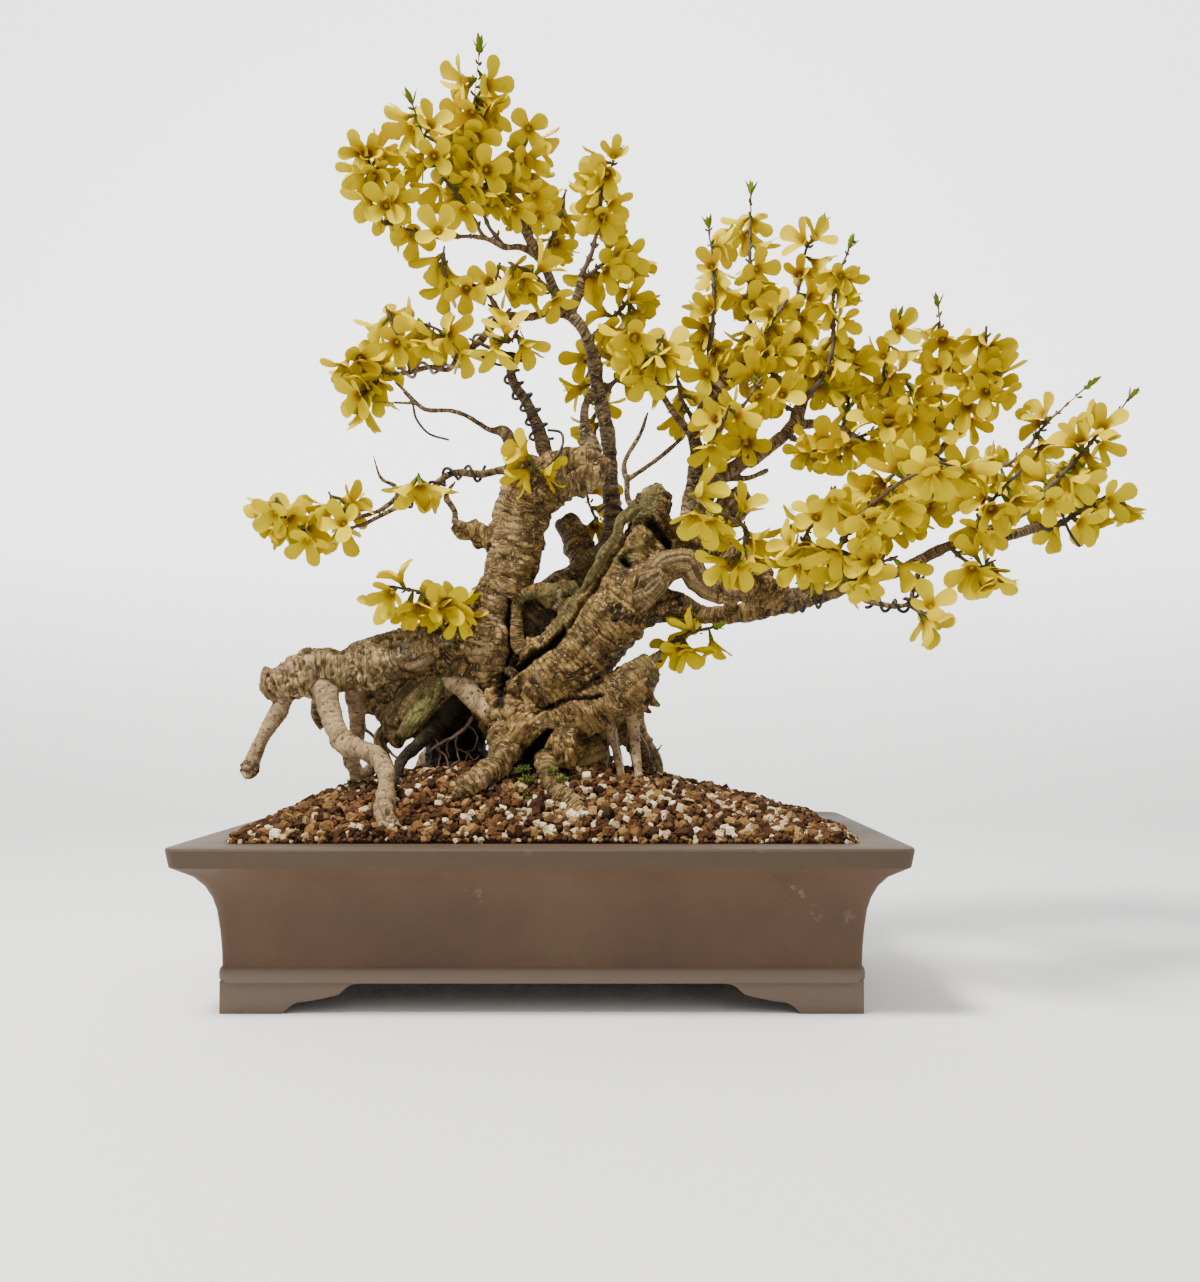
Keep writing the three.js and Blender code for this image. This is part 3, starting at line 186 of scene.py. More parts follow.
def soft_light(name, location, size, power, tint):
    """A square soft light that looks at the middle of the tree."""
    data = bpy.data.lights.new(name, "AREA")
    data.shape = "SQUARE"
    data.size = size
    data.energy = power
    data.color = tint
    lamp = bpy.data.objects.new(name, data)
    lamp.location = location
    lamp.rotation_euler = (Vector(LIT_SPOT) - Vector(location)).to_track_quat("-Z", "Y").to_euler()
    bpy.context.scene.collection.objects.link(lamp)


soft_light("key", (-0.75, -0.62, 2.0), 0.5, 88, (1.0, 0.97, 0.91))
soft_light("fill", (0.9, -2.0, 1.5), 1.6, 8, (1.0, 0.98, 0.95))
surround = bpy.data.worlds.new("surround")
surround.use_nodes = True
surround.node_tree.nodes["Background"].inputs["Color"].default_value = (0.93, 0.96, 1.0, 1)
surround.node_tree.nodes["Background"].inputs["Strength"].default_value = 0.55
bpy.context.scene.world = surround

# The pot. Unglazed brown stoneware, pressed in a mould: a broad flat rim over a hollow-curved wall that ends
# in a rounded base band, with four cloud feet luted on under the corners and two drain holes. The rim, band
# and feet were rubbed smooth, so they are greyer than the wall.
POT_HALF_LENGTH = 0.270
POT_HALF_DEPTH = 0.1675
POT_HEIGHT = 0.125
POT_UNDERSIDE = 0.022
POT_FLOOR = 0.034
RIM_WIDTH = 0.0357
CORNER_RADIUS = 0.011
WALL_CURVE = [(0.0325, 0.035), (0.0322, 0.047), (0.0312, 0.061), (0.0294, 0.076), (0.0268, 0.0855),
              (0.0225, 0.0945), (0.0160, 0.1022), (0.0068, 0.1078)]
# The pot's section from its underside round the outside and down the inside: inset from the rim, height.
POT_PROFILE = [(0.0340, POT_UNDERSIDE), (0.0315, 0.0231), (0.0306, 0.0258), (0.0306, 0.0302),
               (0.0311, 0.0325), (0.0322, 0.0338), *WALL_CURVE, (0.0024, 0.1106),
               (0.0004, POT_HEIGHT - 0.0018), (0.0012, POT_HEIGHT - 0.0004), (0.0026, POT_HEIGHT),
               (RIM_WIDTH - 0.0018, POT_HEIGHT),
               (RIM_WIDTH - 0.0002, POT_HEIGHT - 0.0009), (RIM_WIDTH + 0.0005, POT_HEIGHT - 0.0030),
               (0.0430, 0.060), (0.0450, POT_FLOOR)]
DRAIN_OFFSET = 0.118
DRAIN_RADIUS = 0.0125
FOOT_INSET = 0.0330
FOOT_THICKNESS = 0.017
FOOT_FLAT = 0.046
FOOT_LENGTH = 0.100
FOOT_SIDE_SHARE = 0.8
FOOT_STEPS = 40
FOOT_EDGE = 0.0012
# The ogee of a foot's lower edge: where its bend goes over into its slope, and its slope into its top curve.
OGEE_BEND = 0.26
OGEE_BEND_HEIGHT = 0.0088
OGEE_TOP = 0.78
OGEE_TOP_HEIGHT = 0.0144
FIRED_CLAY = [(0.32, (0.075, 0.041, 0.022)), (0.5, (0.089, 0.050, 0.028)), (0.7, (0.102, 0.061, 0.036))]
RUBBED_RIM = (0.074, 0.051, 0.033)
RUBBED_BAND = (0.156, 0.118, 0.088)
SCUFF_PALE = (0.26, 0.19, 0.125)
SPECKLE_DARK = (0.05, 0.033, 0.021)


def pick(*pieces):
    """Selects these pieces alone, with the first one active."""
    bpy.ops.object.select_all(action="DESELECT")
    for piece in pieces:
        piece.select_set(True)
    bpy.context.view_layer.objects.active = pieces[0]


def edit_mesh(piece):
    """Takes a piece into edit mode and gives its mesh there."""
    pick(piece)
    bpy.ops.object.mode_set(mode="EDIT")
    return bmesh.from_edit_mesh(piece.data)


def leave_edit():
    """Turns all faces outward and goes back to object mode."""
    bpy.ops.mesh.select_all(action="SELECT")
    bpy.ops.mesh.normals_make_consistent(inside=False)
    bpy.ops.object.mode_set(mode="OBJECT")


def narrow_to(inset, height, next_inset):
    """Draws what is selected in from one inset to the next, about the pot's middle."""
    narrower = (POT_HALF_LENGTH - next_inset) / (POT_HALF_LENGTH - inset)
    shallower = (POT_HALF_DEPTH - next_inset) / (POT_HALF_DEPTH - inset)
    bpy.ops.transform.resize(value=(narrower, shallower, 1), center_override=(POT_X, POT_Y, height))


def apply_modifier(piece, kind, **settings):
    """Puts a modifier of a kind on a piece and applies it."""
    pick(piece)
    modifier = piece.modifiers.new(kind.lower(), kind)
    for name, value in settings.items():
        setattr(modifier, name, value)
    bpy.ops.object.modifier_apply(modifier=modifier.name)


def foot_underside(distance):
    """The height of a foot's lower edge at a distance from its corner: a flat and then an ogee."""
    if distance < FOOT_FLAT:
        return 0
    share = (distance - FOOT_FLAT) / (FOOT_LENGTH - FOOT_FLAT)
    if share < OGEE_BEND:
        return OGEE_BEND_HEIGHT * math.sin(math.pi / 2 * share / OGEE_BEND)
    if share < OGEE_TOP:
        slope = ((share - OGEE_BEND) / (OGEE_TOP - OGEE_BEND)) ** 1.4
        return OGEE_BEND_HEIGHT + (OGEE_TOP_HEIGHT - OGEE_BEND_HEIGHT) * slope
    curve = math.sin(math.pi / 2 * (share - OGEE_TOP) / (1 - OGEE_TOP))
    return OGEE_TOP_HEIGHT + (POT_UNDERSIDE - OGEE_TOP_HEIGHT) * curve


def foot_plate(share, start):
    """A plate along +X from a start beyond its corner at the origin, its outer face on the XZ plane."""
    plate = started(bpy.ops.mesh.primitive_grid_add, x_subdivisions=FOOT_STEPS, y_subdivisions=1, size=1)
    outline = edit_mesh(plate)
    for vertex in outline.verts:
        distance = start + (vertex.co.x + 0.5) * (FOOT_LENGTH - start)
        height = foot_underside(distance) if vertex.co.y < 0 else POT_UNDERSIDE + 0.002
        vertex.co = (distance * share, 0, height)
    bmesh.update_edit_mesh(plate.data)
    bpy.ops.mesh.select_all(action="SELECT")
    extrude(0, FOOT_THICKNESS, 0)
    bpy.ops.object.mode_set(mode="OBJECT")
    return plate


pot_body = started(bpy.ops.mesh.primitive_plane_add, size=1, location=(POT_X, POT_Y, POT_UNDERSIDE))
inset, height = POT_PROFILE[0]
pot_body.scale = (2 * (POT_HALF_LENGTH - inset), 2 * (POT_HALF_DEPTH - inset), 1)
bpy.ops.object.transform_apply(location=True, rotation=True, scale=True)
bpy.ops.object.mode_set(mode="EDIT")
bpy.ops.mesh.select_all(action="SELECT")
bpy.ops.mesh.bevel(offset=CORNER_RADIUS, segments=6, affect="VERTICES")
for next_inset, next_height in POT_PROFILE[1:]:
    extrude(0, 0, next_height - height)
    narrow_to(inset, next_height, next_inset)
    inset, height = next_inset, next_height
leave_edit()
for side in (-1, 1):
    drill = started(bpy.ops.mesh.primitive_cylinder_add, vertices=48, radius=DRAIN_RADIUS, depth=POT_HEIGHT,
                    location=(POT_X + side * DRAIN_OFFSET, POT_Y, 0))
    apply_modifier(pot_body, "BOOLEAN", operation="DIFFERENCE", object=drill, solver="EXACT")
    bpy.data.objects.remove(drill)

feet = []
corner_x = POT_HALF_LENGTH - FOOT_INSET
corner_y = POT_HALF_DEPTH - FOOT_INSET
for sign_x in (-1, 1):
    for sign_y in (-1, 1):
        along_length = foot_plate(1, 0)
        along_length.scale = (-sign_x, -sign_y, 1)
        along_depth = foot_plate(FOOT_SIDE_SHARE, FOOT_THICKNESS / 2)
        along_depth.rotation_euler = (0, 0, math.pi / 2)
        along_depth.scale = (-sign_y, sign_x, 1)
        for plate in (along_length, along_depth):
            plate.location = (POT_X + sign_x * corner_x, POT_Y + sign_y * corner_y, 0)
            pick(plate)
            bpy.ops.object.transform_apply(location=True, rotation=True, scale=True)
            edit_mesh(plate)
            leave_edit()
        apply_modifier(along_length, "BOOLEAN", operation="UNION", object=along_depth, solver="EXACT")
        bpy.data.objects.remove(along_depth)
        apply_modifier(along_length, "BEVEL", width=FOOT_EDGE, segments=2, limit_method="ANGLE",
                       angle_limit=math.radians(50))
        feet.append(along_length)
pick(pot_body, *feet)
bpy.ops.object.join()
stoneware_pot = pot_body
stoneware_pot.name = "stoneware_pot"
stoneware_pot.data.name = "stoneware_pot"
bpy.ops.object.shade_smooth_by_angle(angle=math.radians(32))


def object_noise(tree, scale, detail, roughness=0.55, stretch=(1, 1, 1)):
    """Noise on the object's own coordinates, scale in features per metre."""
    coordinates = new_node(tree, "ShaderNodeTexCoord")
    mapping = new_node(tree, "ShaderNodeMapping", {"Scale": stretch})
    texture = new_node(tree, "ShaderNodeTexNoise", {"Scale": scale, "Detail": detail, "Roughness": roughness})
    give(mapping, "Vector", coordinates.outputs["Object"])
    give(texture, "Vector", mapping.outputs["Vector"])
    return texture.outputs["Fac"]


def colour_ramp(factor, stops):
    """Colours at places along a factor: [(place, (red, green, blue)), ...]."""
    ramp = new_node(factor.id_data, "ShaderNodeValToRGB")
    while len(ramp.color_ramp.elements) < len(stops):
        ramp.color_ramp.elements.new(0.5)
    for element, (position, colour) in zip(ramp.color_ramp.elements, stops):
        element.position = position
        element.color = (*colour, 1)
    give(ramp, "Fac", factor)
    return ramp.outputs["Color"]


def mixed_colour(factor, under, over, blend="MIX"):
    """One colour laid over another where a factor says; the upper one may be plain numbers."""
    mix = new_node(factor.id_data, "ShaderNodeMix", data_type="RGBA", blend_type=blend)
    give(mix, 0, factor)
    give(mix, 6, under)
    if isinstance(over, tuple):
        mix.inputs[7].default_value = (*over, 1)
    else:
        give(mix, 7, over)
    return mix.outputs[2]


def calculated(operation, first, second):
    """A factor reckoned with another factor or a plain number."""
    sum_node = new_node(first.id_data, "ShaderNodeMath", operation=operation)
    give(sum_node, 0, first)
    if isinstance(second, (int, float)):
        sum_node.inputs[1].default_value = second
    else:
        give(sum_node, 1, second)
    return sum_node.outputs[0]


def times(first, second):
    return calculated("MULTIPLY", first, second)


def plus(first, second):
    return calculated("ADD", first, second)


def bumped(height, depth, strength, normal=None):
    """A surface raised by a height, over another one where that is given."""
    bump = new_node(height.id_data, "ShaderNodeBump", {"Strength": strength, "Distance": depth})
    give(bump, "Height", height)
    if normal is not None:
        give(bump, "Normal", normal)
    return bump.outputs["Normal"]


def coat(piece, material):
    """Gives a piece one material in place of any that it has."""
    piece.data.materials.clear()
    piece.data.materials.append(material)


stoneware, tree, shader = node_material("stoneware")
clouds = object_noise(tree, 14, 5)
clay = colour_ramp(clouds, FIRED_CLAY)
rim_grey = mixed_colour(value_ramp(height_in(tree), 0.104, 0.116, 0, 0.8), clay, RUBBED_RIM)
greyed = mixed_colour(value_ramp(height_in(tree), 0.0345, 0.0325, 0, 0.75), rim_grey, RUBBED_BAND)
scuff_shape = value_ramp(object_noise(tree, 60, 8, 0.7), 0.62, 0.70, 0, 1)
scuff_place = value_ramp(object_noise(tree, 9, 2), 0.56, 0.66, 0, 0.55)
scuffed = mixed_colour(times(scuff_shape, scuff_place), greyed, SCUFF_PALE)
speckle = object_noise(tree, 900, 3)
give(shader, "Base Color", mixed_colour(value_ramp(speckle, 0.35, 0.7, 0.18, 0), scuffed, SPECKLE_DARK))
give(shader, "Roughness", value_ramp(clouds, 0.3, 0.7, 0.60, 0.76))
shader.inputs["Specular IOR Level"].default_value = 0.25
trowel = object_noise(tree, 120, 4, 0.5, (0.12, 0.12, 1))
give(shader, "Normal", bumped(trowel, 0.0012, 0.22, bumped(speckle, 0.0004, 0.35)))
coat(stoneware_pot, stoneware)
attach(stoneware_pot, "root")
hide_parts("pot")

# The drain screens. Squares of black plastic mesh laid over the pot's two drain holes, under the soil. They
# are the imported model's own pieces, kept as they are, with the dull grey bloom of lime on wet plastic.
LIMED_PLASTIC = [(0.40, (0.012, 0.013, 0.012)), (0.70, (0.075, 0.078, 0.070))]
screen_plastic, tree, shader = node_material("screen_plastic")
lime_bloom = object_noise(tree, 240, 4)
give(shader, "Base Color", colour_ramp(lime_bloom, LIMED_PLASTIC))
shader.inputs["Roughness"].default_value = 0.6
give(shader, "Normal", bumped(lime_bloom, 0.0003, 0.3))
for name in ("drain_screen_left", "drain_screen_right"):
    for material_slot in bpy.data.objects[name].material_slots:
        material_slot.material = screen_plastic

# The soil. A bed of grains that fills the pot and is heaped up under the trunk: reddish-brown baked clay,
# white pumice and tan grit, sieved to 5 or 6 mm. The bed is earth painted dark as shade between the grains.
SOIL_INSET = RIM_WIDTH + 0.0003
SOIL_EDGE_HEIGHT = 0.1275
SOIL_RISE = 0.050
SOIL_CROWN_X = 0.020
SOIL_LEFT_RUN = 0.254
SOIL_RIGHT_RUN = 0.214
SOIL_LEFT_POWER = 3.2
SOIL_RIGHT_POWER = 1.45
SOIL_CROSS_RUN = 0.134
SOIL_CROSS_POWER = 2.2
SOIL_SINK = 0.0022
SOIL_UNEVENNESS = 0.0012
SOIL_WALL = [(0.0389, 0.118), (0.0438, 0.060), (0.0462, 0.036)]
SOIL_CORNER = 0.010
# The bed's colour: earth painted dark as the shade between the grains.
SHADED_BED_EARTH = [(0.3, (0.014, 0.007, 0.003)), (0.7, (0.050, 0.022, 0.009))]


def soil_height(x, y):
    """The height of the heaped soil at a place measured from the pot's middle."""
    run, power = (SOIL_LEFT_RUN, SOIL_LEFT_POWER) if x < SOIL_CROWN_X else (SOIL_RIGHT_RUN, SOIL_RIGHT_POWER)
    ridge = 1 - min(1, (abs(x - SOIL_CROWN_X) / run) ** power)
    across = 1 - min(1, (abs(y) / SOIL_CROSS_RUN) ** SOIL_CROSS_POWER)
    return SOIL_EDGE_HEIGHT + SOIL_RISE * ridge * across


def inside_corner(x, y, half_x, half_y):
    """A place moved onto the rounded corner of a rectangle where it lies outside it."""
    over = Vector((abs(x) - (half_x - SOIL_CORNER), abs(y) - (half_y - SOIL_CORNER)))
    if over.x <= 0 or over.y <= 0 or over.length <= SOIL_CORNER:
        return x, y
    over *= SOIL_CORNER / over.length
    return (math.copysign(half_x - SOIL_CORNER + over.x, x), math.copysign(half_y - SOIL_CORNER + over.y, y))


soil_bed = started(bpy.ops.mesh.primitive_grid_add, x_subdivisions=94, y_subdivisions=54, size=1)
soil_bed.name = "soil_bed"
bed = edit_mesh(soil_bed)
half_x = POT_HALF_LENGTH - SOIL_INSET
half_y = POT_HALF_DEPTH - SOIL_INSET
for vertex in bed.verts:
    x, y = inside_corner(2 * vertex.co.x * half_x, 2 * vertex.co.y * half_y, half_x, half_y)
    unevenness = SOIL_UNEVENNESS * noise.noise(Vector((x * 90, y * 90, 4.0)))
    vertex.co = (POT_X + x, POT_Y + y, soil_height(x, y) - SOIL_SINK + unevenness)
for edge in bed.edges:
    edge.select_set(edge.is_boundary)
bmesh.update_edit_mesh(soil_bed.data)
inset = SOIL_INSET
for next_inset, next_height in SOIL_WALL:
    extrude(0, 0, -0.001)
    narrow_to(inset, next_height, next_inset)
    for vertex in bmesh.from_edit_mesh(soil_bed.data).verts:
        if vertex.select:
            vertex.co.z = next_height
    inset = next_inset
bpy.ops.mesh.edge_face_add()
leave_edit()
bpy.ops.object.shade_smooth_by_angle(angle=math.radians(50))

shaded_bed_earth, tree, shader = node_material("shaded_bed_earth")
crumbs = object_noise(tree, 420, 4)
give(shader, "Base Color", colour_ramp(crumbs, SHADED_BED_EARTH))
shader.inputs["Roughness"].default_value = 0.95
give(shader, "Normal", bumped(crumbs, 0.001, 0.6))
coat(soil_bed, shaded_bed_earth)
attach(soil_bed, "root")
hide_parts("soil")

# The grains. One chipped cube, dented and turned afresh for each grain, lies all over the bed, and smaller
# ones are swept up against the rim. White pumice is commoner towards the right, where the soil was topped up.
GRAIN_SPACING = 0.0054
GRAIN_SIZES = (0.0044, 0.0084)
GRAIN_RAISED = 0.30
EDGE_SPACING = 0.0037
EDGE_GRAIN_SIZES = (0.0034, 0.0052)
EDGE_SPILL = 0.0018
GRAIN_SHIFT = 0.0014
GRAIN_DENT = 0.17
PUMICE_SIZE = 0.88
TAN_SHARE = 0.20
# The tones of each kind of grit, from its darkest grains to its palest.
GRAIN_KINDS = {
    "clay_grains": [(0, (0.020, 0.008, 0.003)), (0.55, (0.072, 0.029, 0.009)), (1, (0.190, 0.085, 0.030))],
    "pumice_grains": [(0, (0.30, 0.19, 0.080)), (0.5, (0.64, 0.49, 0.29)), (1, (0.88, 0.78, 0.56))],
    "tan_grains": [(0, (0.11, 0.056, 0.016)), (0.5, (0.23, 0.125, 0.038)), (1, (0.36, 0.225, 0.090))],
}


def lifted_shape(shape):
    """A modelled shape's points as an array and its faces as lists of point numbers; the shape goes away."""
    points = np.empty(len(shape.data.vertices) * 3)
    shape.data.vertices.foreach_get("co", points)
    faces = [list(polygon.vertices) for polygon in shape.data.polygons]
    bpy.data.objects.remove(shape)
    return points.reshape(-1, 3), faces


def copied_faces(faces, corners, copies, start=0):
    """The faces of several copies of a shape, which has so many corners, numbered on from a start."""
    return [[corner + start + i * corners for corner in face] for i in range(copies) for face in faces]


def mesh_of(name, points, faces, smooth=True):
    """A piece at the origin from an array of points and lists of point numbers."""
    mesh = bpy.data.meshes.new(name)
    mesh.from_pydata([tuple(point) for point in points], [], faces)
    mesh.update()
    mesh.polygons.foreach_set("use_smooth", [smooth] * len(mesh.polygons))
    piece = bpy.data.objects.new(name, mesh)
    bpy.context.scene.collection.objects.link(piece)
    return piece


def set_attribute(piece, name, values):
    attribute = piece.data.attributes.new(name, "FLOAT", "POINT")
    attribute.data.foreach_set("value", np.asarray(values, dtype=np.float32))


def attribute_value(tree, name):
    return new_node(tree, "ShaderNodeAttribute", attribute_name=name).outputs["Fac"]


grain_shape = started(bpy.ops.mesh.primitive_cube_add, size=1)
edit_mesh(grain_shape)
bpy.ops.mesh.select_all(action="SELECT")
bpy.ops.mesh.bevel(offset=0.21, segments=1, affect="EDGES")
bpy.ops.object.mode_set(mode="OBJECT")
grain_points, grain_faces = lifted_shape(grain_shape)

grit_random = random.Random(4127)
grain_copies = {kind: [] for kind in GRAIN_KINDS}
grain_tones = {kind: [] for kind in GRAIN_KINDS}
rows = int(2 * half_y / GRAIN_SPACING)
columns = int(2 * half_x / GRAIN_SPACING)
grain_spots = []
for row in range(rows + 1):
    for column in range(columns + 1):
        x = -half_x + (column + 0.5 * (row % 2)) * 2 * half_x / columns
        y = -half_y + row * 2 * half_y / rows
        grain_spots.append((x, y, GRAIN_SIZES, GRAIN_RAISED, 0))
for side in (-1, 1):
    for step in range(int(2 * half_x / EDGE_SPACING) + 1):
        grain_spots.append((-half_x + step * EDGE_SPACING, side * half_y, EDGE_GRAIN_SIZES, 0, EDGE_SPILL))
    for step in range(int(2 * half_y / EDGE_SPACING) + 1):
        grain_spots.append((side * half_x, -half_y + step * EDGE_SPACING, EDGE_GRAIN_SIZES, 0, EDGE_SPILL))
for x, y, sizes, raised, spill in grain_spots:
    x += grit_random.uniform(-GRAIN_SHIFT, GRAIN_SHIFT)
    y += grit_random.uniform(-GRAIN_SHIFT, GRAIN_SHIFT)
    size = sizes[0] + (sizes[1] - sizes[0]) * grit_random.random() ** 1.6
    shape = [grit_random.uniform(0.68, 1.15) for axis in range(3)]
    angles = [grit_random.uniform(0, math.tau) for axis in range(3)]
    lift = grit_random.uniform(-0.0010, 0.0018)
    dents = [[grit_random.uniform(-GRAIN_DENT, GRAIN_DENT) for axis in range(3)] for point in grain_points]
    draw_kind = grit_random.random()
    tone = grit_random.random()
    edge_x = half_x + spill - 0.5 * size
    edge_y = half_y + spill - 0.5 * size
    x = max(-edge_x, min(edge_x, x))
    y = max(-edge_y, min(edge_y, y))
    x, y = inside_corner(x, y, edge_x, edge_y)
    whiter = 0.14 + 0.16 * max(0, min(1, (x + 0.1) / 0.3))
    kind = "clay_grains"
    if draw_kind < whiter:
        kind = "pumice_grains"
        size *= PUMICE_SIZE
    elif draw_kind < whiter + TAN_SHARE:
        kind = "tan_grains"
    turn = np.array(Matrix.Rotation(angles[0], 3, "X") @ Matrix.Rotation(angles[1], 3, "Y")
                    @ Matrix.Rotation(angles[2], 3, "Z"))
    points = ((grain_points + dents) * shape * size) @ turn.T
    points += (POT_X + x, POT_Y + y, soil_height(x, y) - SOIL_SINK + raised * size + lift)
    grain_copies[kind].append(points)
    grain_tones[kind].append(tone)
for kind, stops in GRAIN_KINDS.items():
    copies = grain_copies[kind]
    faces = copied_faces(grain_faces, len(grain_points), len(copies))
    grains = mesh_of(kind, np.concatenate(copies), faces, smooth=False)
    set_attribute(grains, "tone", np.repeat(grain_tones[kind], len(grain_points)))
    grit, tree, shader = node_material(kind)
    pores = object_noise(tree, 900, 4, 0.65)
    tone = plus(plus(times(attribute_value(tree, "tone"), 0.75), times(pores, 0.5)), -0.125)
    # Pits in the grains are darkened as painted shade.
    pits = value_ramp(object_noise(tree, 600, 2), 0.33, 0.42, 0.75, 0)
    pit_shade = tuple(0.35 * value for value in stops[0][1])
    give(shader, "Base Color", mixed_colour(pits, colour_ramp(tone, stops), pit_shade))
    shader.inputs["Roughness"].default_value = 0.92
    shader.inputs["Specular IOR Level"].default_value = 0.2
    give(shader, "Normal", bumped(pores, 0.0008, 0.7))
    coat(grains, grit)
    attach(grains, "root")
    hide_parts("soil")

# The trunk. An old collected stump: a column on the left that ends in a bend, and a leaning trunk, half
# hollow, with deadwood along its edge and a swirl of bare wood to the right. Tan bark, wrinkled across the
# limbs, covers the rest. A remesh joins the limbs, and hollows, lumps and wrinkles are worked into the skin.
TRUNK_VOXEL = 0.00165
PATH_STEP = 0.004
THINNEST = 0.0003
WRINKLE_HEIGHT = 0.0015
TRUNK_LIMBS = {
    "column": [(478, 690, 0, 28), (480, 655, -5, 34), (494, 608, -8, 27), (507, 580, -8, 25),
        (515, 555, -8, 27), (521, 525, -8, 29), (530, 498, -8, 29), (548, 479, -8, 26), (570, 472, -8, 23),
        (592, 471, -9, 21), (605, 475, -10, 15)],
    "leaning_trunk": [(522, 700, -20, 22), (545, 678, -24, 33), (575, 652, -26, 38), (603, 620, -28, 39),
        (624, 588, -28, 35), (637, 560, -24, 28), (645, 535, -18, 21), (655, 510, -12, 17),
        (658, 493, -8, 15)],
    "hollow_back": [(505, 650, 10, 20), (530, 625, 16, 26), (560, 598, 20, 24), (590, 572, 22, 19),
        (612, 548, 18, 14)],
    "cut_stub_behind": [(596, 580, 28, 15), (580, 552, 32, 15), (571, 530, 34, 13), (566, 519, 35, 11)],
    "swirl_branch": [(612, 600, -34, 22), (638, 592, -42, 17), (656, 580, -48, 15), (670, 566, -52, 15),
        (686, 563, -53, 15), (698, 578, -52, 13), (714, 589, -50, 12), (738, 590, -46, 12),
        (760, 590, -42, 13), (782, 598, -36, 13)],
    "under_branch": [(640, 612, 0, 15), (668, 612, 2, 10), (692, 614, 0, 10), (716, 614, -4, 9),
        (742, 613, -10, 9), (768, 609, -20, 10), (792, 604, -30, 10), (816, 597, -38, 9), (836, 590, -45, 9),
        (852, 582, -50, 8)],
    "upper_shoulder": [(645, 560, -15, 22), (668, 542, -2, 17), (692, 530, 8, 15), (712, 520, 16, 13),
        (733, 508, 26, 16), (746, 498, 30, 10)],
    "cut_root_stub": [(552, 728, -34, 20), (584, 712, -40, 22), (614, 697, -44, 22), (638, 677, -46, 20),
        (654, 664, -46, 15)],
    "base_knot": [(490, 700, -25, 20), (515, 722, -38, 25), (545, 742, -46, 22), (575, 748, -50, 20)],
    "base_core": [(496, 684, 2, 32), (528, 725, 0, 46), (556, 755, 0, 50), (572, 800, 0, 48)],
    "side_knob": [(492, 540, -8, 11), (476, 531, -10, 9), (462, 531, -12, 9), (455, 524, -12, 7)],
    "side_knob_nub": [(472, 521, -9, 5), (478, 534, -10, 8), (476, 549, -11, 4)],
}
# Smaller forms that the trunk's skin takes up: rims, ledges, lumps, ridges and broken ends.
TRUNK_EXTRAS = {
    "thin_rim": [(516, 598, -16, 6), (514, 610, -19, 7), (516, 624, -20, 7.5), (517, 640, -21, 7),
        (522, 654, -22, 7)],
    "hollow_shadow": [(506, 652, 4, 18), (530, 627, 8, 25), (554, 606, 8, 18)],
    "ledge_left": [(520, 598, -18, 7), (531, 592, -22, 8), (544, 589, -24, 8)],
    "ledge_middle": [(543, 592, -24, 9), (555, 600, -30, 9), (562, 608, -32, 6)],
    "ledge_right": [(556, 586, -16, 8), (567, 592, -22, 9), (578, 588, -22, 8)],
    "inner_lump": [(523, 653, -14, 8), (533, 648, -18, 9), (545, 640, -16, 6)],
    "crevice_lump": [(507, 668, -40, 4), (513, 673, -42, 5), (517, 680, -40, 4)],
    "crevice_lump_low": [(506, 686, -42, 4), (513, 689, -42, 4.5)],
    "crevice_back": [(507, 648, 16, 11), (504, 678, 16, 13), (500, 708, 10, 13)],
    "ridge_low": [(558, 628, -38, 3), (568, 607, -40, 3.5), (583, 592, -43, 4), (596, 570, -43, 4.5)],
    "ridge_high": [(596, 570, -43, 4.5), (604, 552, -42, 5), (617, 536, -40, 4.5), (621, 520, -38, 5),
        (631, 510, -36, 4.5), (635, 500, -36, 2.5)],
    "ridge_spike": [(622, 522, -38, 4), (632, 513, -38, 4.5), (642, 506, -36, 2.5)],
    "ridge_sliver": [(578, 602, -42, 3), (590, 574, -46, 2.5), (600, 560, -46, 2)],
    "eye_boss": [(618, 566, -40, 9), (628, 548, -38, 12), (642, 536, -34, 12), (650, 528, -28, 8)],
    "broken_block": [(640, 524, 14, 12), (646, 508, 18, 15), (653, 494, 16, 14), (650, 486, 14, 8)],
    "cavity_back": [(656, 528, 16, 16), (676, 544, 24, 16), (700, 556, 22, 14)],
    "dead_knob": [(716, 520, 22, 11), (729, 510, 16, 17), (738, 500, 10, 15), (745, 492, 6, 8)],
    "swirl_root": [(622, 606, -36, 18), (645, 594, -48, 15), (660, 578, -55, 13)],
    "swirl_web": [(634, 608, -20, 22), (658, 604, -26, 18), (680, 606, -28, 12), (698, 610, -18, 8)],
    "swirl_bark": [(724, 590, -50, 13.5), (742, 590, -46, 14), (762, 591, -42, 15), (784, 599, -36, 14)],
    "edge_spike_high": [(644, 694, -42, 8), (652, 701, -41, 5), (661, 706, -40, 2)],
    "edge_spike_middle": [(638, 704, -40, 7), (645, 709, -39, 4), (652, 713, -38, 1.8)],
    "edge_spike_low": [(630, 712, -40, 6), (638, 717, -39, 3.5), (644, 722, -38, 1.6)],
    "branch_link": [(728, 612, -8, 7), (732, 600, -25, 7), (734, 592, -44, 7)],
    "shoulder_ledge": [(692, 534, 4, 12), (716, 546, -10, 12), (742, 562, -26, 12), (768, 580, -34, 11)],
}
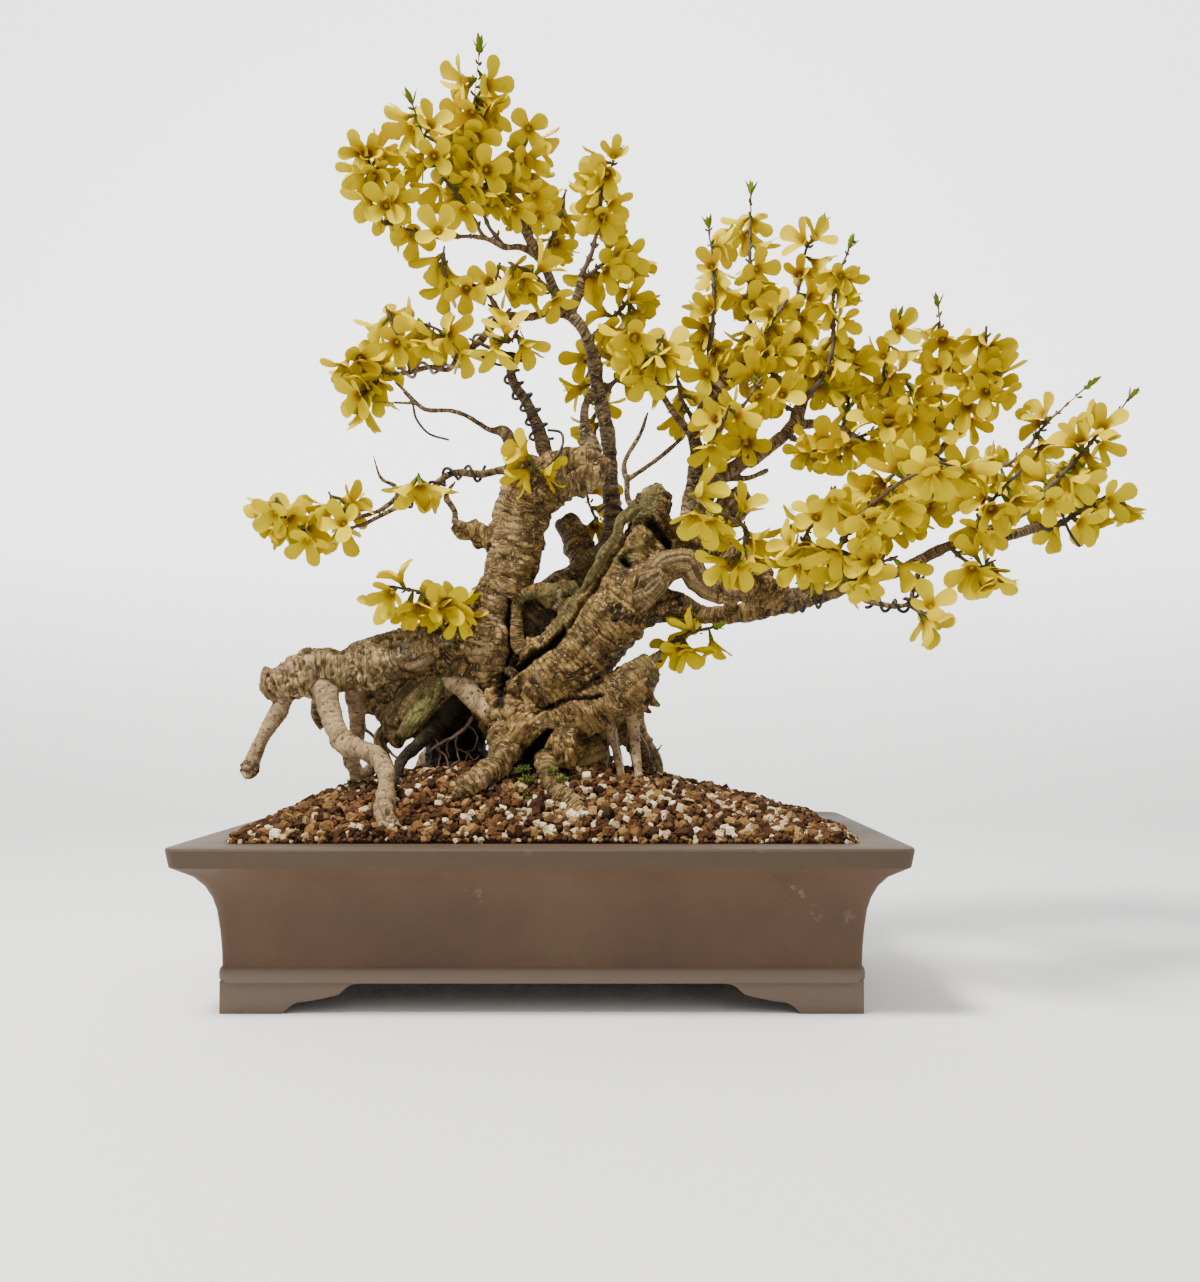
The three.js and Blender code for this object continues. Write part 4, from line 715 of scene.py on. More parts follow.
# What some of the limbs are: bare wood, the painted half shade or full shade of a hollow, or thick corky
# bark.
TRUNK_KINDS = {
    "dead": ("ridge_low", "ridge_high", "ridge_spike", "ridge_sliver", "dead_knob", "swirl_branch",
             "swirl_root"),
    "half_shade": ("hollow_shadow",),
    "shade": ("crevice_back", "cavity_back"),
    "corky": ("broken_block", "eye_boss", "ledge_left", "ledge_middle", "ledge_right", "crevice_lump",
              "crevice_lump_low", "thin_rim", "base_knot", "shoulder_ledge", "upper_shoulder",
              "swirl_bark"),
}
# Hollows and cracks cut in from the front, deepest in their middle: depth in metres, the nearest and farthest
# place behind the trunk's plane that is cut, and a line of [across, down, half width].
TRUNK_CUTS = [
    (0.012, -16, 45, [(536, 650, 10), (545, 632, 16), (558, 615, 14)]),
    (0.016, -60, 30, [(510, 600, 2), (507, 620, 3), (509, 652, 4), (506, 664, 5), (501, 688, 7),
        (500, 706, 8)]),
    (0.024, -80, 10, [(506, 678, 6), (520, 665, 7), (536, 655, 7), (551, 645, 6), (564, 628, 4)]),
    (0.009, -70, 10, [(536, 716, 4), (552, 706, 5), (570, 700, 4), (602, 695, 2)]),
    (0.030, -90, 20, [(549, 732, 5), (538, 744, 9), (527, 760, 12), (521, 778, 14), (520, 798, 15)]),
    (0.016, -60, 8, [(650, 522, 8), (660, 532, 9), (668, 545, 7)]),
    (0.014, -70, 0, [(623, 560, 5.5), (628, 565, 6)]),
    (0.008, -60, 0, [(560, 640, 3), (586, 600, 4), (604, 572, 4), (622, 544, 4), (632, 524, 3)]),
    (0.004, -60, 0, [(612, 622, 2), (640, 612, 3), (662, 600, 3), (680, 596, 2)]),
    (0.003, -60, 0, [(566, 664, 2), (590, 640, 2), (600, 632, 2)]),
    (0.003, -60, 0, [(590, 668, 2), (612, 650, 2), (634, 640, 2)]),
    (0.003, -60, 10, [(500, 575, 2), (520, 578, 2), (534, 572, 2)]),
    (0.003, -60, 10, [(548, 500, 2), (560, 490, 2), (572, 480, 3)]),
    (0.006, -60, 10, [(566, 470, 5), (576, 466, 4)]),
]
# Burls, scars and ridges that stand out: height in metres and the same kind of line.
TRUNK_LUMPS = [
    (0.0035, -60, 20, [(505, 672, 8), (515, 686, 9)]),
    (0.0040, -60, 30, [(548, 590, 9), (562, 594, 8)]),
    (0.0040, -60, 30, [(528, 640, 8), (532, 648, 7)]),
    (0.0050, -80, 10, [(735, 512, 6), (728, 500, 5)]),
    (0.0030, -90, 0, [(644, 548, 8), (636, 534, 6)]),
    (0.0040, -90, 0, [(575, 765, 14), (585, 750, 10)]),
    (0.0045, -90, 0, [(560, 776, 8), (548, 770, 6)]),
    (0.0030, -90, 0, [(560, 755, 14), (590, 762, 12)]),
    (0.0035, -90, 0, [(500, 735, 12), (530, 725, 14)]),
    (0.0040, -60, 10, [(640, 575, 12), (648, 590, 8)]),
    (0.0030, -90, 10, [(596, 474, 9), (604, 484, 8)]),
    (0.0030, -60, 10, [(488, 620, 12), (470, 640, 10)]),
    (0.0035, -70, 0, [(645, 668, 12), (650, 680, 10)]),
    (0.0030, -70, 0, [(575, 706, 10), (590, 714, 8)]),
]
# Where moss, grey lichen, pale fresh wood, tan bark lightened partly as painted light, and painted shade on
# the leaning trunk show: strength and a line of [across, down, half width].
TRUNK_GROWTHS = {
    "moss": [(1.0, [(640, 660, 20), (656, 682, 18)]),
        (1.3, [(518, 602, 14), (548, 596, 22), (578, 590, 20)]),
        (1.2, [(556, 630, 12), (604, 550, 14), (634, 505, 14)]), (1.1, [(655, 495, 26), (640, 520, 18)]),
        (1.0, [(650, 540, 26), (620, 560, 22)]), (1.2, [(545, 772, 10), (568, 780, 10)]),
        (0.6, [(548, 690, 20), (610, 690, 16)]), (0.6, [(690, 560, 26), (760, 575, 24)]),
        (0.5, [(590, 600, 20), (620, 590, 20)])],
    "lichen": [(0.60, [(534, 662, 9), (540, 680, 14), (547, 702, 11)]),
        (0.60, [(507, 668, 10), (516, 690, 10)]), (0.65, [(556, 588, 6), (562, 606, 9)]),
        (0.7, [(486, 704, 8), (502, 722, 8)]), (0.5, [(512, 602, 5), (514, 636, 6)]),
        (0.7, [(650, 524, 6), (656, 528, 5)]), (0.5, [(775, 585, 9), (790, 592, 8)]),
        (0.5, [(560, 750, 9), (590, 758, 8)])],
    "fresh": [(0.9, [(728, 590, 7), (746, 592, 6)]), (0.5, [(500, 694, 7), (508, 700, 6)])],
    # Tan bark, lightened partly as painted light where light falls most.
    "lit_tan": [(0.55, [(500, 590, 16), (486, 630, 26), (478, 670, 26)]),
        (0.5, [(560, 480, 26), (590, 480, 20)]), (0.5, [(660, 575, 22), (700, 560, 20), (740, 570, 18)]),
        (0.25, [(510, 500, 30), (506, 560, 30)])],
    # Painted shade over the leaning trunk.
    "painted_shade": [(0.75, [(570, 720, 34), (620, 650, 44), (680, 590, 24)]),
        (0.6, [(600, 700, 40), (650, 650, 40)]), (0.5, [(548, 740, 26), (600, 760, 30)])],
}


def finished_path(points, radii):
    """A path of points and radii with its running lengths."""
    lengths = np.concatenate([[0], np.cumsum(np.linalg.norm(np.diff(points, axis=0), axis=1))])
    return points, radii, lengths


def measured_path(readings):
    """The points, radii and running lengths of a limb's readings."""
    points, radii = zip(*[place(reading) for reading in readings])
    return finished_path(np.array(points), np.array(radii))


def rounded_path(points, radii, lengths, step):
    """The same path as a smooth curve through its points, in short steps."""
    values = np.column_stack([points, radii])
    if len(values) == 2:
        share = np.linspace(0, 1, max(2, int(lengths[-1] / step)))[:, None]
        rows = values[0] + (values[1] - values[0]) * share
        return rows[:, :3], np.maximum(rows[:, 3], THINNEST)
    tangents = np.gradient(values, lengths, axis=0)
    rows = []
    for i in range(len(values) - 1):
        span = lengths[i + 1] - lengths[i]
        count = max(1, round(span / step))
        for k in range(count):
            t = k / count
            rows.append((2 * t ** 3 - 3 * t ** 2 + 1) * values[i]
                        + (t ** 3 - 2 * t ** 2 + t) * span * tangents[i]
                        + (3 * t ** 2 - 2 * t ** 3) * values[i + 1]
                        + (t ** 3 - t ** 2) * span * tangents[i + 1])
    rows.append(values[-1])
    rows = np.array(rows)
    return rows[:, :3], np.maximum(rows[:, 3], THINNEST)


def limb_paths(limbs):
    """Smooth paths through the readings of each limb."""
    return {name: rounded_path(*measured_path(readings), PATH_STEP) for name, readings in limbs.items()}


def tubes(name, paths, sides):
    """Round tubes along smooth paths, each a spline of one curve that is made a mesh."""
    bpy.ops.object.select_all(action="DESELECT")
    bpy.ops.curve.primitive_nurbs_path_add()
    strands = bpy.context.object
    strands.name = name
    strands.data.splines.clear()
    strands.data.bevel_depth = 1
    strands.data.bevel_resolution = (sides - 4) // 2
    strands.data.use_fill_caps = True
    strands.data.twist_mode = "MINIMUM"
    for points, radii in paths:
        spline = strands.data.splines.new("POLY")
        spline.points.add(len(points) - 1)
        spline.points.foreach_set("co", np.column_stack([points, np.ones(len(points))]).ravel())
        spline.points.foreach_set("radius", radii)
    bpy.ops.object.convert(target="MESH")
    bpy.ops.object.location_clear()
    strands = bpy.context.object
    strands.data.name = name
    bpy.ops.object.shade_smooth()
    return strands


def remeshed_skin(name, paths, sides, voxel, rounds):
    """The limbs' tubes joined into one skin by a remesh, and smoothed a few rounds."""
    skin = tubes(name, paths.values(), sides)
    apply_modifier(skin, "REMESH", mode="VOXEL", voxel_size=voxel, adaptivity=0)
    apply_modifier(skin, "SMOOTH", iterations=rounds, factor=0.5)
    return skin


def limb_segments(paths):
    """Every straight bit of the limbs: its start, run, radii, number and two directions across it."""
    starts, ends, start_radii, end_radii, runs, numbers = [], [], [], [], [], []
    for number, (points, radii) in enumerate(paths):
        steps = np.linalg.norm(np.diff(points, axis=0), axis=1)
        starts.append(points[:-1])
        ends.append(points[1:])
        start_radii.append(radii[:-1])
        end_radii.append(radii[1:])
        runs.append(np.concatenate([[0], np.cumsum(steps)[:-1]]))
        numbers.append(np.full(len(steps), number))
    starts, ends = np.concatenate(starts), np.concatenate(ends)
    along = ends - starts
    lengths = np.linalg.norm(along, axis=1)
    along /= lengths[:, None]
    across = np.cross((0.0, 1.0, 0.0), along)
    across[np.linalg.norm(across, axis=1) < 1e-6] = (1.0, 0.0, 0.0)
    across /= np.linalg.norm(across, axis=1)[:, None]
    return {"start": starts, "along": along, "length": lengths, "radius": np.concatenate(start_radii),
            "end_radius": np.concatenate(end_radii), "run": np.concatenate(runs),
            "number": np.concatenate(numbers), "u": across, "v": np.cross(along, across)}


def nearest_limb(points, segments):
    """For each point the limb whose skin is nearest: its number, the way along and round it, its radius."""
    best = {"number": [], "run": [], "u": [], "v": [], "radius": []}
    for first in range(0, len(points), 3000):
        chunk = points[first:first + 3000]
        away = chunk[:, None, :] - segments["start"][None]
        share = np.clip(np.einsum("ijk,jk->ij", away, segments["along"]), 0, segments["length"])
        away -= share[..., None] * segments["along"][None]
        distance = np.sqrt(np.einsum("ijk,ijk->ij", away, away))
        part = share / segments["length"]
        radius = segments["radius"] + part * (segments["end_radius"] - segments["radius"])
        pick = np.argmin(distance - radius, axis=1)
        rows = np.arange(len(chunk))
        direction = away[rows, pick] / np.maximum(distance[rows, pick], 1e-9)[:, None]
        best["number"].append(segments["number"][pick])
        best["run"].append(segments["run"][pick] + share[rows, pick])
        best["u"].append(np.einsum("ij,ij->i", direction, segments["u"][pick]) * radius[rows, pick])
        best["v"].append(np.einsum("ij,ij->i", direction, segments["v"][pick]) * radius[rows, pick])
        best["radius"].append(radius[rows, pick])
    return {name: np.concatenate(values) for name, values in best.items()}


def noise_at(points, scale, seed=0.0):
    """Smooth noise of about -1 to 1 at each point, with scale given as the size of its features."""
    scaled = points / scale + seed
    return np.array([noise.noise(Vector(point)) for point in scaled])


def near_line(across, down, line):
    """How near each seen place is to a line of [across, down, half width]: 1 on it, 0 beyond its width."""
    nearness = np.zeros(len(across))
    for (x1, y1, w1), (x2, y2, w2) in zip(line, line[1:]):
        dx, dy = x2 - x1, y2 - y1
        t = np.clip(((across - x1) * dx + (down - y1) * dy) / (dx * dx + dy * dy), 0, 1)
        gap = np.hypot(across - x1 - t * dx, down - y1 - t * dy)
        nearness = np.maximum(nearness, 1 - gap / (w1 + t * (w2 - w1)))
    nearness = np.clip(nearness, 0, 1)
    return nearness * nearness * (3 - 2 * nearness)


def worked_depth(seen, facing, works):
    """How deep or high each seen place is worked by the strongest of the cuts or lumps there."""
    across, down, behind = seen
    worked = np.zeros(len(across))
    for amount, nearest, farthest, line in works:
        there = near_line(across, down, line) * (behind > nearest) * (behind < farthest)
        worked = np.maximum(worked, amount * there * facing)
    return worked


# How high the skin's own forms stand and how large each kind is, in metres. Folds run round a limb, with
# finer lines between them, and streaks run along bare wood.
SWELL_SIZE = 0.030
SWELL_HEIGHT = 0.0036
LUMP_SIZE = 0.012
LUMP_HEIGHT = 0.0026
BURR_SIZE = 0.0075
BURR_HEIGHT = 0.0048
CRUST_SIZE = 0.0062
CRUST_HEIGHT = 0.0030
FOLD_SIZE = (0.0078, 0.032, 0.032)
LINE_SIZE = (0.0044, 0.020, 0.020)
STREAK_SIZE = (0.034, 0.0046, 0.0046)
STREAK_HEIGHT = 0.0026
THICK_LIMB = 0.016
# How dark the painted half shade of a hollow is, as a share of full painted shade.
HALF_SHADE_SHARE = 0.68


def skin_arrays(piece):
    """The points and normals of a piece's mesh."""
    count = len(piece.data.vertices)
    points = np.empty(count * 3)
    normals = np.empty(count * 3)
    piece.data.vertices.foreach_get("co", points)
    piece.data.vertices.foreach_get("normal", normals)
    return points.reshape(-1, 3), normals.reshape(-1, 3)


def worked_skin(skin, paths, kinds, wrinkle, cuts, lumps):
    """Presses hollows, lumps and wrinkles into a remeshed skin and notes what each place is and its painted
    shade.
    """
    names = list(paths)
    points, normals = skin_arrays(skin)
    near = nearest_limb(points, limb_segments([paths[name] for name in names]))
    number = near["number"]
    plain = np.zeros(len(points))
    share = {kind: np.isin(number, [names.index(name) for name in limbs]).astype(float)
             for kind, limbs in kinds.items()}
    dead, root, corky = share.get("dead", plain), share.get("root", plain), share.get("corky", plain)
    # Limbs in a hollow get painted shade, half or full, only on the sides that face the view.
    shade = share.get("shade", plain) + HALF_SHADE_SHARE * share.get("half_shade", plain)
    shade = shade * np.clip(1.15 - 1.7 * normals[:, 1], 0, 1)
    waver = 0.0060 * noise_at(points, 0.024, 31.0) + 0.0022 * noise_at(points, 0.008, 13.0)
    grain = np.column_stack([near["run"] + number * 0.0731 + waver, near["u"], near["v"]])
    size = np.clip(near["radius"] / THICK_LIMB, 0.12, 1)
    facing = np.clip(-normals[:, 1] * 1.6 + 0.35, 0, 1)
    seen = (*seen_at(points), (points[:, 1] - POT_Y) * 1000)
    cut = worked_depth(seen, facing, cuts)
    raised = worked_depth(seen, facing, lumps)
    swell = noise_at(points, SWELL_SIZE, 3.1)
    lump = noise_at(points, LUMP_SIZE, 7.7)
    burrs = np.clip(noise_at(points, BURR_SIZE, 15.2) - 0.12, 0, 1)
    folds = noise_at(grain / FOLD_SIZE, 1, 11.3)
    lines = noise_at(grain / LINE_SIZE, 1, 2.9)
    streaks = noise_at(grain / STREAK_SIZE, 1, 5.5)
    strength = np.clip(0.75 + 1.0 * noise_at(points, 0.035, 21.0), 0.25, 1.3)
    wrinkles = strength * (0.55 - 2.3 * np.abs(folds) + 0.40 - 1.8 * np.abs(lines))
    crust = CRUST_HEIGHT * (0.45 - 1.9 * np.abs(noise_at(points, CRUST_SIZE, 44.0))) * size
    bark = (SWELL_HEIGHT * swell + LUMP_HEIGHT * lump + BURR_HEIGHT * burrs) * size
    bark += wrinkle * size * wrinkles * (1 - 0.75 * corky) + crust * (0.25 + 0.75 * corky)
    smooth_root = (0.0034 * swell + 0.0036 * lump + 0.0046 * burrs) * size
    smooth_root += 0.0002 * np.sin(near["run"] * 1500 + 5 * swell + 3 * lump)
    split = 0.0030 * swell * size + 0.0034 * np.maximum(size, 0.5) * (0.45 * lump + 0.6 * burrs)
    split += STREAK_HEIGHT * np.maximum(size, 0.5) * (0.5 - 1.7 * np.abs(streaks))
    relief = bark * (1 - root) * (1 - dead) + smooth_root * root * (1 - dead) + split * dead
    moved = points + normals * (relief + raised)[:, None]
    moved[:, 1] += cut
    skin.data.vertices.foreach_set("co", moved.ravel())
    skin.data.update()
    skin.data.polygons.foreach_set("use_smooth", [True] * len(skin.data.polygons))
    vectors = skin.data.attributes.new("grain", "FLOAT_VECTOR", "POINT")
    vectors.data.foreach_set("vector", grain.ravel())
    set_attribute(skin, "dead", dead)
    set_attribute(skin, "root", root)
    # Deep cuts and the shaded limbs are darkened as painted shade.
    hollow_shade = np.maximum((cut - 0.003) / 0.009, shade * (0.95 + 0.2 * lump))
    set_attribute(skin, "hollow_shade", np.clip(hollow_shade, 0, 1))
    # The crest sets the bark's colour: dark in folds and cracks as painted shade, pale on crests and burrs.
    folded_skin = 0.40 + wrinkles * 0.62 * (1 - 0.8 * corky) + 90 * crust * corky
    crests = np.where(dead > 0.5, 0.75 - 1.5 * np.abs(streaks), folded_skin)
    set_attribute(skin, "crest", np.clip(crests + 0.25 * lump + 0.8 * burrs, 0, 1))
    return seen


def set_growths(skin, seen, growths):
    """Notes how strongly each growth, weathering, painted light or painted shade shows at each place of the
    skin.
    """
    across, down, behind = seen
    for name, spots in growths.items():
        amount = np.zeros(len(across))
        for strength, line in spots:
            amount = np.maximum(amount, strength * near_line(across, down, line) * (behind < 30))
        set_attribute(skin, name, amount)


# The bark's colours: a ramp from the bottom of a crack, darkened as painted shade, to the crest beside it, or
# from dark to pale patches.
LIT_TAN_BARK = [(0.26, (0.050, 0.027, 0.008)), (0.38, (0.150, 0.090, 0.034)), (0.53, (0.340, 0.225, 0.098)),
              (0.70, (0.560, 0.400, 0.205))]
ROOT_SKIN = [(0.32, (0.130, 0.078, 0.036)), (0.44, (0.262, 0.168, 0.078)), (0.60, (0.436, 0.305, 0.165))]
DEADWOOD = [(0.34, (0.055, 0.030, 0.009)), (0.46, (0.180, 0.110, 0.038)), (0.60, (0.340, 0.225, 0.090)),
            (0.74, (0.48, 0.36, 0.19))]
FRESH_WOOD = [(0.35, (0.22, 0.115, 0.055)), (0.65, (0.46, 0.30, 0.18))]
MOSS_FILM = [(0.38, (0.022, 0.019, 0.004)), (0.50, (0.092, 0.076, 0.013)), (0.64, (0.235, 0.190, 0.042))]
ALGAE_FILM = [(0.36, (0.060, 0.047, 0.009)), (0.50, (0.250, 0.218, 0.050)), (0.64, (0.540, 0.510, 0.190))]
LICHEN_CRUST = [(0.36, (0.10, 0.080, 0.040)), (0.50, (0.27, 0.225, 0.130)), (0.64, (0.43, 0.375, 0.245))]
# Painted shade laid over the leaning trunk.
PAINTED_SHADE_TINT = (0.62, 0.56, 0.46)
# Pale bark flakes that are partly painted glints.
FLAKE_GLINT_TAN = (0.52, 0.37, 0.16)
PIT_BROWN = (0.045, 0.024, 0.012)
# Painted shade in the splits of bare wood.
SPLIT_SHADE_BROWN = (0.030, 0.018, 0.006)
# Painted shade: the black of hollows.
HOLLOW_SHADE_BLACK = (0.010, 0.007, 0.003)
TRUNK_TONES = ((0.362, 0.224, 0.068), (0.165, 0.091, 0.019), (0.062, 0.030, 0.005))


def grain_noise(tree, scale, detail, roughness=0.6, distortion=0.0):
    """Noise that follows the limb: scale along it and round it, in features per metre."""
    grain = new_node(tree, "ShaderNodeAttribute", attribute_name="grain")
    mapping = new_node(tree, "ShaderNodeMapping", {"Scale": scale})
    texture = new_node(tree, "ShaderNodeTexNoise", {"Scale": 1, "Detail": detail, "Roughness": roughness,
                                                    "Distortion": distortion})
    give(mapping, "Vector", grain.outputs["Vector"])
    give(texture, "Vector", mapping.outputs["Vector"])
    return texture.outputs["Fac"]


def cracked(factor, width):
    """Noise folded at its middle: 0 in a crack and 1 between cracks, which are as wide as given."""
    return value_ramp(calculated("ABSOLUTE", plus(factor, -0.5), 0), 0, width, 0, 1)


def bark_material(name, light, middle, dark):
    """Wrinkled bark with deadwood, roots, moss, lichen, fresh wood, painted light and shade as the skin's
    attributes say.
    """
    material, tree, shader = node_material(name)
    crest = attribute_value(tree, "crest")
    smooth_skin = attribute_value(tree, "root")
    bare_wood = attribute_value(tree, "dead")
    long_cracks = cracked(grain_noise(tree, (270, 34, 34), 2, 0.6, 0.5), 0.090)
    short_cracks = cracked(grain_noise(tree, (480, 80, 80), 3, 0.6, 0.5), 0.12)
    scales = grain_noise(tree, (520, 190, 190), 4, 0.7, 0.4)
    relief = plus(plus(times(long_cracks, 0.42), times(short_cracks, 0.22)), times(scales, 0.36))
    height = plus(times(crest, 0.38), times(relief, 0.62))
    # Crack bottoms are darkened as painted shade.
    crack_shade = tuple(0.16 * value for value in dark)
    bark = colour_ramp(height, [(0.26, crack_shade), (0.38, dark), (0.52, middle), (0.70, light)])
    # Tan bark, lightened partly as painted light where light falls most.
    bark = mixed_colour(attribute_value(tree, "lit_tan"), bark, colour_ramp(height, LIT_TAN_BARK))
    # Painted shade over the leaning trunk.
    bark = mixed_colour(attribute_value(tree, "painted_shade"), bark, PAINTED_SHADE_TINT, "MULTIPLY")
    cloud = value_ramp(object_noise(tree, 30, 4), 0.42, 0.62, 0, 0.3)
    bark = mixed_colour(cloud, bark, tuple(0.75 * value for value in middle))
    # Pale flakes, partly painted glints.
    flakes = grain_noise(tree, (900, 300, 300), 2, 0.6, 0.3)
    bark = mixed_colour(value_ramp(flakes, 0.575, 0.65, 0, 0.8), bark, FLAKE_GLINT_TAN)
    pits = value_ramp(object_noise(tree, 330, 1, 0.5), 0.32, 0.37, 0.85, 0)
    root_stripes = grain_noise(tree, (240, 90, 90), 4, 0.65, 0.8)
    roots = mixed_colour(pits, colour_ramp(root_stripes, ROOT_SKIN), PIT_BROWN)
    bark = mixed_colour(times(smooth_skin, 0.9), bark, roots)
    streaks = grain_noise(tree, (16, 330, 330), 4, 0.6, 0.8)
    # Splits in bare wood are darkened as painted shade.
    wood = mixed_colour(value_ramp(crest, 0.1, 0.5, 0.6, 0), colour_ramp(streaks, DEADWOOD), SPLIT_SHADE_BROWN)
    skin = mixed_colour(bare_wood, bark, wood)
    skin = mixed_colour(attribute_value(tree, "fresh"), skin, colour_ramp(streaks, FRESH_WOOD))
    tufts = object_noise(tree, 240, 5, 0.75)
    mossy = value_ramp(times(attribute_value(tree, "moss"), tufts), 0.29, 0.50, 0, 0.8)
    skin = mixed_colour(mossy, skin, colour_ramp(tufts, MOSS_FILM))
    ripples = grain_noise(tree, (90, 210, 210), 4, 0.65, 1.6)
    skin = mixed_colour(attribute_value(tree, "algae"), skin, colour_ramp(ripples, ALGAE_FILM))
    grime = object_noise(tree, 420, 5, 0.75)
    crust = value_ramp(times(attribute_value(tree, "lichen"), tufts), 0.26, 0.42, 0, 0.9)
    skin = mixed_colour(crust, skin, colour_ramp(grime, LICHEN_CRUST))
    # Hollows go black as painted shade.
    skin = mixed_colour(times(attribute_value(tree, "hollow_shade"), 0.96), skin, HOLLOW_SHADE_BLACK)
    give(shader, "Base Color", skin)
    shader.inputs["Roughness"].default_value = 0.66
    shader.inputs["Specular IOR Level"].default_value = 0.28
    crack_height = times(relief, value_ramp(smooth_skin, 0, 1, 1, 0.3))
    crack_normal = bumped(crack_height, 0.0034, 1.0, bumped(grime, 0.0014, 0.9))
    give(shader, "Normal", bumped(times(streaks, bare_wood), 0.0024, 0.9, crack_normal))
    return material


trunk_paths = limb_paths({**TRUNK_LIMBS, **TRUNK_EXTRAS})
trunk_bark = remeshed_skin("trunk_bark", trunk_paths, 12, TRUNK_VOXEL, 3)
seen = worked_skin(trunk_bark, trunk_paths, TRUNK_KINDS, WRINKLE_HEIGHT, TRUNK_CUTS, TRUNK_LUMPS)
set_growths(trunk_bark, seen, TRUNK_GROWTHS)
coat(trunk_bark, bark_material("trunk_bark", *TRUNK_TONES))
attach(trunk_bark, "root")
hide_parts("tree")

# The roots. They stand clear of the soil: a long arm to the left held up on stilts, a slab of bare wood
# under it, thick roots that clasp the front of the mound, and thin ones at the right. Young roots are smooth
# and tan.
ROOT_VOXEL = 0.0015
ROOT_TONES = ((0.350, 0.226, 0.082), (0.165, 0.095, 0.025), (0.066, 0.034, 0.007))
ROOT_LIMBS = {
    "inner_root": [(452, 680, -22, 13), (468, 692, -30, 11), (482, 706, -36, 11), (500, 722, -38, 13)],
    "front_left_root": [(505, 730, -44, 18), (505, 750, -58, 15), (497, 766, -70, 13), (482, 776, -79, 13),
        (466, 786, -86, 10), (456, 800, -88, 7)],
    "front_right_root": [(545, 755, -56, 12), (549, 778, -76, 9.5), (560, 794, -92, 9.5),
        (575, 804, -100, 9), (592, 818, -108, 6)],
    "left_arm": [(478, 645, -5, 36), (448, 646, -6, 33), (420, 650, -8, 27), (396, 656, -10, 22),
        (372, 664, -12, 24), (345, 670, -12, 22), (318, 671, -14, 22), (295, 678, -16, 20),
        (278, 683, -18, 16), (268, 684, -18, 11)],
    "hanging_root": [(288, 690, -16, 10), (281, 706, -18, 9), (270, 725, -22, 8), (260, 742, -26, 7),
        (254, 756, -28, 8), (249, 770, -30, 9)],
    "stilt_root": [(324, 680, -20, 12), (329, 705, -30, 11), (337, 730, -42, 10.5), (348, 746, -54, 11),
        (363, 750, -64, 10), (378, 758, -74, 10), (386, 774, -86, 9), (386, 792, -98, 9),
        (385, 806, -106, 10), (384, 826, -118, 8), (382, 846, -126, 5)],
    "stilt_toe": [(388, 812, -108, 8), (398, 826, -116, 5), (412, 842, -122, 3.5)],
    "back_stilt": [(356, 690, 5, 10), (357, 716, 8, 9), (357, 740, 6, 8), (351, 758, 2, 8),
        (357, 774, -2, 9), (358, 800, -6, 8)],
    "shari_slab": [(460, 672, 4, 22), (436, 690, 4, 20), (414, 706, 2, 20), (400, 722, 0, 18),
        (397, 738, -2, 11), (399, 748, -2, 4)],
    "slab_left": [(420, 695, 12, 20), (392, 704, 14, 15), (368, 705, 14, 9), (352, 696, 8, 7)],
    "hook": [(326, 690, -4, 9), (317, 706, 0, 7), (316, 718, 0, 5), (323, 728, 0, 3.5)],
    "root_ball": [(486, 662, 8, 26), (474, 700, 30, 28), (458, 735, 40, 30), (462, 790, 40, 32)],
    "shaded_dark_root": [(466, 690, 0, 12), (440, 722, -8, 9), (416, 746, -24, 6.5), (401, 762, -40, 6),
        (396, 778, -52, 5.5), (395, 798, -58, 5)],
    "right_root_a": [(604, 706, -40, 8), (616, 748, -36, 4.5), (623, 784, -46, 4)],
    "right_root_b": [(630, 690, -42, 10), (634, 735, -36, 6), (637, 760, -46, 5), (640, 794, -56, 4)],
    "right_root_c": [(636, 684, -40, 10), (646, 738, -12, 4), (656, 754, -10, 4), (662, 790, -12, 3.5)],
    "right_root_d": [(600, 712, -10, 26), (640, 745, 18, 13), (648, 790, 18, 11)],
    "back_root": [(560, 730, 30, 26), (575, 750, 60, 18), (590, 768, 85, 11), (602, 796, 106, 7)],
    "back_left_root": [(470, 720, 35, 20), (445, 745, 62, 13), (425, 765, 84, 9), (410, 796, 100, 6)],
}
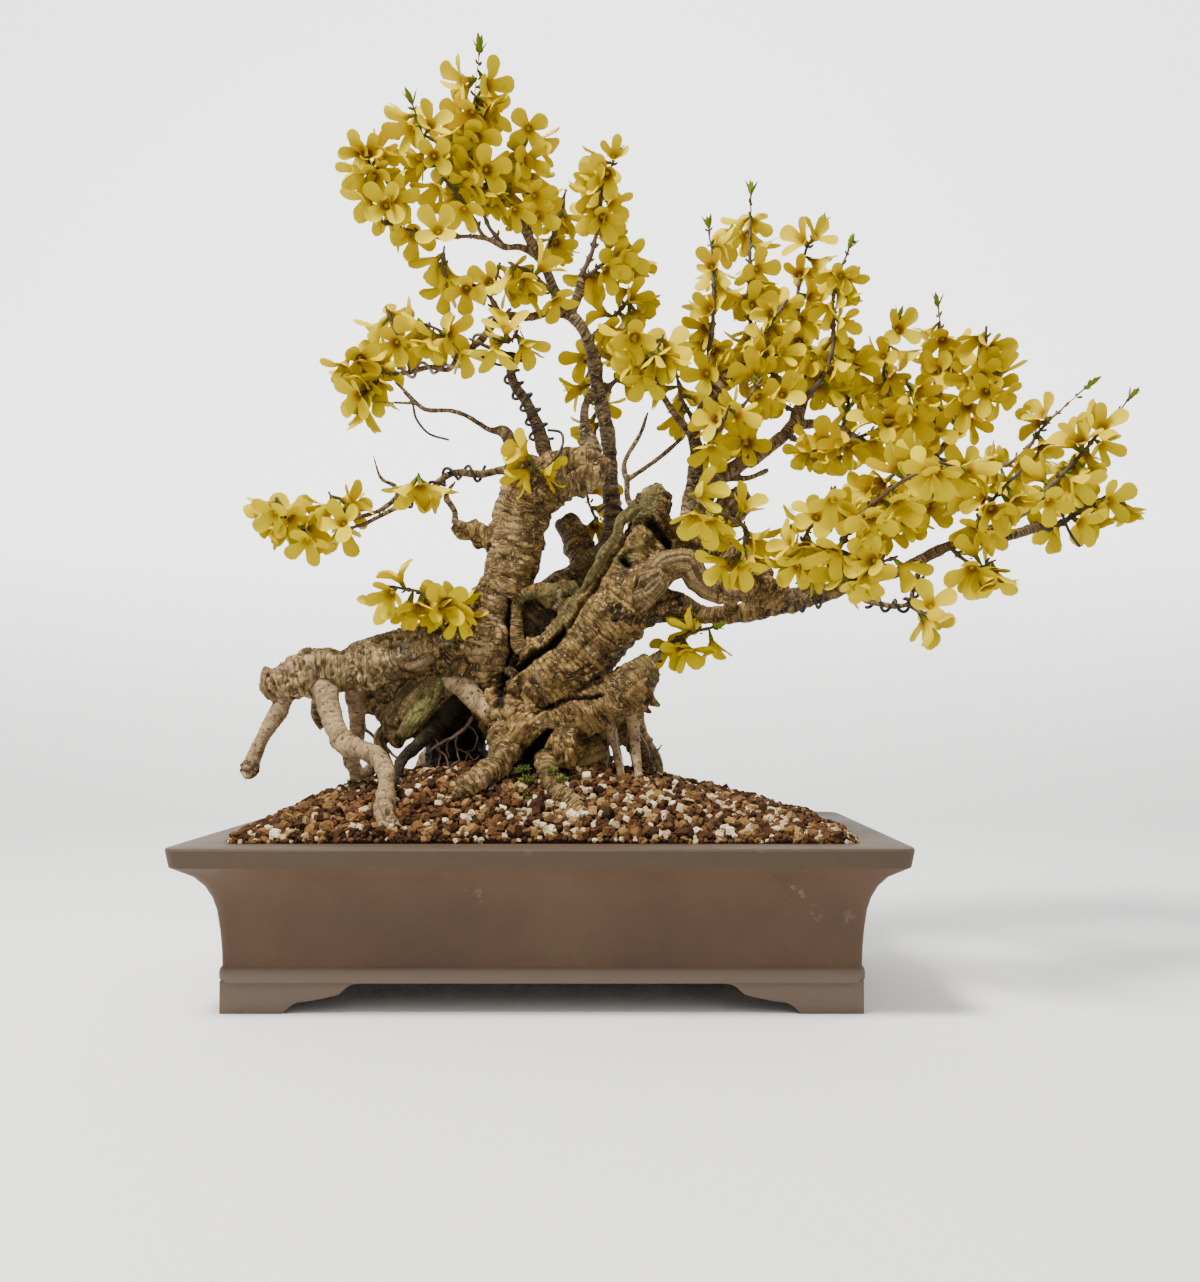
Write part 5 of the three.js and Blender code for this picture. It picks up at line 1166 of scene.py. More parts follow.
# Smaller forms that the roots' skin takes up: knobs, chips, toes and the edges of the slab.
ROOT_EXTRAS = {
    "arm_knob": [(470, 672, -15, 20), (452, 664, -22, 18)],
    "arm_end_lip": [(272, 668, -20, 9), (268, 684, -22, 9), (274, 698, -20, 7)],
    "arm_top_burr": [(352, 652, -14, 8), (374, 644, -16, 8), (398, 636, -14, 7)],
    "arm_chip": [(408, 668, -26, 5), (420, 662, -30, 5), (432, 656, -28, 5)],
    "arm_chip_low": [(406, 672, -24, 4), (420, 670, -28, 4), (430, 668, -26, 3)],
    "stilt_link": [(376, 755, -40, 6), (374, 766, -22, 6), (364, 776, -2, 7)],
    "stilt_scar": [(388, 806, -112, 9), (389, 818, -116, 8)],
    "slab_finger": [(392, 725, 2, 9), (380, 738, 0, 6), (384, 752, -4, 5), (392, 770, -10, 3)],
    "slab_edge": [(440, 676, -8, 12), (428, 700, -14, 10), (412, 722, -14, 9), (402, 736, -10, 7)],
    "slab_wide": [(452, 678, 2, 20), (434, 690, 4, 24), (418, 704, 4, 25), (410, 722, 2, 22),
        (409, 735, 0, 15)],
    "slab_bark": [(428, 672, 10, 18), (404, 684, 12, 17), (384, 694, 12, 15), (370, 700, 12, 10)],
    "slab_bark_low": [(376, 704, 8, 10), (388, 714, 6, 13), (396, 730, 2, 11)],
    "root_tip": [(243, 768, -30, 5), (249, 763, -32, 5), (255, 769, -32, 5), (250, 775, -30, 5),
        (243, 768, -30, 5)],
    "root_toe_left": [(382, 836, -118, 5), (376, 850, -122, 4)],
}
# The ball of roots in the hollow and the dark root under the slab are painted in shade, seen from the front.
ROOT_KINDS = {
    "dead": ("shari_slab", "slab_left", "slab_finger", "slab_edge", "slab_wide", "arm_chip",
             "arm_chip_low", "arm_end_lip"),
    "root": ("hanging_root", "stilt_root", "stilt_toe", "back_stilt", "stilt_scar", "right_root_a",
             "right_root_b", "right_root_c", "back_root", "back_left_root", "stilt_link", "root_toe_left",
             "inner_root"),
    "shade": ("root_ball", "shaded_dark_root"),
    "corky": ("left_arm", "arm_knob", "arm_top_burr", "front_left_root", "slab_bark", "root_tip"),
}
ROOT_CUTS = [
    (0.006, -60, 20, [(400, 668, 3), (420, 674, 3), (436, 668, 3)]),
    (0.004, -60, 20, [(352, 662, 2), (362, 672, 3), (366, 684, 2)]),
    (0.004, -60, 20, [(440, 650, 2), (452, 646, 2), (470, 652, 2)]),
    (0.005, -60, -10, [(268, 676, 4), (276, 690, 4)]),
    (0.004, -60, 20, [(243, 770, 3), (250, 771, 3)]),
    (0.004, -140, -60, [(388, 812, 4), (388, 815, 4)]),
]
ROOT_LUMPS = [
    (0.0050, -60, 20, [(452, 664, 16), (456, 662, 15)]),
    (0.0030, -60, 20, [(410, 650, 10), (420, 645, 8)]),
    (0.0030, -60, 20, [(376, 668, 10), (390, 672, 9)]),
    (0.0030, -60, 20, [(300, 664, 10), (330, 660, 12)]),
    (0.0030, -60, 20, [(340, 690, 9), (346, 700, 8)]),
    (0.0040, -120, -20, [(480, 782, 12), (470, 788, 10)]),
    (0.0030, -120, -20, [(502, 752, 9), (496, 768, 8)]),
]
ROOT_GROWTHS = {
    "moss": [(1.0, [(522, 770, 8), (528, 800, 9)]), (1.0, [(352, 785, 7), (358, 790, 8)]),
        (0.5, [(492, 784, 14), (476, 800, 14)]), (0.55, [(384, 840, 12), (412, 842, 8)]),
        (0.55, [(306, 668, 12), (316, 690, 12)]), (0.5, [(400, 640, 14), (430, 660, 14)])],
    "lichen": [(1.0, [(402, 644, 10), (412, 656, 9)]), (1.0, [(441, 640, 7), (452, 646, 7)]),
        (0.6, [(310, 670, 10), (330, 680, 9)]), (0.7, [(390, 812, 7), (392, 820, 7)])],
    "fresh": [(0.9, [(262, 672, 9), (276, 668, 9), (290, 664, 5)]),
        (1.0, [(406, 668, 5), (420, 664, 6), (432, 660, 5)]), (0.7, [(482, 776, 6), (486, 782, 5)]),
        (0.6, [(246, 768, 5), (250, 772, 4)])],
    # The long arm is lightened, partly as painted light.
    "lit_tan": [(1.3, [(250, 700, 60), (330, 680, 56), (400, 650, 46)])],
    "algae": [(0.85, [(440, 684, 9), (426, 702, 17), (414, 720, 19), (408, 738, 16)])],
}
root_paths = limb_paths({**ROOT_LIMBS, **ROOT_EXTRAS})
root_bark = remeshed_skin("root_bark", root_paths, 12, ROOT_VOXEL, 2)
seen = worked_skin(root_bark, root_paths, ROOT_KINDS, WRINKLE_HEIGHT, ROOT_CUTS, ROOT_LUMPS)
set_growths(root_bark, seen, ROOT_GROWTHS)
coat(root_bark, bark_material("root_bark", *ROOT_TONES))
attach(root_bark, "root")
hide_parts("tree")

# The branches. Younger wood with thinner, greyer bark, bent into place with wire: limbs drawn through their
# readings as the trunk's are, joined by a finer remesh and wrinkled more lightly.
BRANCH_VOXEL = 0.0012
BRANCH_WRINKLE = 0.0009
BRANCH_TONES = ((0.320, 0.220, 0.115), (0.165, 0.102, 0.046), (0.070, 0.039, 0.014))
BRANCH_LIMBS = {
    "rear_stem": [(604, 572, 30, 14), (611, 530, 34, 11), (611, 485, 34, 10), (609, 445, 30, 9),
        (604, 415, 26, 9), (597, 385, 23, 8), (592, 352, 21, 7.5), (583, 330, 19, 7.5), (570, 314, 17, 7)],
    "burl_stem": [(592, 462, -4, 14), (590, 444, 2, 11), (584, 424, 8, 6), (586, 404, 14, 5),
        (596, 388, 22, 6)],
    "crown_stem": [(571, 315, 17, 7), (559, 298, 14, 6), (545, 268, 10, 5.5), (537, 252, 7, 6),
        (528, 236, 4, 5.5), (521, 222, 2, 4)],
    "crown_left": [(540, 257, 8, 5), (520, 247, 2, 4), (504, 247, -2, 4), (490, 240, -6, 3.5),
        (472, 236, -10, 3)],
    "crown_rise": [(571, 314, 17, 6), (579, 292, 14, 5.5), (583, 272, 12, 4.5)],
    "wired_arm": [(570, 315, 17, 6.5), (550, 312, 10, 5), (532, 317, 6, 4.5), (502, 317, 0, 4.6),
        (480, 341, -8, 4.6), (458, 358, -14, 4), (448, 370, -16, 3.6), (432, 367, -18, 3.4),
        (406, 373, -22, 3), (392, 374, -24, 2.6)],
    "wired_upright": [(548, 462, -8, 10), (541, 438, -8, 8.5), (534, 418, -9, 7), (526, 401, -10, 6.2),
        (516, 387, -11, 6), (511, 372, -12, 5.6), (513, 352, -12, 5.2)],
    "upright_left_twig": [(513, 356, -12, 3.6), (500, 351, -15, 3.2), (488, 347, -18, 3),
        (468, 338, -22, 1.8)],
    "upright_right_twig": [(514, 356, -12, 3), (524, 362, -10, 2.2), (529, 356, -8, 2), (520, 330, -8, 1.4)],
    "mid_left_twig": [(512, 466, -10, 9), (511, 445, -11, 8.5), (503, 432, -12, 7.5), (490, 430, -13, 3.8),
        (478, 423, -14, 3.4), (465, 415, -16, 3), (452, 411, -18, 3), (424, 409, -22, 3),
        (404, 390, -26, 2.4), (395, 382, -28, 1.8)],
    "mid_left_side": [(416, 403, -24, 2.4), (400, 403, -28, 2), (374, 402, -33, 1.6)],
    "low_left_branch": [(520, 474, -10, 9), (502, 470, -12, 5.4), (484, 474, -14, 4.8), (450, 474, -18, 4.4),
        (440, 481, -20, 4), (430, 491, -22, 3.6), (416, 498, -24, 3.4), (382, 515, -28, 3.2),
        (365, 524, -30, 3)],
    "low_left_fork": [(430, 491, -22, 3.4), (402, 492, -22, 3.2), (396, 498, -22, 3.2), (384, 508, -24, 3.2),
        (350, 519, -28, 3), (334, 522, -30, 2.8)],
    "low_left_spur": [(398, 494, -22, 3), (394, 485, -20, 3), (384, 481, -20, 2.4), (373, 455, -20, 1.4)],
    "side_twig": [(455, 524, -12, 4.6), (455, 512, -12, 3.8), (446, 496, -14, 3.4), (456, 481, -14, 1.6)],
    "fork_left_stem": [(690, 540, 10, 13), (690, 505, 14, 9.5), (694, 480, 16, 8.5), (697, 456, 18, 8),
        (694, 434, 20, 8.5), (700, 416, 24, 7.6), (711, 400, 28, 7.4), (728, 374, 36, 7)],
    "fork_left_twig": [(690, 432, 20, 5.2), (676, 416, 14, 4.4), (664, 398, 8, 4.2), (653, 380, 2, 4)],
    "bend_stem": [(704, 532, 14, 13), (702, 508, 12, 11), (711, 489, 12, 9.5), (723, 476, 14, 9),
        (757, 456, 28, 8.4), (774, 443, 38, 8), (790, 429, 48, 7.4), (798, 414, 56, 8), (803, 398, 62, 7.5)],
    "bend_side": [(726, 478, 14, 4.4), (748, 478, 22, 3.8), (768, 470, 32, 3.4)],
    "rear_right_limb": [(792, 426, 50, 6.2), (816, 424, 66, 5.2), (842, 430, 80, 4.6), (884, 456, 96, 4.4),
        (908, 462, 98, 4.6), (934, 456, 96, 4.8), (952, 436, 92, 4.6)],
    "right_limb": [(850, 583, -50, 8), (872, 578, -54, 6.4), (898, 572, -58, 6.2), (920, 560, -60, 7),
        (942, 549, -60, 6.2), (966, 540, -58, 6), (990, 530, -54, 5.6), (1012, 519, -50, 5),
        (1032, 507, -46, 4.6)],
    "right_limb_low": [(966, 541, -58, 5.4), (992, 541, -48, 5.4), (1016, 534, -38, 5.6),
        (1036, 527, -30, 6)],
    "right_rise": [(836, 590, -45, 6.4), (852, 562, -44, 5.4), (866, 532, -40, 5)],
    "wire_loop_twig": [(852, 584, -50, 5), (862, 598, -56, 4.2), (880, 604, -62, 3.8), (900, 606, -68, 3.8),
        (908, 604, -72, 3.8), (914, 586, -76, 3.6), (920, 568, -78, 3.4)],
    "front_limb": [(782, 598, -36, 9), (804, 590, -66, 6.4), (826, 574, -96, 5.4)],
    "front_drape_base": [(756, 590, -42, 7), (752, 562, -48, 5.4), (748, 542, -62, 4.4)],
    "thin_riser": [(640, 515, -6, 6), (628, 500, 0, 4.4), (627, 482, 4, 4), (624, 470, 8, 3.6),
        (642, 430, 22, 2.6), (648, 412, 26, 2)],
    "thin_riser_side": [(627, 480, 4, 3.6), (664, 454, 16, 3), (682, 438, 20, 2.8)],
}
branch_paths = {name: (points, radii * 0.9 - 0.0002)
                for name, (points, radii) in limb_paths(BRANCH_LIMBS).items()}
branch_bark = remeshed_skin("branch_bark", branch_paths, 10, BRANCH_VOXEL, 2)
worked_skin(branch_bark, branch_paths, {}, BRANCH_WRINKLE, [], [])
coat(branch_bark, bark_material("branch_bark", *BRANCH_TONES))
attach(branch_bark, "root")
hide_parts("tree")

# The sprays. Thin shoots of the last years that carry the flowers in opposite pairs, each pair turned a
# quarter from the one before. A shoot's row gives the wood it leaves, its flowers, where the first and the
# last stand as shares of its length, and its readings. Young leaves end it where the last share is below 1.
FLOWER_SPACING = 0.016
LIMB_SPACING = 0.010
FLOWER_TRIES = 8
STALK_LENGTHS = (0.011, 0.017)
BUD_LENGTH = 0.015
SPRAYS = {
    "crown_peak": [("crown_left", 13, 0.34, 0.86, [(505, 247, -2, 4), (490, 228, -4, 3.2), (480, 206, -6, 3),
        (475, 182, -8, 2.8), (473, 126, -12, 2.5), (479, 54, -15, 1.6)])],
    "crown_left_up": [("crown_left", 10, 0.2, 0.86, [(484, 238, -6, 3.4), (466, 206, -12, 3),
        (450, 186, -18, 2.6), (428, 146, -28, 2.2), (413, 106, -32, 1.6)])],
    "crown_far_left": [("crown_left", 3, 0.2, 1, [(472, 236, -10, 3), (430, 237, -18, 2.8),
        (396, 226, -24, 2.5), (382, 222, -26, 2.2)]),
        ("main", 10, 0.15, 1, [(396, 226, -24, 2.5), (388, 208, -26, 2.8), (372, 168, -30, 2.2),
        (360, 142, -32, 2)])],
    "crown_middle": [("crown_stem", 7, 0.2, 1, [(521, 222, 2, 4), (512, 206, 0, 3.2), (490, 178, -4, 2.5),
        (476, 160, -8, 2)])],
    "crown_right": [("crown_stem", 9, 0.2, 1, [(530, 240, 4, 4), (534, 215, 14, 3), (528, 190, 18, 2.8),
        (524, 150, 20, 2.2), (530, 122, 20, 1.6)])],
    "crown_back": [("crown_stem", 4, 0.3, 1, [(545, 268, 10, 4), (552, 240, 34, 3), (560, 214, 52, 2.4),
        (566, 190, 62, 2)])],
    "tall_twig": [("crown_rise", 7, 0.42, 0.86, [(583, 272, 12, 4.5), (591, 256, 8, 3.8), (596, 236, 4, 3.2),
        (604, 185, -6, 2.4), (614, 160, -10, 1.7)])],
    "crown_inner": [("crown_rise", 7, 0.22, 1, [(581, 282, 12, 4), (600, 266, 24, 3.2), (616, 256, 32, 2.8),
        (636, 250, 38, 2)])],
    "crown_core": [("crown_stem", 5, 0.25, 1, [(566, 306, 16, 4.4), (548, 288, -8, 3.2),
        (530, 272, -22, 2.6), (508, 262, -32, 2)])],
    "rear_right_spray": [("rear_stem", 8, 0.2, 1, [(588, 340, 20, 5), (604, 327, 30, 4.2),
        (622, 308, 42, 3.2), (640, 284, 50, 2.2)])],
    "rear_mid_spray": [("rear_stem", 7, 0.22, 1, [(600, 398, 24, 5), (616, 380, 34, 3.8), (634, 358, 44, 3),
        (644, 334, 50, 2.2)])],
    "rear_back_spray": [("rear_stem", 6, 0.25, 1, [(609, 448, 30, 5), (600, 420, 62, 3.8), (592, 384, 86, 3),
        (586, 350, 102, 2.2)])],
    "rear_low_spray": [("rear_stem", 3, 0.4, 1, [(611, 540, 34, 4), (600, 524, 56, 3), (590, 506, 72, 2.4),
        (586, 488, 80, 1.8)])],
    "upper_left_arm": [("wired_arm", 4, 0.4, 1, [(502, 317, 0, 4.4), (484, 291, -4, 3.6),
        (468, 284, -8, 3.2), (455, 280, -11, 3), (445, 275, -13, 3), (444, 246, -15, 1.8)]),
        ("main", 3, 0.3, 1, [(490, 298, -3, 3.4), (496, 280, -8, 2.6), (500, 262, -12, 2)])],
    "arm_left_twig": [("wired_arm", 5, 0.4, 1, [(410, 372, -21, 3), (405, 354, -20, 2.4),
        (398, 336, -18, 2.2), (385, 306, -15, 1.6)])],
    "arm_right_twig": [("wired_arm", 5, 0.25, 1, [(462, 355, -12, 3.4), (452, 340, -24, 2.8),
        (438, 330, -32, 2.4), (424, 324, -38, 1.8)])],
    "arm_inner_twig": [("wired_arm", 4, 0.3, 1, [(516, 317, 3, 3.4), (516, 334, -12, 2.8),
        (506, 342, -26, 2.4), (492, 338, -36, 1.8)])],
    "arm_tip": [("wired_arm", 7, 0.1, 1, [(392, 374, -24, 2.6), (380, 371, -26, 2.4), (370, 364, -28, 2.2),
        (350, 350, -32, 1.8)]),
        ("main", 4, 0.3, 1, [(382, 372, -26, 2.2), (374, 386, -30, 2), (362, 396, -34, 1.6)])],
    "column_top_twig": [("column", 3, 0.62, 1, [(532, 492, -8, 6), (533, 470, -30, 4),
        (534, 458, -38, 2.6)])],
    "low_left_tip": [("low_left_fork", 7, 0.3, 1, [(334, 522, -30, 2.8), (318, 528, -32, 2.8),
        (302, 534, -34, 3), (294, 522, -36, 3), (276, 498, -39, 2.4)])],
    "low_left_mid": [("low_left_branch", 5, 0.2, 1, [(365, 524, -30, 3), (346, 528, -32, 2.8),
        (340, 510, -34, 2.4), (328, 492, -36, 1.8)])],
    "low_left_facing": [("low_left_branch", 2, 0.7, 1, [(424, 495, -23, 3), (422, 484, -34, 2.4),
        (418, 474, -42, 1.8)])],
    "trunk_shoot": [("column", 10, 0.32, 1, [(474, 612, -26, 8), (450, 603, -34, 3.4), (436, 597, -36, 2.8),
        (405, 589, -40, 2.4), (386, 586, -42, 2)])],
    "fork_left_spray": [("fork_left_twig", 7, 0.12, 0.86, [(653, 380, 2, 4), (645, 360, -2, 3.6),
        (639, 345, -4, 3), (634, 332, -6, 2.2)]),
        ("main", 2, 0.4, 1, [(647, 366, -1, 3), (656, 350, -10, 2.4), (664, 334, -14, 2)])],
    "fork_left_inner": [("fork_left_stem", 7, 0.2, 1, [(697, 424, 22, 4.4), (684, 404, 38, 3.4),
        (678, 384, 48, 2.8), (674, 356, 56, 2)])],
    "fork_mid_spray": [("fork_left_stem", 5, 0.2, 1, [(696, 460, 18, 5), (712, 440, -2, 3.4),
        (722, 424, -12, 2.8), (730, 404, -20, 2)])],
    "tower_a": [("fork_left_stem", 11, 0.1, 0.86, [(712, 398, 28, 5), (708, 364, 40, 4.2),
        (712, 332, 50, 3.6), (714, 300, 58, 3.2), (713, 268, 66, 2.8), (709, 230, 72, 1.7)])],
    "tower_b": [("fork_left_stem", 13, 0.08, 0.86, [(728, 374, 36, 6.4), (744, 364, 46, 5),
        (756, 346, 58, 4.2), (750, 318, 70, 3.6), (750, 250, 86, 2.8), (751, 196, 94, 1.8)]),
        ("main", 3, 0.3, 1, [(754, 342, 60, 4), (770, 322, 54, 3.2), (788, 300, 48, 2.2)])],
    "mid_tangle": [("bend_stem", 7, 0.12, 1, [(757, 456, 28, 4.4), (742, 438, 30, 3.8), (734, 424, 32, 3.4),
        (742, 408, 30, 3), (762, 378, 26, 2)])],
    "tower_c": [("bend_stem", 12, 0.12, 0.86, [(803, 398, 62, 6.4), (804, 378, 76, 5), (803, 350, 90, 4),
        (798, 294, 108, 3), (808, 246, 116, 2.2), (818, 228, 118, 1.7)])],
    "tower_d": [("bend_stem", 10, 0.14, 0.86, [(801, 406, 60, 6), (822, 378, 56, 4.4), (832, 352, 54, 3.6),
        (834, 292, 54, 2.8), (848, 250, 56, 1.8)])],
    "tower_low": [("bend_stem", 7, 0.27, 1, [(798, 414, 56, 4), (782, 402, 44, 3.2), (774, 384, 46, 2.8),
        (774, 344, 56, 2)])],
    "tower_e": [("rear_right_limb", 8, 0.14, 1, [(842, 430, 80, 3.8), (848, 406, 88, 3.2),
        (846, 372, 98, 2.8), (852, 342, 104, 2)])],
    "tower_f": [("rear_right_limb", 9, 0.14, 0.86, [(884, 456, 96, 4), (896, 440, 102, 3.4),
        (892, 414, 106, 3), (884, 364, 112, 2.4), (897, 322, 114, 1.6)])],
    "tower_g": [("rear_right_limb", 10, 0.1, 0.86, [(934, 456, 96, 4.8), (936, 430, 100, 4.4),
        (936, 404, 106, 4.2), (944, 352, 118, 2.8), (938, 308, 124, 1.7)])],
    "tower_h": [("rear_right_limb", 7, 0.14, 1, [(952, 436, 92, 4.6), (962, 414, 78, 5), (974, 392, 66, 5),
        (985, 344, 52, 3.4), (986, 326, 50, 2.2)]),
        ("main", 3, 0.3, 1, [(972, 396, 67, 3.2), (986, 388, 54, 2.6), (1000, 380, 44, 2)])],
    "far_shoot": [("rear_right_limb", 8, 0.08, 0.72, [(934, 458, 96, 4.2), (960, 468, 80, 3.8),
        (986, 470, 60, 3.4), (1012, 462, 40, 3), (1046, 424, 44, 2.4), (1086, 388, 47, 1.6)])],
    "right_tip_upper": [("right_limb", 11, 0.02, 0.66, [(1032, 507, -46, 4.6), (1046, 491, -42, 4.2),
        (1074, 462, -34, 3.4), (1104, 428, -26, 2.6), (1128, 400, -23, 1.7)])],
    "right_tip_lower": [("right_limb_low", 7, 0.2, 1, [(1036, 527, -30, 6), (1054, 526, -24, 5.6),
        (1068, 519, -18, 4.6), (1100, 500, -6, 2.8), (1122, 492, 2, 2)])],
    "right_hanging": [("right_limb", 4, 0.3, 1, [(950, 546, -60, 4), (962, 558, -72, 3),
        (980, 566, -80, 2.4), (996, 560, -86, 1.8)])],
    "right_rise_spray": [("right_rise", 9, 0.1, 1, [(866, 532, -40, 5), (892, 519, -34, 5),
        (918, 508, -26, 4.6), (940, 492, -18, 4), (952, 466, -10, 3)])],
    "front_high_spray": [("right_rise", 11, 0.12, 1, [(866, 532, -40, 5), (876, 500, -62, 4),
        (894, 474, -80, 3.4), (926, 460, -92, 2.8), (962, 470, -98, 2.2)])],
    "front_right_spray": [("right_limb", 9, 0.16, 1, [(966, 540, -58, 5), (984, 512, -78, 3.8),
        (1000, 492, -90, 3), (1022, 470, -96, 2.2)])],
    "middle_front_spray": [("bend_stem", 10, 0.14, 1, [(784, 434, 44, 5), (812, 444, 20, 4),
        (846, 442, 0, 3.4), (880, 428, -14, 2.8), (914, 410, -22, 2.2)])],
    "middle_gap_spray": [("rear_right_limb", 8, 0.16, 1, [(908, 462, 98, 4.4), (912, 436, 74, 3.6),
        (916, 408, 58, 3), (906, 378, 48, 2.2)])],
    "loop_tip": [("wire_loop_twig", 2, 0.3, 1, [(908, 604, -72, 3.6), (920, 612, -80, 2.8),
        (934, 612, -86, 2)])],
    "front_spray": [("front_limb", 10, 0.16, 1, [(826, 574, -96, 5.4), (842, 542, -124, 4.8),
        (862, 514, -146, 4.2), (908, 478, -172, 3), (940, 462, -178, 2.2)])],
    "front_left_spray": [("front_limb", 7, 0.2, 1, [(802, 592, -62, 5), (800, 566, -92, 4.2),
        (804, 540, -116, 3.6), (820, 512, -136, 3), (836, 486, -148, 2.2)])],
    "front_low_spray": [("front_limb", 6, 0.2, 1, [(818, 580, -86, 4), (844, 578, -116, 3.4),
        (870, 566, -136, 3), (898, 556, -152, 2.2)])],
    "front_drape": [("front_drape_base", 8, 0.12, 1, [(748, 542, -62, 4.4), (744, 526, -86, 3.6),
        (726, 516, -104, 3), (706, 508, -118, 2.6), (684, 494, -130, 1.8)]),
        ("main", 3, 0.3, 1, [(745, 530, -80, 3.2), (742, 548, -94, 2.6), (732, 560, -104, 2)])],
    "low_shoot": [("cut_root_stub", 4, 0.3, 0.86, [(648, 668, -42, 6), (662, 650, -36, 4),
        (684, 636, -30, 3.6), (710, 628, -26, 2.4)])],
}
draw_state = 20817


def draw(low, high):
    """The next number of the sprays' own row of chance, from low to high."""
    global draw_state
    draw_state = (draw_state * 16807) % 2147483647
    return low + (high - low) * (draw_state / 2147483647)


def unit(vector):
    return vector / np.linalg.norm(vector)


def sideways_of(along, steep):
    """A level direction square to a given one, or one square to X where it is steeper than the limit."""
    reference = (1.0, 0.0, 0.0) if abs(along[2]) > steep else (0.0, 0.0, 1.0)
    return unit(np.cross(reference, along))


def across_pair(along):
    """Two directions square to a shoot and to each other."""
    first = sideways_of(along, 0.8)
    return first, np.cross(along, first)


def turned(vector, axis, angle):
    """A direction turned about an axis of length 1."""
    cosine, sine = math.cos(angle), math.sin(angle)
    return vector * cosine + np.cross(axis, vector) * sine + axis * np.dot(axis, vector) * (1 - cosine)


def path_at(path, share):
    """The point, direction and radius at a share of a path's length."""
    points, radii, lengths = path
    reach = share * lengths[-1]
    i = 1
    while i < len(points) - 1 and lengths[i] < reach:
        i += 1
    part = (reach - lengths[i - 1]) / (lengths[i] - lengths[i - 1])
    point = points[i - 1] + (points[i] - points[i - 1]) * part
    return point, unit(points[i] - points[i - 1]), radii[i - 1] + (radii[i] - radii[i - 1]) * part


def coarse_segments(paths):
    """The straight bits between the readings of some paths: start, run, the run's square, thickness."""
    starts = np.concatenate([points[:-1] for points, radii, lengths in paths])
    alongs = np.concatenate([np.diff(points, axis=0) for points, radii, lengths in paths])
    radii = np.concatenate([np.maximum(radii[:-1], radii[1:]) for points, radii, lengths in paths])
    return starts, alongs, np.einsum("ij,ij->i", alongs, alongs), radii


def nearest_on(point, segments):
    """The place on each straight bit that is nearest to a point."""
    starts, alongs, squares, radii = segments
    share = np.clip(np.einsum("ij,ij->i", point - starts, alongs) / squares, 0, 1)
    return starts + share[:, None] * alongs


def shoot_path(carrier, readings, leafy):
    """A shoot that starts in the middle of what carries it and may end in a leaf bud."""
    points, radii, lengths = measured_path(readings)
    nearest = nearest_on(points[0], coarse_segments([carrier]))
    points[0] = nearest[np.argmin(np.linalg.norm(points[0] - nearest, axis=1))]
    if leafy:
        along = unit(points[-1] - points[-2])
        points = np.vstack([points, points[-1] + along * BUD_LENGTH * 0.4, points[-1] + along * BUD_LENGTH])
        radii = np.append(radii, [0.0021, 0.00042])
    return finished_path(points, radii)


def set_flowers(path, count, first, last, middles, segments):
    """Each flower keeps the first draw that stands clear of limbs and other flowers, or else the clearest."""
    flowers = []
    for i in range(count):
        point, along, radius = path_at(path, first + (last - first) * (i + 0.6) / count)
        u, v = across_pair(along)
        best = None
        for attempt in range(FLOWER_TRIES):
            turn = (i // 2) * math.pi / 2 + (i % 2) * math.pi + draw(-0.7, 0.7)
            facing = u * math.cos(turn) + v * math.sin(turn)
            facing = facing + along * draw(-0.1, 0.6)
            facing = unit(facing - np.array([0, 0, draw(0, 0.8)]))
            stalk = draw(*STALK_LENGTHS)
            size = draw(0.9, 1.1)
            spin = draw(0, 1.57)
            flare = draw(0.3, 1.5)
            middle = point + facing * stalk
            gaps = np.linalg.norm(middle - nearest_on(middle, segments), axis=1)
            clear = np.min(gaps - segments[3]) - LIMB_SPACING
            if middles:
                apart = np.linalg.norm(np.array(middles) - middle, axis=1)
                clear = min(clear, np.min(apart) - FLOWER_SPACING)
            if best is None or clear > best["clear"]:
                best = {"root": point, "facing": facing, "stalk": stalk, "size": size, "spin": spin,
                        "flare": flare, "middle": middle, "clear": clear}
            if best["clear"] >= 0:
                break
        middles.append(best["middle"])
        flowers.append(best)
    return flowers


wood_paths = {name: measured_path(readings)
              for name, readings in {**TRUNK_LIMBS, **ROOT_LIMBS, **BRANCH_LIMBS}.items()}
shoots = {}
for name, rows in SPRAYS.items():
    shoots[name] = []
    for carrier, count, first, last, readings in rows:
        held_by = wood_paths.get(carrier) or shoots[name][0]
        shoots[name].append(shoot_path(held_by, readings, last < 1))
flower_middles = []
spray_flowers = {}
for name, rows in SPRAYS.items():
    others = [path for other, paths in shoots.items() if other != name for path in paths]
    segments = coarse_segments([*wood_paths.values(), *others])
    spray_flowers[name] = []
    for path, (carrier, count, first, last, readings) in zip(shoots[name], rows):
        spray_flowers[name] += set_flowers(path, count, first, last, flower_middles, segments)

# One flower: a short tube that opens in four blunt lobes and hangs from a green calyx on a thin stalk. It is
# modelled face up with its mouth at the origin, from an eight-sided ring of which each quarter is drawn out
# to a lobe, and the whole is drawn down to the eye, the calyx and the stalk.
LOBES = 4
MOUTH_RADIUS = 0.0062
EYE_DEPTH = 0.0058
# A lobe's rows out from the flower's middle: reach, half width, how far its middle lies below its edges.
LOBE_ROWS = [(0.0100, 0.0068, 0.0012), (0.0147, 0.0081, 0.0017), (0.0186, 0.0068, 0.0011),
             (0.0212, 0.0034, 0.0001)]
LOBE_BULGE = 0.0006
# Rings below the trumpet's mouth: depth, radius. The second holds the eye and the last is the stalk's foot.
TUBE_RINGS = [(0.0030, 0.0043), (EYE_DEPTH, 0.0023), (0.0086, 0.0021), (0.0120, 0.0008)]
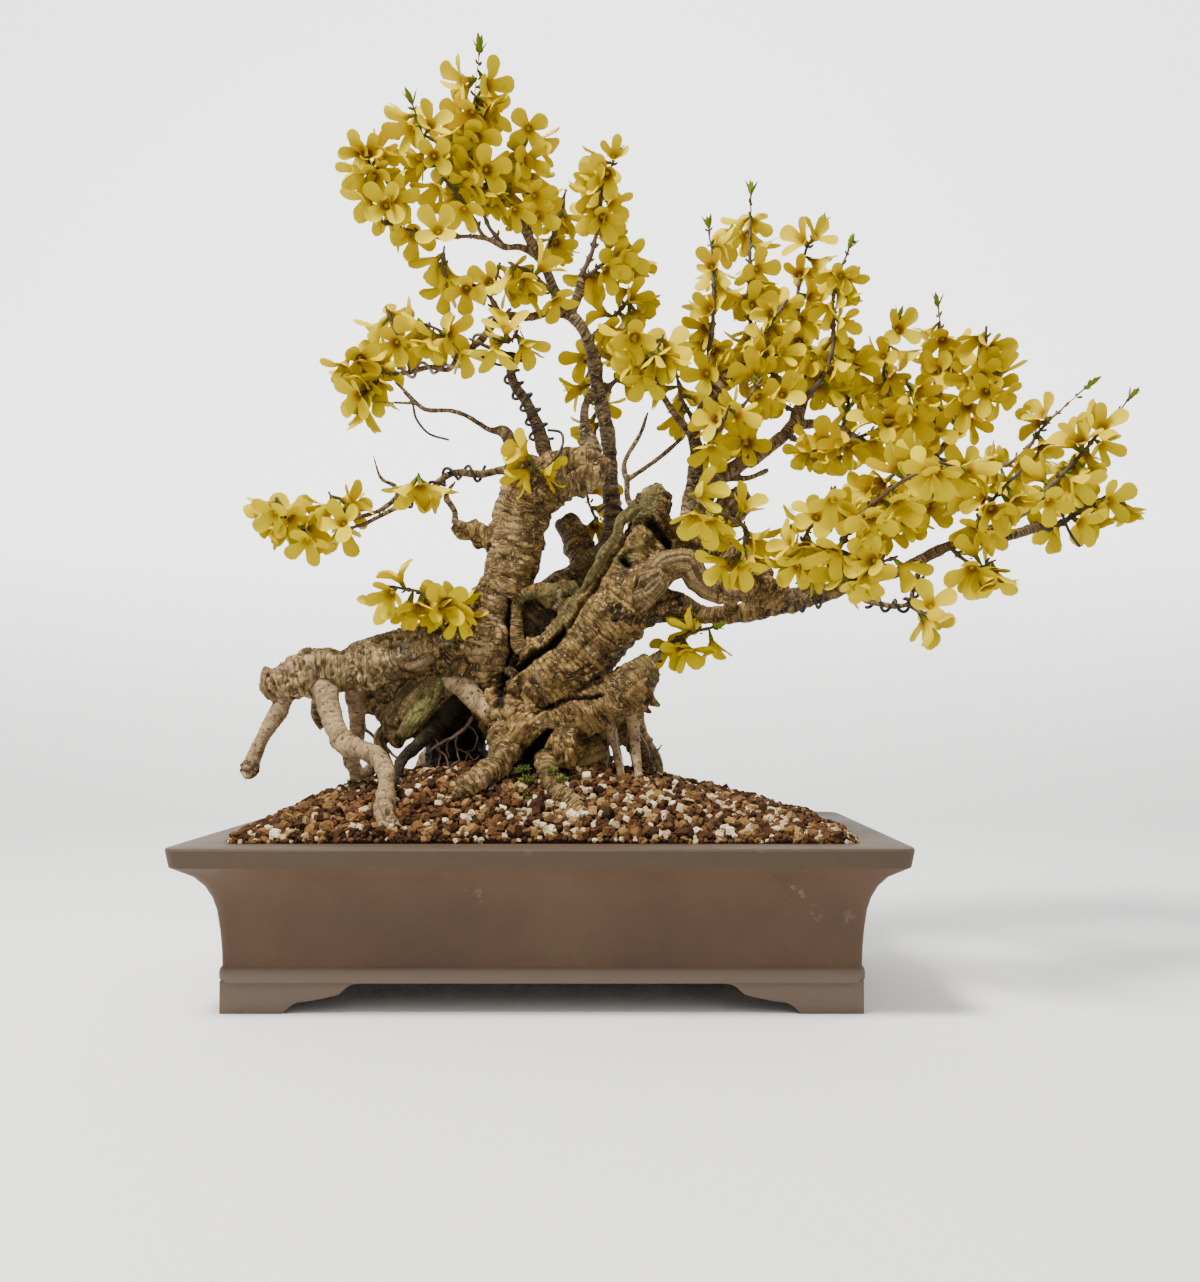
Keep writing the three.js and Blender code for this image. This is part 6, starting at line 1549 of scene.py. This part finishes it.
# How deep each part begins and its kind for the colour: stalk, calyx, tube, throat. A lobe runs on from it.
STALK_DEPTH = 0.0110
PART_DEPTHS = (STALK_DEPTH, 0.0080, 0.0050, 0.0020)
PART_KINDS = (0.0, 0.22, 0.48, 0.60)
EYE_KIND = 0.95
SAME = 1e-6

flower_shape = started(bpy.ops.mesh.primitive_circle_add, vertices=2 * LOBES, radius=MOUTH_RADIUS)
bloom = edit_mesh(flower_shape)
for i, vertex in enumerate(bloom.verts):
    angle = math.pi / LOBES * i
    vertex.co = (MOUTH_RADIUS * math.cos(angle), MOUTH_RADIUS * math.sin(angle), 0)
bpy.ops.mesh.select_all(action="SELECT")
bpy.ops.mesh.select_mode(type="EDGE")
for depth, radius in TUBE_RINGS:
    extrude(0, 0, -depth)
    bloom = bmesh.from_edit_mesh(flower_shape.data)
    for vertex in bloom.verts:
        if vertex.select:
            angle = math.atan2(vertex.co.y, vertex.co.x)
            vertex.co = (radius * math.cos(angle), radius * math.sin(angle), -depth)
    if depth == EYE_DEPTH:
        bpy.ops.mesh.edge_face_add()
        bpy.ops.mesh.poke()
        bpy.ops.mesh.select_all(action="DESELECT")
        for edge in bmesh.from_edit_mesh(flower_shape.data).edges:
            on_ring = all(abs(vertex.co.z + depth) < SAME for vertex in edge.verts)
            edge.select_set(on_ring and all(vertex.co.xy.length > 0.001 for vertex in edge.verts))
for lobe in range(LOBES):
    turn = math.pi / LOBES * (2 * lobe + 1)
    axis = Vector((math.cos(turn), math.sin(turn), 0))
    across_axis = Vector((-axis.y, axis.x, 0))
    bpy.ops.mesh.select_all(action="DESELECT")
    bloom = bmesh.from_edit_mesh(flower_shape.data)
    for edge in bloom.edges:
        middle = (edge.verts[0].co + edge.verts[1].co) / 2
        level = abs(edge.verts[0].co.z) + abs(edge.verts[1].co.z) < SAME
        edge.select_set(level and middle.length < MOUTH_RADIUS and middle.normalized().dot(axis) > 0.8)
    for reach, half_width, dip in LOBE_ROWS:
        extrude(0, 0, 0)
        bloom = bmesh.from_edit_mesh(flower_shape.data)
        for vertex in bloom.verts:
            if vertex.select:
                side = vertex.co.dot(across_axis)
                side = 0 if abs(side) < SAME else math.copysign(1, side)
                along_lobe = reach if side else reach + LOBE_BULGE
                vertex.co = axis * along_lobe + across_axis * side * half_width
                vertex.co.z = 0 if side else -dip
        bmesh.update_edit_mesh(flower_shape.data)
bpy.ops.mesh.select_mode(type="VERT")
leave_edit()
flower_points, flower_faces = lifted_shape(flower_shape)
flower_reach = np.hypot(flower_points[:, 0], flower_points[:, 1])
flower_depth = -flower_points[:, 2]
flower_lobe = (np.degrees(np.arctan2(flower_points[:, 1], flower_points[:, 0])) % 360 // 90).astype(int)
flower_lobe[flower_reach < MOUTH_RADIUS * 1.1] = LOBES
in_stalk = flower_depth > STALK_DEPTH
lobe_kind = 0.68 + 0.32 * np.clip(flower_reach / 0.0205, 0, 1)
flower_kind = np.select([flower_depth > depth for depth in PART_DEPTHS], PART_KINDS, lobe_kind)
flower_kind[(flower_reach < 0.001) & (flower_depth < 0.0070)] = EYE_KIND

# A young leaf: a narrow green blade, folded along its middle and curled up a little at its end. It lies along
# +Y from its foot at the origin.
LEAF_LENGTH = 0.013
LEAF_CURL = 0.0016
LEAF_FOLD = 0.6
LEAF_KIND = 0.27
LEAF_ROWS = [(0, 0.0004), (0.30, 0.0017), (0.62, 0.0019), (1, 0.0002)]
leaf_shape = started(bpy.ops.mesh.primitive_grid_add, x_subdivisions=2, y_subdivisions=3, size=1)
blade = edit_mesh(leaf_shape)
for vertex in blade.verts:
    share, half_width = LEAF_ROWS[round((vertex.co.y + 0.5) * 3)]
    side = round(vertex.co.x * 2)
    rise = abs(side) * half_width * LEAF_FOLD + LEAF_CURL * share * share
    vertex.co = (side * half_width, share * LEAF_LENGTH, rise)
leave_edit()
leaf_points, leaf_faces = lifted_shape(leaf_shape)

# A bud: a six-sided spindle of brown or green scales that sits at a knuckle of a shoot. It lies along +Y from
# its foot at the origin, and the moss is made from the same shape.
BUD_RADIUS = 0.00095
BUD_HALF = 0.0021
BUD_KINDS = (0.03, 0.06, 0.22)
bud_shape = started(bpy.ops.mesh.primitive_uv_sphere_add, segments=6, ring_count=4, radius=1)
bulb = edit_mesh(bud_shape)
for vertex in bulb.verts:
    x, y, z = vertex.co
    vertex.co = (x * BUD_RADIUS, (z + 0.8) * BUD_HALF, y * BUD_RADIUS)
leave_edit()
bud_points, bud_faces = lifted_shape(bud_shape)

# The flowers and buds in place. Lobes, stalks and turns vary from flower to flower, and many flowers have a
# twin from the same bud, but none where wood shows between the flowers. Petals are a deep clear yellow, and
# the shoots brown with pale pores.
TWIN_SHARE = 0.56
CLEAR_WIDTH = 17
CLEAR_WOOD = ("wired_arm", "wired_upright", "rear_stem", "bend_stem", "fork_left_stem", "right_limb")
CLEAR_LINES = [[(across, down, CLEAR_WIDTH) for across, down, behind, half in BRANCH_LIMBS[wood]]
               for wood in CLEAR_WOOD] + [[(731, 505, 30), (731, 506, 30)]]
TWIG_STEP = 0.003
KNUCKLE_SPACING = 0.013
TWIG_SWAY = 0.0009
WANDER_SEED = 7
SIDE_BUD_SPACING = 0.011
LEAVES_AT_TIP = 6
LEAF_SIZE = 1.15
# What a spray is made of along its kinds: stalk, green calyx and leaf, eye, throat and the petal's gold.
BLOOM_COLOURS = [(0.02, (0.085, 0.060, 0.012)), (0.20, (0.105, 0.135, 0.012)), (0.34, (0.150, 0.180, 0.012)),
                 (0.46, (0.20, 0.080, 0.0)), (0.60, (0.40, 0.240, 0.0)), (0.74, (0.54, 0.395, 0.0)),
                 (0.98, (0.63, 0.480, 0.0))]
YOUNG_BARK = [(0.35, (0.038, 0.020, 0.010)), (0.5, (0.078, 0.044, 0.021)), (0.7, (0.145, 0.093, 0.047))]
PORE_PALE = (0.22, 0.155, 0.085)
bloom_random = random.Random(90210)


def set_on(points, foot, sideways, lengthwise, upward):
    """A shape's points set on a foot, with its own X, Y and Z along three directions."""
    return foot + points[:, :1] * sideways + points[:, 1:2] * lengthwise + points[:, 2:] * upward


def lobe_draws(low, high, middle=0):
    """A draw for each lobe, given to that lobe's points; the tube's points get none."""
    draws = [middle + bloom_random.uniform(low, high) for lobe in range(LOBES)]
    return np.array(draws + [0])[flower_lobe]


def flower_copy(flower):
    """One flower's points in place, with its lobes curved and twisted and its stalk drawn to the shoot."""
    points = flower_points * flower["size"]
    mouth = MOUTH_RADIUS * flower["size"]
    angle = np.arctan2(points[:, 1], points[:, 0])
    reach = flower_reach * flower["size"]
    beyond = np.clip(reach - mouth, 0, None)
    rise = lobe_draws(-0.25, 0.25, 0.50 + 0.45 * flower["flare"])
    curl = lobe_draws(0, 55)
    sway = lobe_draws(-0.14, 0.14)
    roll = lobe_draws(-0.35, 0.35)
    lean = rise - curl * beyond / 2
    share = beyond / 0.016
    side_offset = np.sin((angle % (math.pi / 2)) - math.pi / 4) * reach
    points[:, 2] += beyond * np.sin(lean) + roll * side_offset * share
    new_reach = np.where(beyond > 0, mouth + beyond * np.cos(lean), reach)
    angle = angle + sway * share
    points[:, 0], points[:, 1] = new_reach * np.cos(angle), new_reach * np.sin(angle)
    points[:, 2] += np.array([bloom_random.uniform(-0.0005, 0.0005) for point in points]) * (beyond > 0)
    points[in_stalk, 2] = -flower["stalk"]
    facing = unit(flower["facing"] - np.array([0, 0, bloom_random.uniform(0.1, 0.7)]))
    side = turned(sideways_of(facing, 0.9), facing, flower["spin"])
    foot = flower["root"] + facing * flower["stalk"]
    return set_on(points, foot, side, np.cross(facing, side), facing)


def twin_of(flower):
    """A second flower from the same bud, a little smaller and swung to one side."""
    swing = bloom_random.choice((-1, 1)) * bloom_random.uniform(0.9, 1.5)
    beside = turned(flower["facing"], unit(flower["middle"] - flower["root"] + (0, 0, 0.02)), 0.3)
    beside = turned(beside, np.array([0.0, 0.0, 1.0]), swing)
    return {**flower, "facing": unit(beside), "size": 0.92 * flower["size"]}


def leaf_tuft(path):
    """Young leaves round the end of a shoot, in pairs that spread a little."""
    point = path[0][-3]
    along = unit(path[0][-1] - point)
    u, v = across_pair(along)
    leaves = []
    for i in range(LEAVES_AT_TIP):
        turn = math.pi * i + math.pi / 2 * (i // 2) + bloom_random.uniform(-0.4, 0.4)
        outward = u * math.cos(turn) + v * math.sin(turn)
        spread = bloom_random.uniform(0.25, 0.75)
        lengthwise = unit(along * math.cos(spread) + outward * math.sin(spread))
        upward = unit(np.cross(np.cross(lengthwise, along), lengthwise))
        points = leaf_points * LEAF_SIZE * bloom_random.uniform(0.75, 1.15)
        leaves.append(set_on(points, point, np.cross(lengthwise, upward), lengthwise, upward))
    return leaves


def side_buds(path):
    """Pairs of buds that sit at the knuckles of a shoot, pointing forward along it."""
    buds = []
    length = path[2][-1]
    reach = SIDE_BUD_SPACING
    while reach < length - SIDE_BUD_SPACING / 2:
        point, along, radius = path_at(path, reach / length)
        u, v = across_pair(along)
        turn = bloom_random.uniform(0, math.pi)
        for side in (0, math.pi):
            outward = u * math.cos(turn + side) + v * math.sin(turn + side)
            lengthwise = unit(along + outward * bloom_random.uniform(0.5, 1.1))
            sideways = unit(np.cross(lengthwise, outward))
            points = bud_points * bloom_random.uniform(0.7, 1.5)
            foot = point + outward * radius * 0.7
            buds.append(set_on(points, foot, sideways, lengthwise, np.cross(sideways, lengthwise)))
        reach += SIDE_BUD_SPACING * bloom_random.uniform(0.8, 1.3)
    return buds


def wandering(points, sway, size):
    """A path's points moved aside by smooth noise, as thin wood and roots grow."""
    noise.seed_set(WANDER_SEED)
    return points + sway * np.array([noise.noise_vector(Vector(point / size)) for point in points])


petals, tree, shader = node_material("petals")
veins = object_noise(tree, 500, 3)
tone = plus(value_ramp(veins, 0.3, 0.7, -0.05, 0.05), times(attribute_value(tree, "tone"), 0.20))
give(shader, "Base Color", colour_ramp(plus(attribute_value(tree, "kind"), tone), BLOOM_COLOURS))
shader.inputs["Roughness"].default_value = 0.55
shader.inputs["Specular IOR Level"].default_value = 0.05
shader.inputs["Subsurface Weight"].default_value = 0.1
shader.inputs["Subsurface Scale"].default_value = 0.002
shader.inputs["Subsurface Radius"].default_value = (1.0, 0.8, 0.1)
give(shader, "Normal", bumped(veins, 0.0004, 0.3))

twig_bark, tree, shader = node_material("twig_bark")
pores = object_noise(tree, 700, 3, 0.6)
young = colour_ramp(object_noise(tree, 45, 2), YOUNG_BARK)
give(shader, "Base Color", mixed_colour(value_ramp(pores, 0.6, 0.7, 0, 0.5), young, PORE_PALE))
shader.inputs["Roughness"].default_value = 0.75
give(shader, "Normal", bumped(pores, 0.0005, 0.5))

for name, rows in SPRAYS.items():
    shoot_paths = []
    leaves = []
    buds = []
    for path, (carrier, count, first, last, readings) in zip(shoots[name], rows):
        buds += side_buds(path)
        points, radii = rounded_path(*path, TWIG_STEP)
        if last < 1:
            leaves += leaf_tuft(path)
            points, radii = points[:-3], radii[:-3]
        steps = np.arange(len(points)) * TWIG_STEP / KNUCKLE_SPACING
        knuckle = np.abs(np.sin(steps * math.pi + len(shoot_paths)))
        radii = radii * (0.62 + 0.46 * np.clip(1 - knuckle * 1.8, 0, 1))
        shoot_paths.append((wandering(points, TWIG_SWAY, 0.009), radii))
    twigs = tubes("twigs_" + name, shoot_paths, 6)
    coat(twigs, twig_bark)
    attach(twigs, "root")
    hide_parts("spray_" + name)
    copies = [flower_copy(flower) for flower in spray_flowers[name]]
    for flower in spray_flowers[name]:
        across, down = seen_at(flower["middle"][None])
        over_wood = max(near_line(across, down, line)[0] for line in CLEAR_LINES)
        if bloom_random.random() < TWIN_SHARE and over_wood == 0:
            copies.append(flower_copy(twin_of(flower)))
    faces = copied_faces(flower_faces, len(flower_points), len(copies))
    base = len(copies) * len(flower_points)
    faces += copied_faces(leaf_faces, len(leaf_points), len(leaves), base)
    leaf_count = len(leaves) * len(leaf_points)
    faces += copied_faces(bud_faces, len(bud_points), len(buds), base + leaf_count)
    flowers = mesh_of("flowers_" + name, np.concatenate(copies + leaves + buds), faces)
    bud_kinds = np.repeat([bloom_random.choice(BUD_KINDS) for bud in buds], len(bud_points))
    kinds = [np.tile(flower_kind, len(copies)), np.full(leaf_count, LEAF_KIND), bud_kinds]
    set_attribute(flowers, "kind", np.concatenate(kinds))
    tones = np.repeat([bloom_random.uniform(-0.5, 0.5) for flower in copies], len(flower_points))
    set_attribute(flowers, "tone", np.concatenate([tones, np.zeros(leaf_count + len(bud_kinds))]))
    coat(flowers, petals)
    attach(flowers, "root")
    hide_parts("spray_" + name)

# The wires. Soft aluminium training wire wound round four of the branches to hold them where they were bent:
# dark anodised, and worn to bare metal on the long arm.
WIRE_RADIUS = 0.0014
WIRE_CLEARANCE = 0.0006
WIRE_STEPS = 20
WIRE_PATH_STEP = 0.002
# The wood each wire is wound on, where it starts and ends as shares of its length, and its turns.
WIRES = {
    "wire_low_left": ("low_left_branch", 0.20, 0.78, 5),
    "wire_upright": ("wired_upright", 0.18, 0.97, 6),
    "wire_arm": ("wired_arm", 0.30, 0.97, 6),
    "wire_right": ("wire_loop_twig", 0.25, 0.93, 4),
}
# Bits of wire that aren't wound: free ends and a guy, as readings of their own.
LOOSE_WIRES = {
    "right_free_end": [(1046, 500, -44, 1.5), (1056, 500, -48, 1.5), (1063, 516, -50, 1.5),
        (1070, 533, -50, 1.5), (1080, 547, -50, 1.4)],
    "left_free_end": [(404, 392, -22, 1.3), (412, 402, -26, 1.3), (416, 418, -28, 1.3), (428, 433, -28, 1.3),
        (449, 440, -28, 1.2)],
    "upright_run": [(511, 362, -18, 1.5), (500, 365, -20, 1.5), (488, 360, -22, 1.5), (474, 351, -22, 1.4)],
    "stem_ring": [(598, 512, 20, 1.4), (604, 507, 22, 1.4), (611, 505, 24, 1.4), (619, 507, 28, 1.4),
        (624, 512, 34, 1.4)],
    "low_loop": [(545, 470, -30, 1.5), (556, 458, -34, 1.5), (563, 442, -30, 1.5), (560, 432, -22, 1.5),
        (548, 430, -18, 1.4)],
    "limb_guy": [(786, 612, -44, 1.6), (796, 596, -52, 1.6), (802, 612, -46, 1.6), (812, 592, -50, 1.6),
        (818, 608, -46, 1.6), (828, 588, -52, 1.6), (846, 576, -60, 1.6), (860, 568, -62, 1.5)],
}


def wire_finish(name, dark, light):
    """Anodised aluminium that is blotched with tarnish from a dark to a light colour."""
    material, tree, shader = node_material(name)
    tarnish = object_noise(tree, 180, 4)
    give(shader, "Base Color", colour_ramp(tarnish, [(0.35, dark), (0.65, light)]))
    give(shader, "Roughness", value_ramp(tarnish, 0.3, 0.7, 0.38, 0.6))
    shader.inputs["Metallic"].default_value = 0.55
    return material


dark_wire = wire_finish("dark_wire", (0.018, 0.014, 0.012), (0.060, 0.045, 0.036))
worn_wire = wire_finish("worn_wire", (0.130, 0.100, 0.076), (0.400, 0.340, 0.280))
for name, (around, first, last, turns) in WIRES.items():
    host = finished_path(*rounded_path(*wood_paths[around], WIRE_PATH_STEP))
    coil = []
    steps = turns * WIRE_STEPS
    for i in range(steps + 1):
        point, along, radius = path_at(host, first + (last - first) * i / steps)
        u = unit(np.cross((0.0, 1.0, 0.0), along))
        v = np.cross(along, u)
        turn = math.tau * i / WIRE_STEPS
        away = radius + WIRE_RADIUS + WIRE_CLEARANCE
        coil.append(point + (u * math.cos(turn) + v * math.sin(turn)) * away)
    winding = tubes(name + "_winding", [(np.array(coil), np.full(len(coil), WIRE_RADIUS))], 8)
    coat(winding, worn_wire if name == "wire_arm" else dark_wire)
    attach(winding, "root")
    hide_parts(name)
loose_paths = [rounded_path(*measured_path(readings), WIRE_PATH_STEP) for readings in LOOSE_WIRES.values()]
loose_wires = tubes("loose_wires", loose_paths, 8)
coat(loose_wires, dark_wire)
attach(loose_wires, "root")

# The fine roots. Hair-thin feeders that hang in the hollow under the trunk and under its right side, left
# from when the soil stood higher. Their skin is reddish brown and flakes off dry and greyish.
FINE_ROOTS = [
    [(473, 718, -12, 2), (466, 727, -14, 1.9), (455, 735, -16, 1.7), (441, 744, -18, 1.5),
        (425, 755, -20, 1.1)],
    [(457, 733, -15, 1.0), (456, 746, -14, 0.9), (459, 760, -15, 0.8), (458, 778, -16, 0.6)],
    [(462, 729, -14, 0.9), (470, 727, -10, 0.8), (477, 737, -8, 0.8), (474, 749, -10, 0.7),
        (465, 752, -12, 0.5)],
    [(450, 738, -16, 0.9), (447, 748, -17, 0.8), (449, 757, -17, 0.5)],
    [(456, 748, -13, 0.8), (466, 753, -12, 0.8), (473, 760, -14, 0.7), (479, 756, -16, 0.5)],
    [(436, 748, -18, 1.0), (444, 754, -18, 1.0), (448, 764, -18, 0.9), (450, 779, -20, 0.7)],
    [(459, 760, -14, 0.8), (452, 764, -15, 0.8), (452, 778, -17, 0.6)],
    [(468, 752, -12, 0.8), (464, 764, -13, 0.7), (466, 778, -16, 0.5)],
    [(434, 770, -20, 1.0), (444, 775, -24, 1.0), (456, 779, -28, 0.9), (470, 776, -30, 0.7)],
    [(428, 736, -10, 0.9), (436, 741, -14, 0.9), (440, 756, -15, 0.7), (438, 776, -18, 0.5)],
    [(396, 776, -52, 1.2), (404, 782, -56, 1.1), (414, 788, -62, 0.9), (426, 795, -68, 0.6)],
    [(364, 728, 8, 1.8), (374, 737, 4, 1.7), (388, 749, 0, 1.5), (398, 760, -6, 1.2)],
    [(616, 728, -42, 1.3), (617, 744, -44, 1.2), (621, 760, -48, 1.1), (624, 780, -52, 0.8)],
    [(629, 730, -38, 1.1), (627, 742, -38, 1.0), (628, 752, -40, 0.6)],
    [(638, 728, -30, 1.5), (644, 740, -24, 1.3), (650, 758, -24, 0.7)],
    [(656, 752, -14, 1.4), (660, 748, -14, 1.1), (662, 744, -14, 0.5)],
    [(657, 756, -13, 1.3), (661, 762, -13, 0.9), (662, 767, -13, 0.5)],
    [(606, 730, -38, 1.4), (609, 752, -36, 1.2), (606, 770, -38, 1.0), (608, 786, -42, 0.8)],
    [(643, 732, -14, 1.6), (649, 750, -2, 1.3), (648, 770, 2, 1.1), (651, 786, 2, 0.9)],
]
ROOTLET_SWAY = 0.0012
ROOTLET_SKIN = [(0.36, (0.060, 0.030, 0.016)), (0.50, (0.150, 0.082, 0.050)), (0.64, (0.26, 0.19, 0.13))]
ROOTLET_FLAKE = (0.34, 0.27, 0.19)
rootlet_paths = [rounded_path(*measured_path(readings), 0.002) for readings in FINE_ROOTS]
rootlet_paths = [(wandering(points, ROOTLET_SWAY, 0.007), radii) for points, radii in rootlet_paths]
fine_roots = tubes("fine_roots", rootlet_paths, 6)
feeder_skin, tree, shader = node_material("feeder_skin")
flakes = object_noise(tree, 600, 3)
rootlet = colour_ramp(object_noise(tree, 60, 3), ROOTLET_SKIN)
give(shader, "Base Color", mixed_colour(value_ramp(flakes, 0.58, 0.68, 0, 0.5), rootlet, ROOTLET_FLAKE))
shader.inputs["Roughness"].default_value = 0.8
give(shader, "Normal", bumped(flakes, 0.0004, 0.6))
coat(fine_roots, feeder_skin)
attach(fine_roots, "root")

# The moss. Cushions of bright green moss where the roots meet the damp soil. One pointed shoot, taken from
# the bud's shape, is repeated over each cushion.
MOSS_CUSHIONS = [(523, 771, -66, 8), (528, 782, -74, 9), (523, 794, -80, 9), (530, 799, -90, 7),
                 (552, 772, -84, 6), (562, 781, -90, 6), (352, 786, -10, 7), (360, 790, -12, 6),
                 (344, 790, -6, 5), (512, 796, -74, 6), (604, 790, -60, 4)]
MOSS_SHOOTS = 60
MOSS_SLIM = 0.7
MOSS_SPREAD = np.array([1, 0.8, 0.62])
MOSS_TONES = [(0.1, (0.012, 0.020, 0.003)), (0.6, (0.060, 0.105, 0.012)), (1.0, (0.150, 0.200, 0.030))]
moss_random = random.Random(611)
moss_copies = []
moss_shades = []
for cushion in MOSS_CUSHIONS:
    middle, spread = place(cushion)
    for i in range(MOSS_SHOOTS):
        outward = (moss_random.gauss(0, 1), moss_random.gauss(-0.5, 1), abs(moss_random.gauss(0.3, 0.7)))
        outward = unit(np.array(outward))
        foot = middle + outward * spread * moss_random.uniform(0.35, 0.95) * MOSS_SPREAD
        lengthwise = unit(outward + np.array([0, -0.2, 0.6]))
        sideways = unit(np.cross(lengthwise, (0.3, 0.9, 0.1)))
        upward = np.cross(sideways, lengthwise)
        points = bud_points * moss_random.uniform(0.5, 1.0)
        moss_copies.append(set_on(points, foot, sideways * MOSS_SLIM, lengthwise, upward * MOSS_SLIM))
        moss_shades.append(moss_random.random())
faces = copied_faces(bud_faces, len(bud_points), len(moss_copies))
moss_cushions = mesh_of("moss_cushions", np.concatenate(moss_copies), faces)
set_attribute(moss_cushions, "tone", np.repeat(moss_shades, len(bud_points)))
moss_green, tree, shader = node_material("moss_green")
moss_tone = plus(attribute_value(tree, "tone"), times(object_noise(tree, 700, 2), 0.4))
give(shader, "Base Color", colour_ramp(moss_tone, MOSS_TONES))
shader.inputs["Roughness"].default_value = 0.75
shader.inputs["Specular IOR Level"].default_value = 0.2
coat(moss_cushions, moss_green)
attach(moss_cushions, "root")
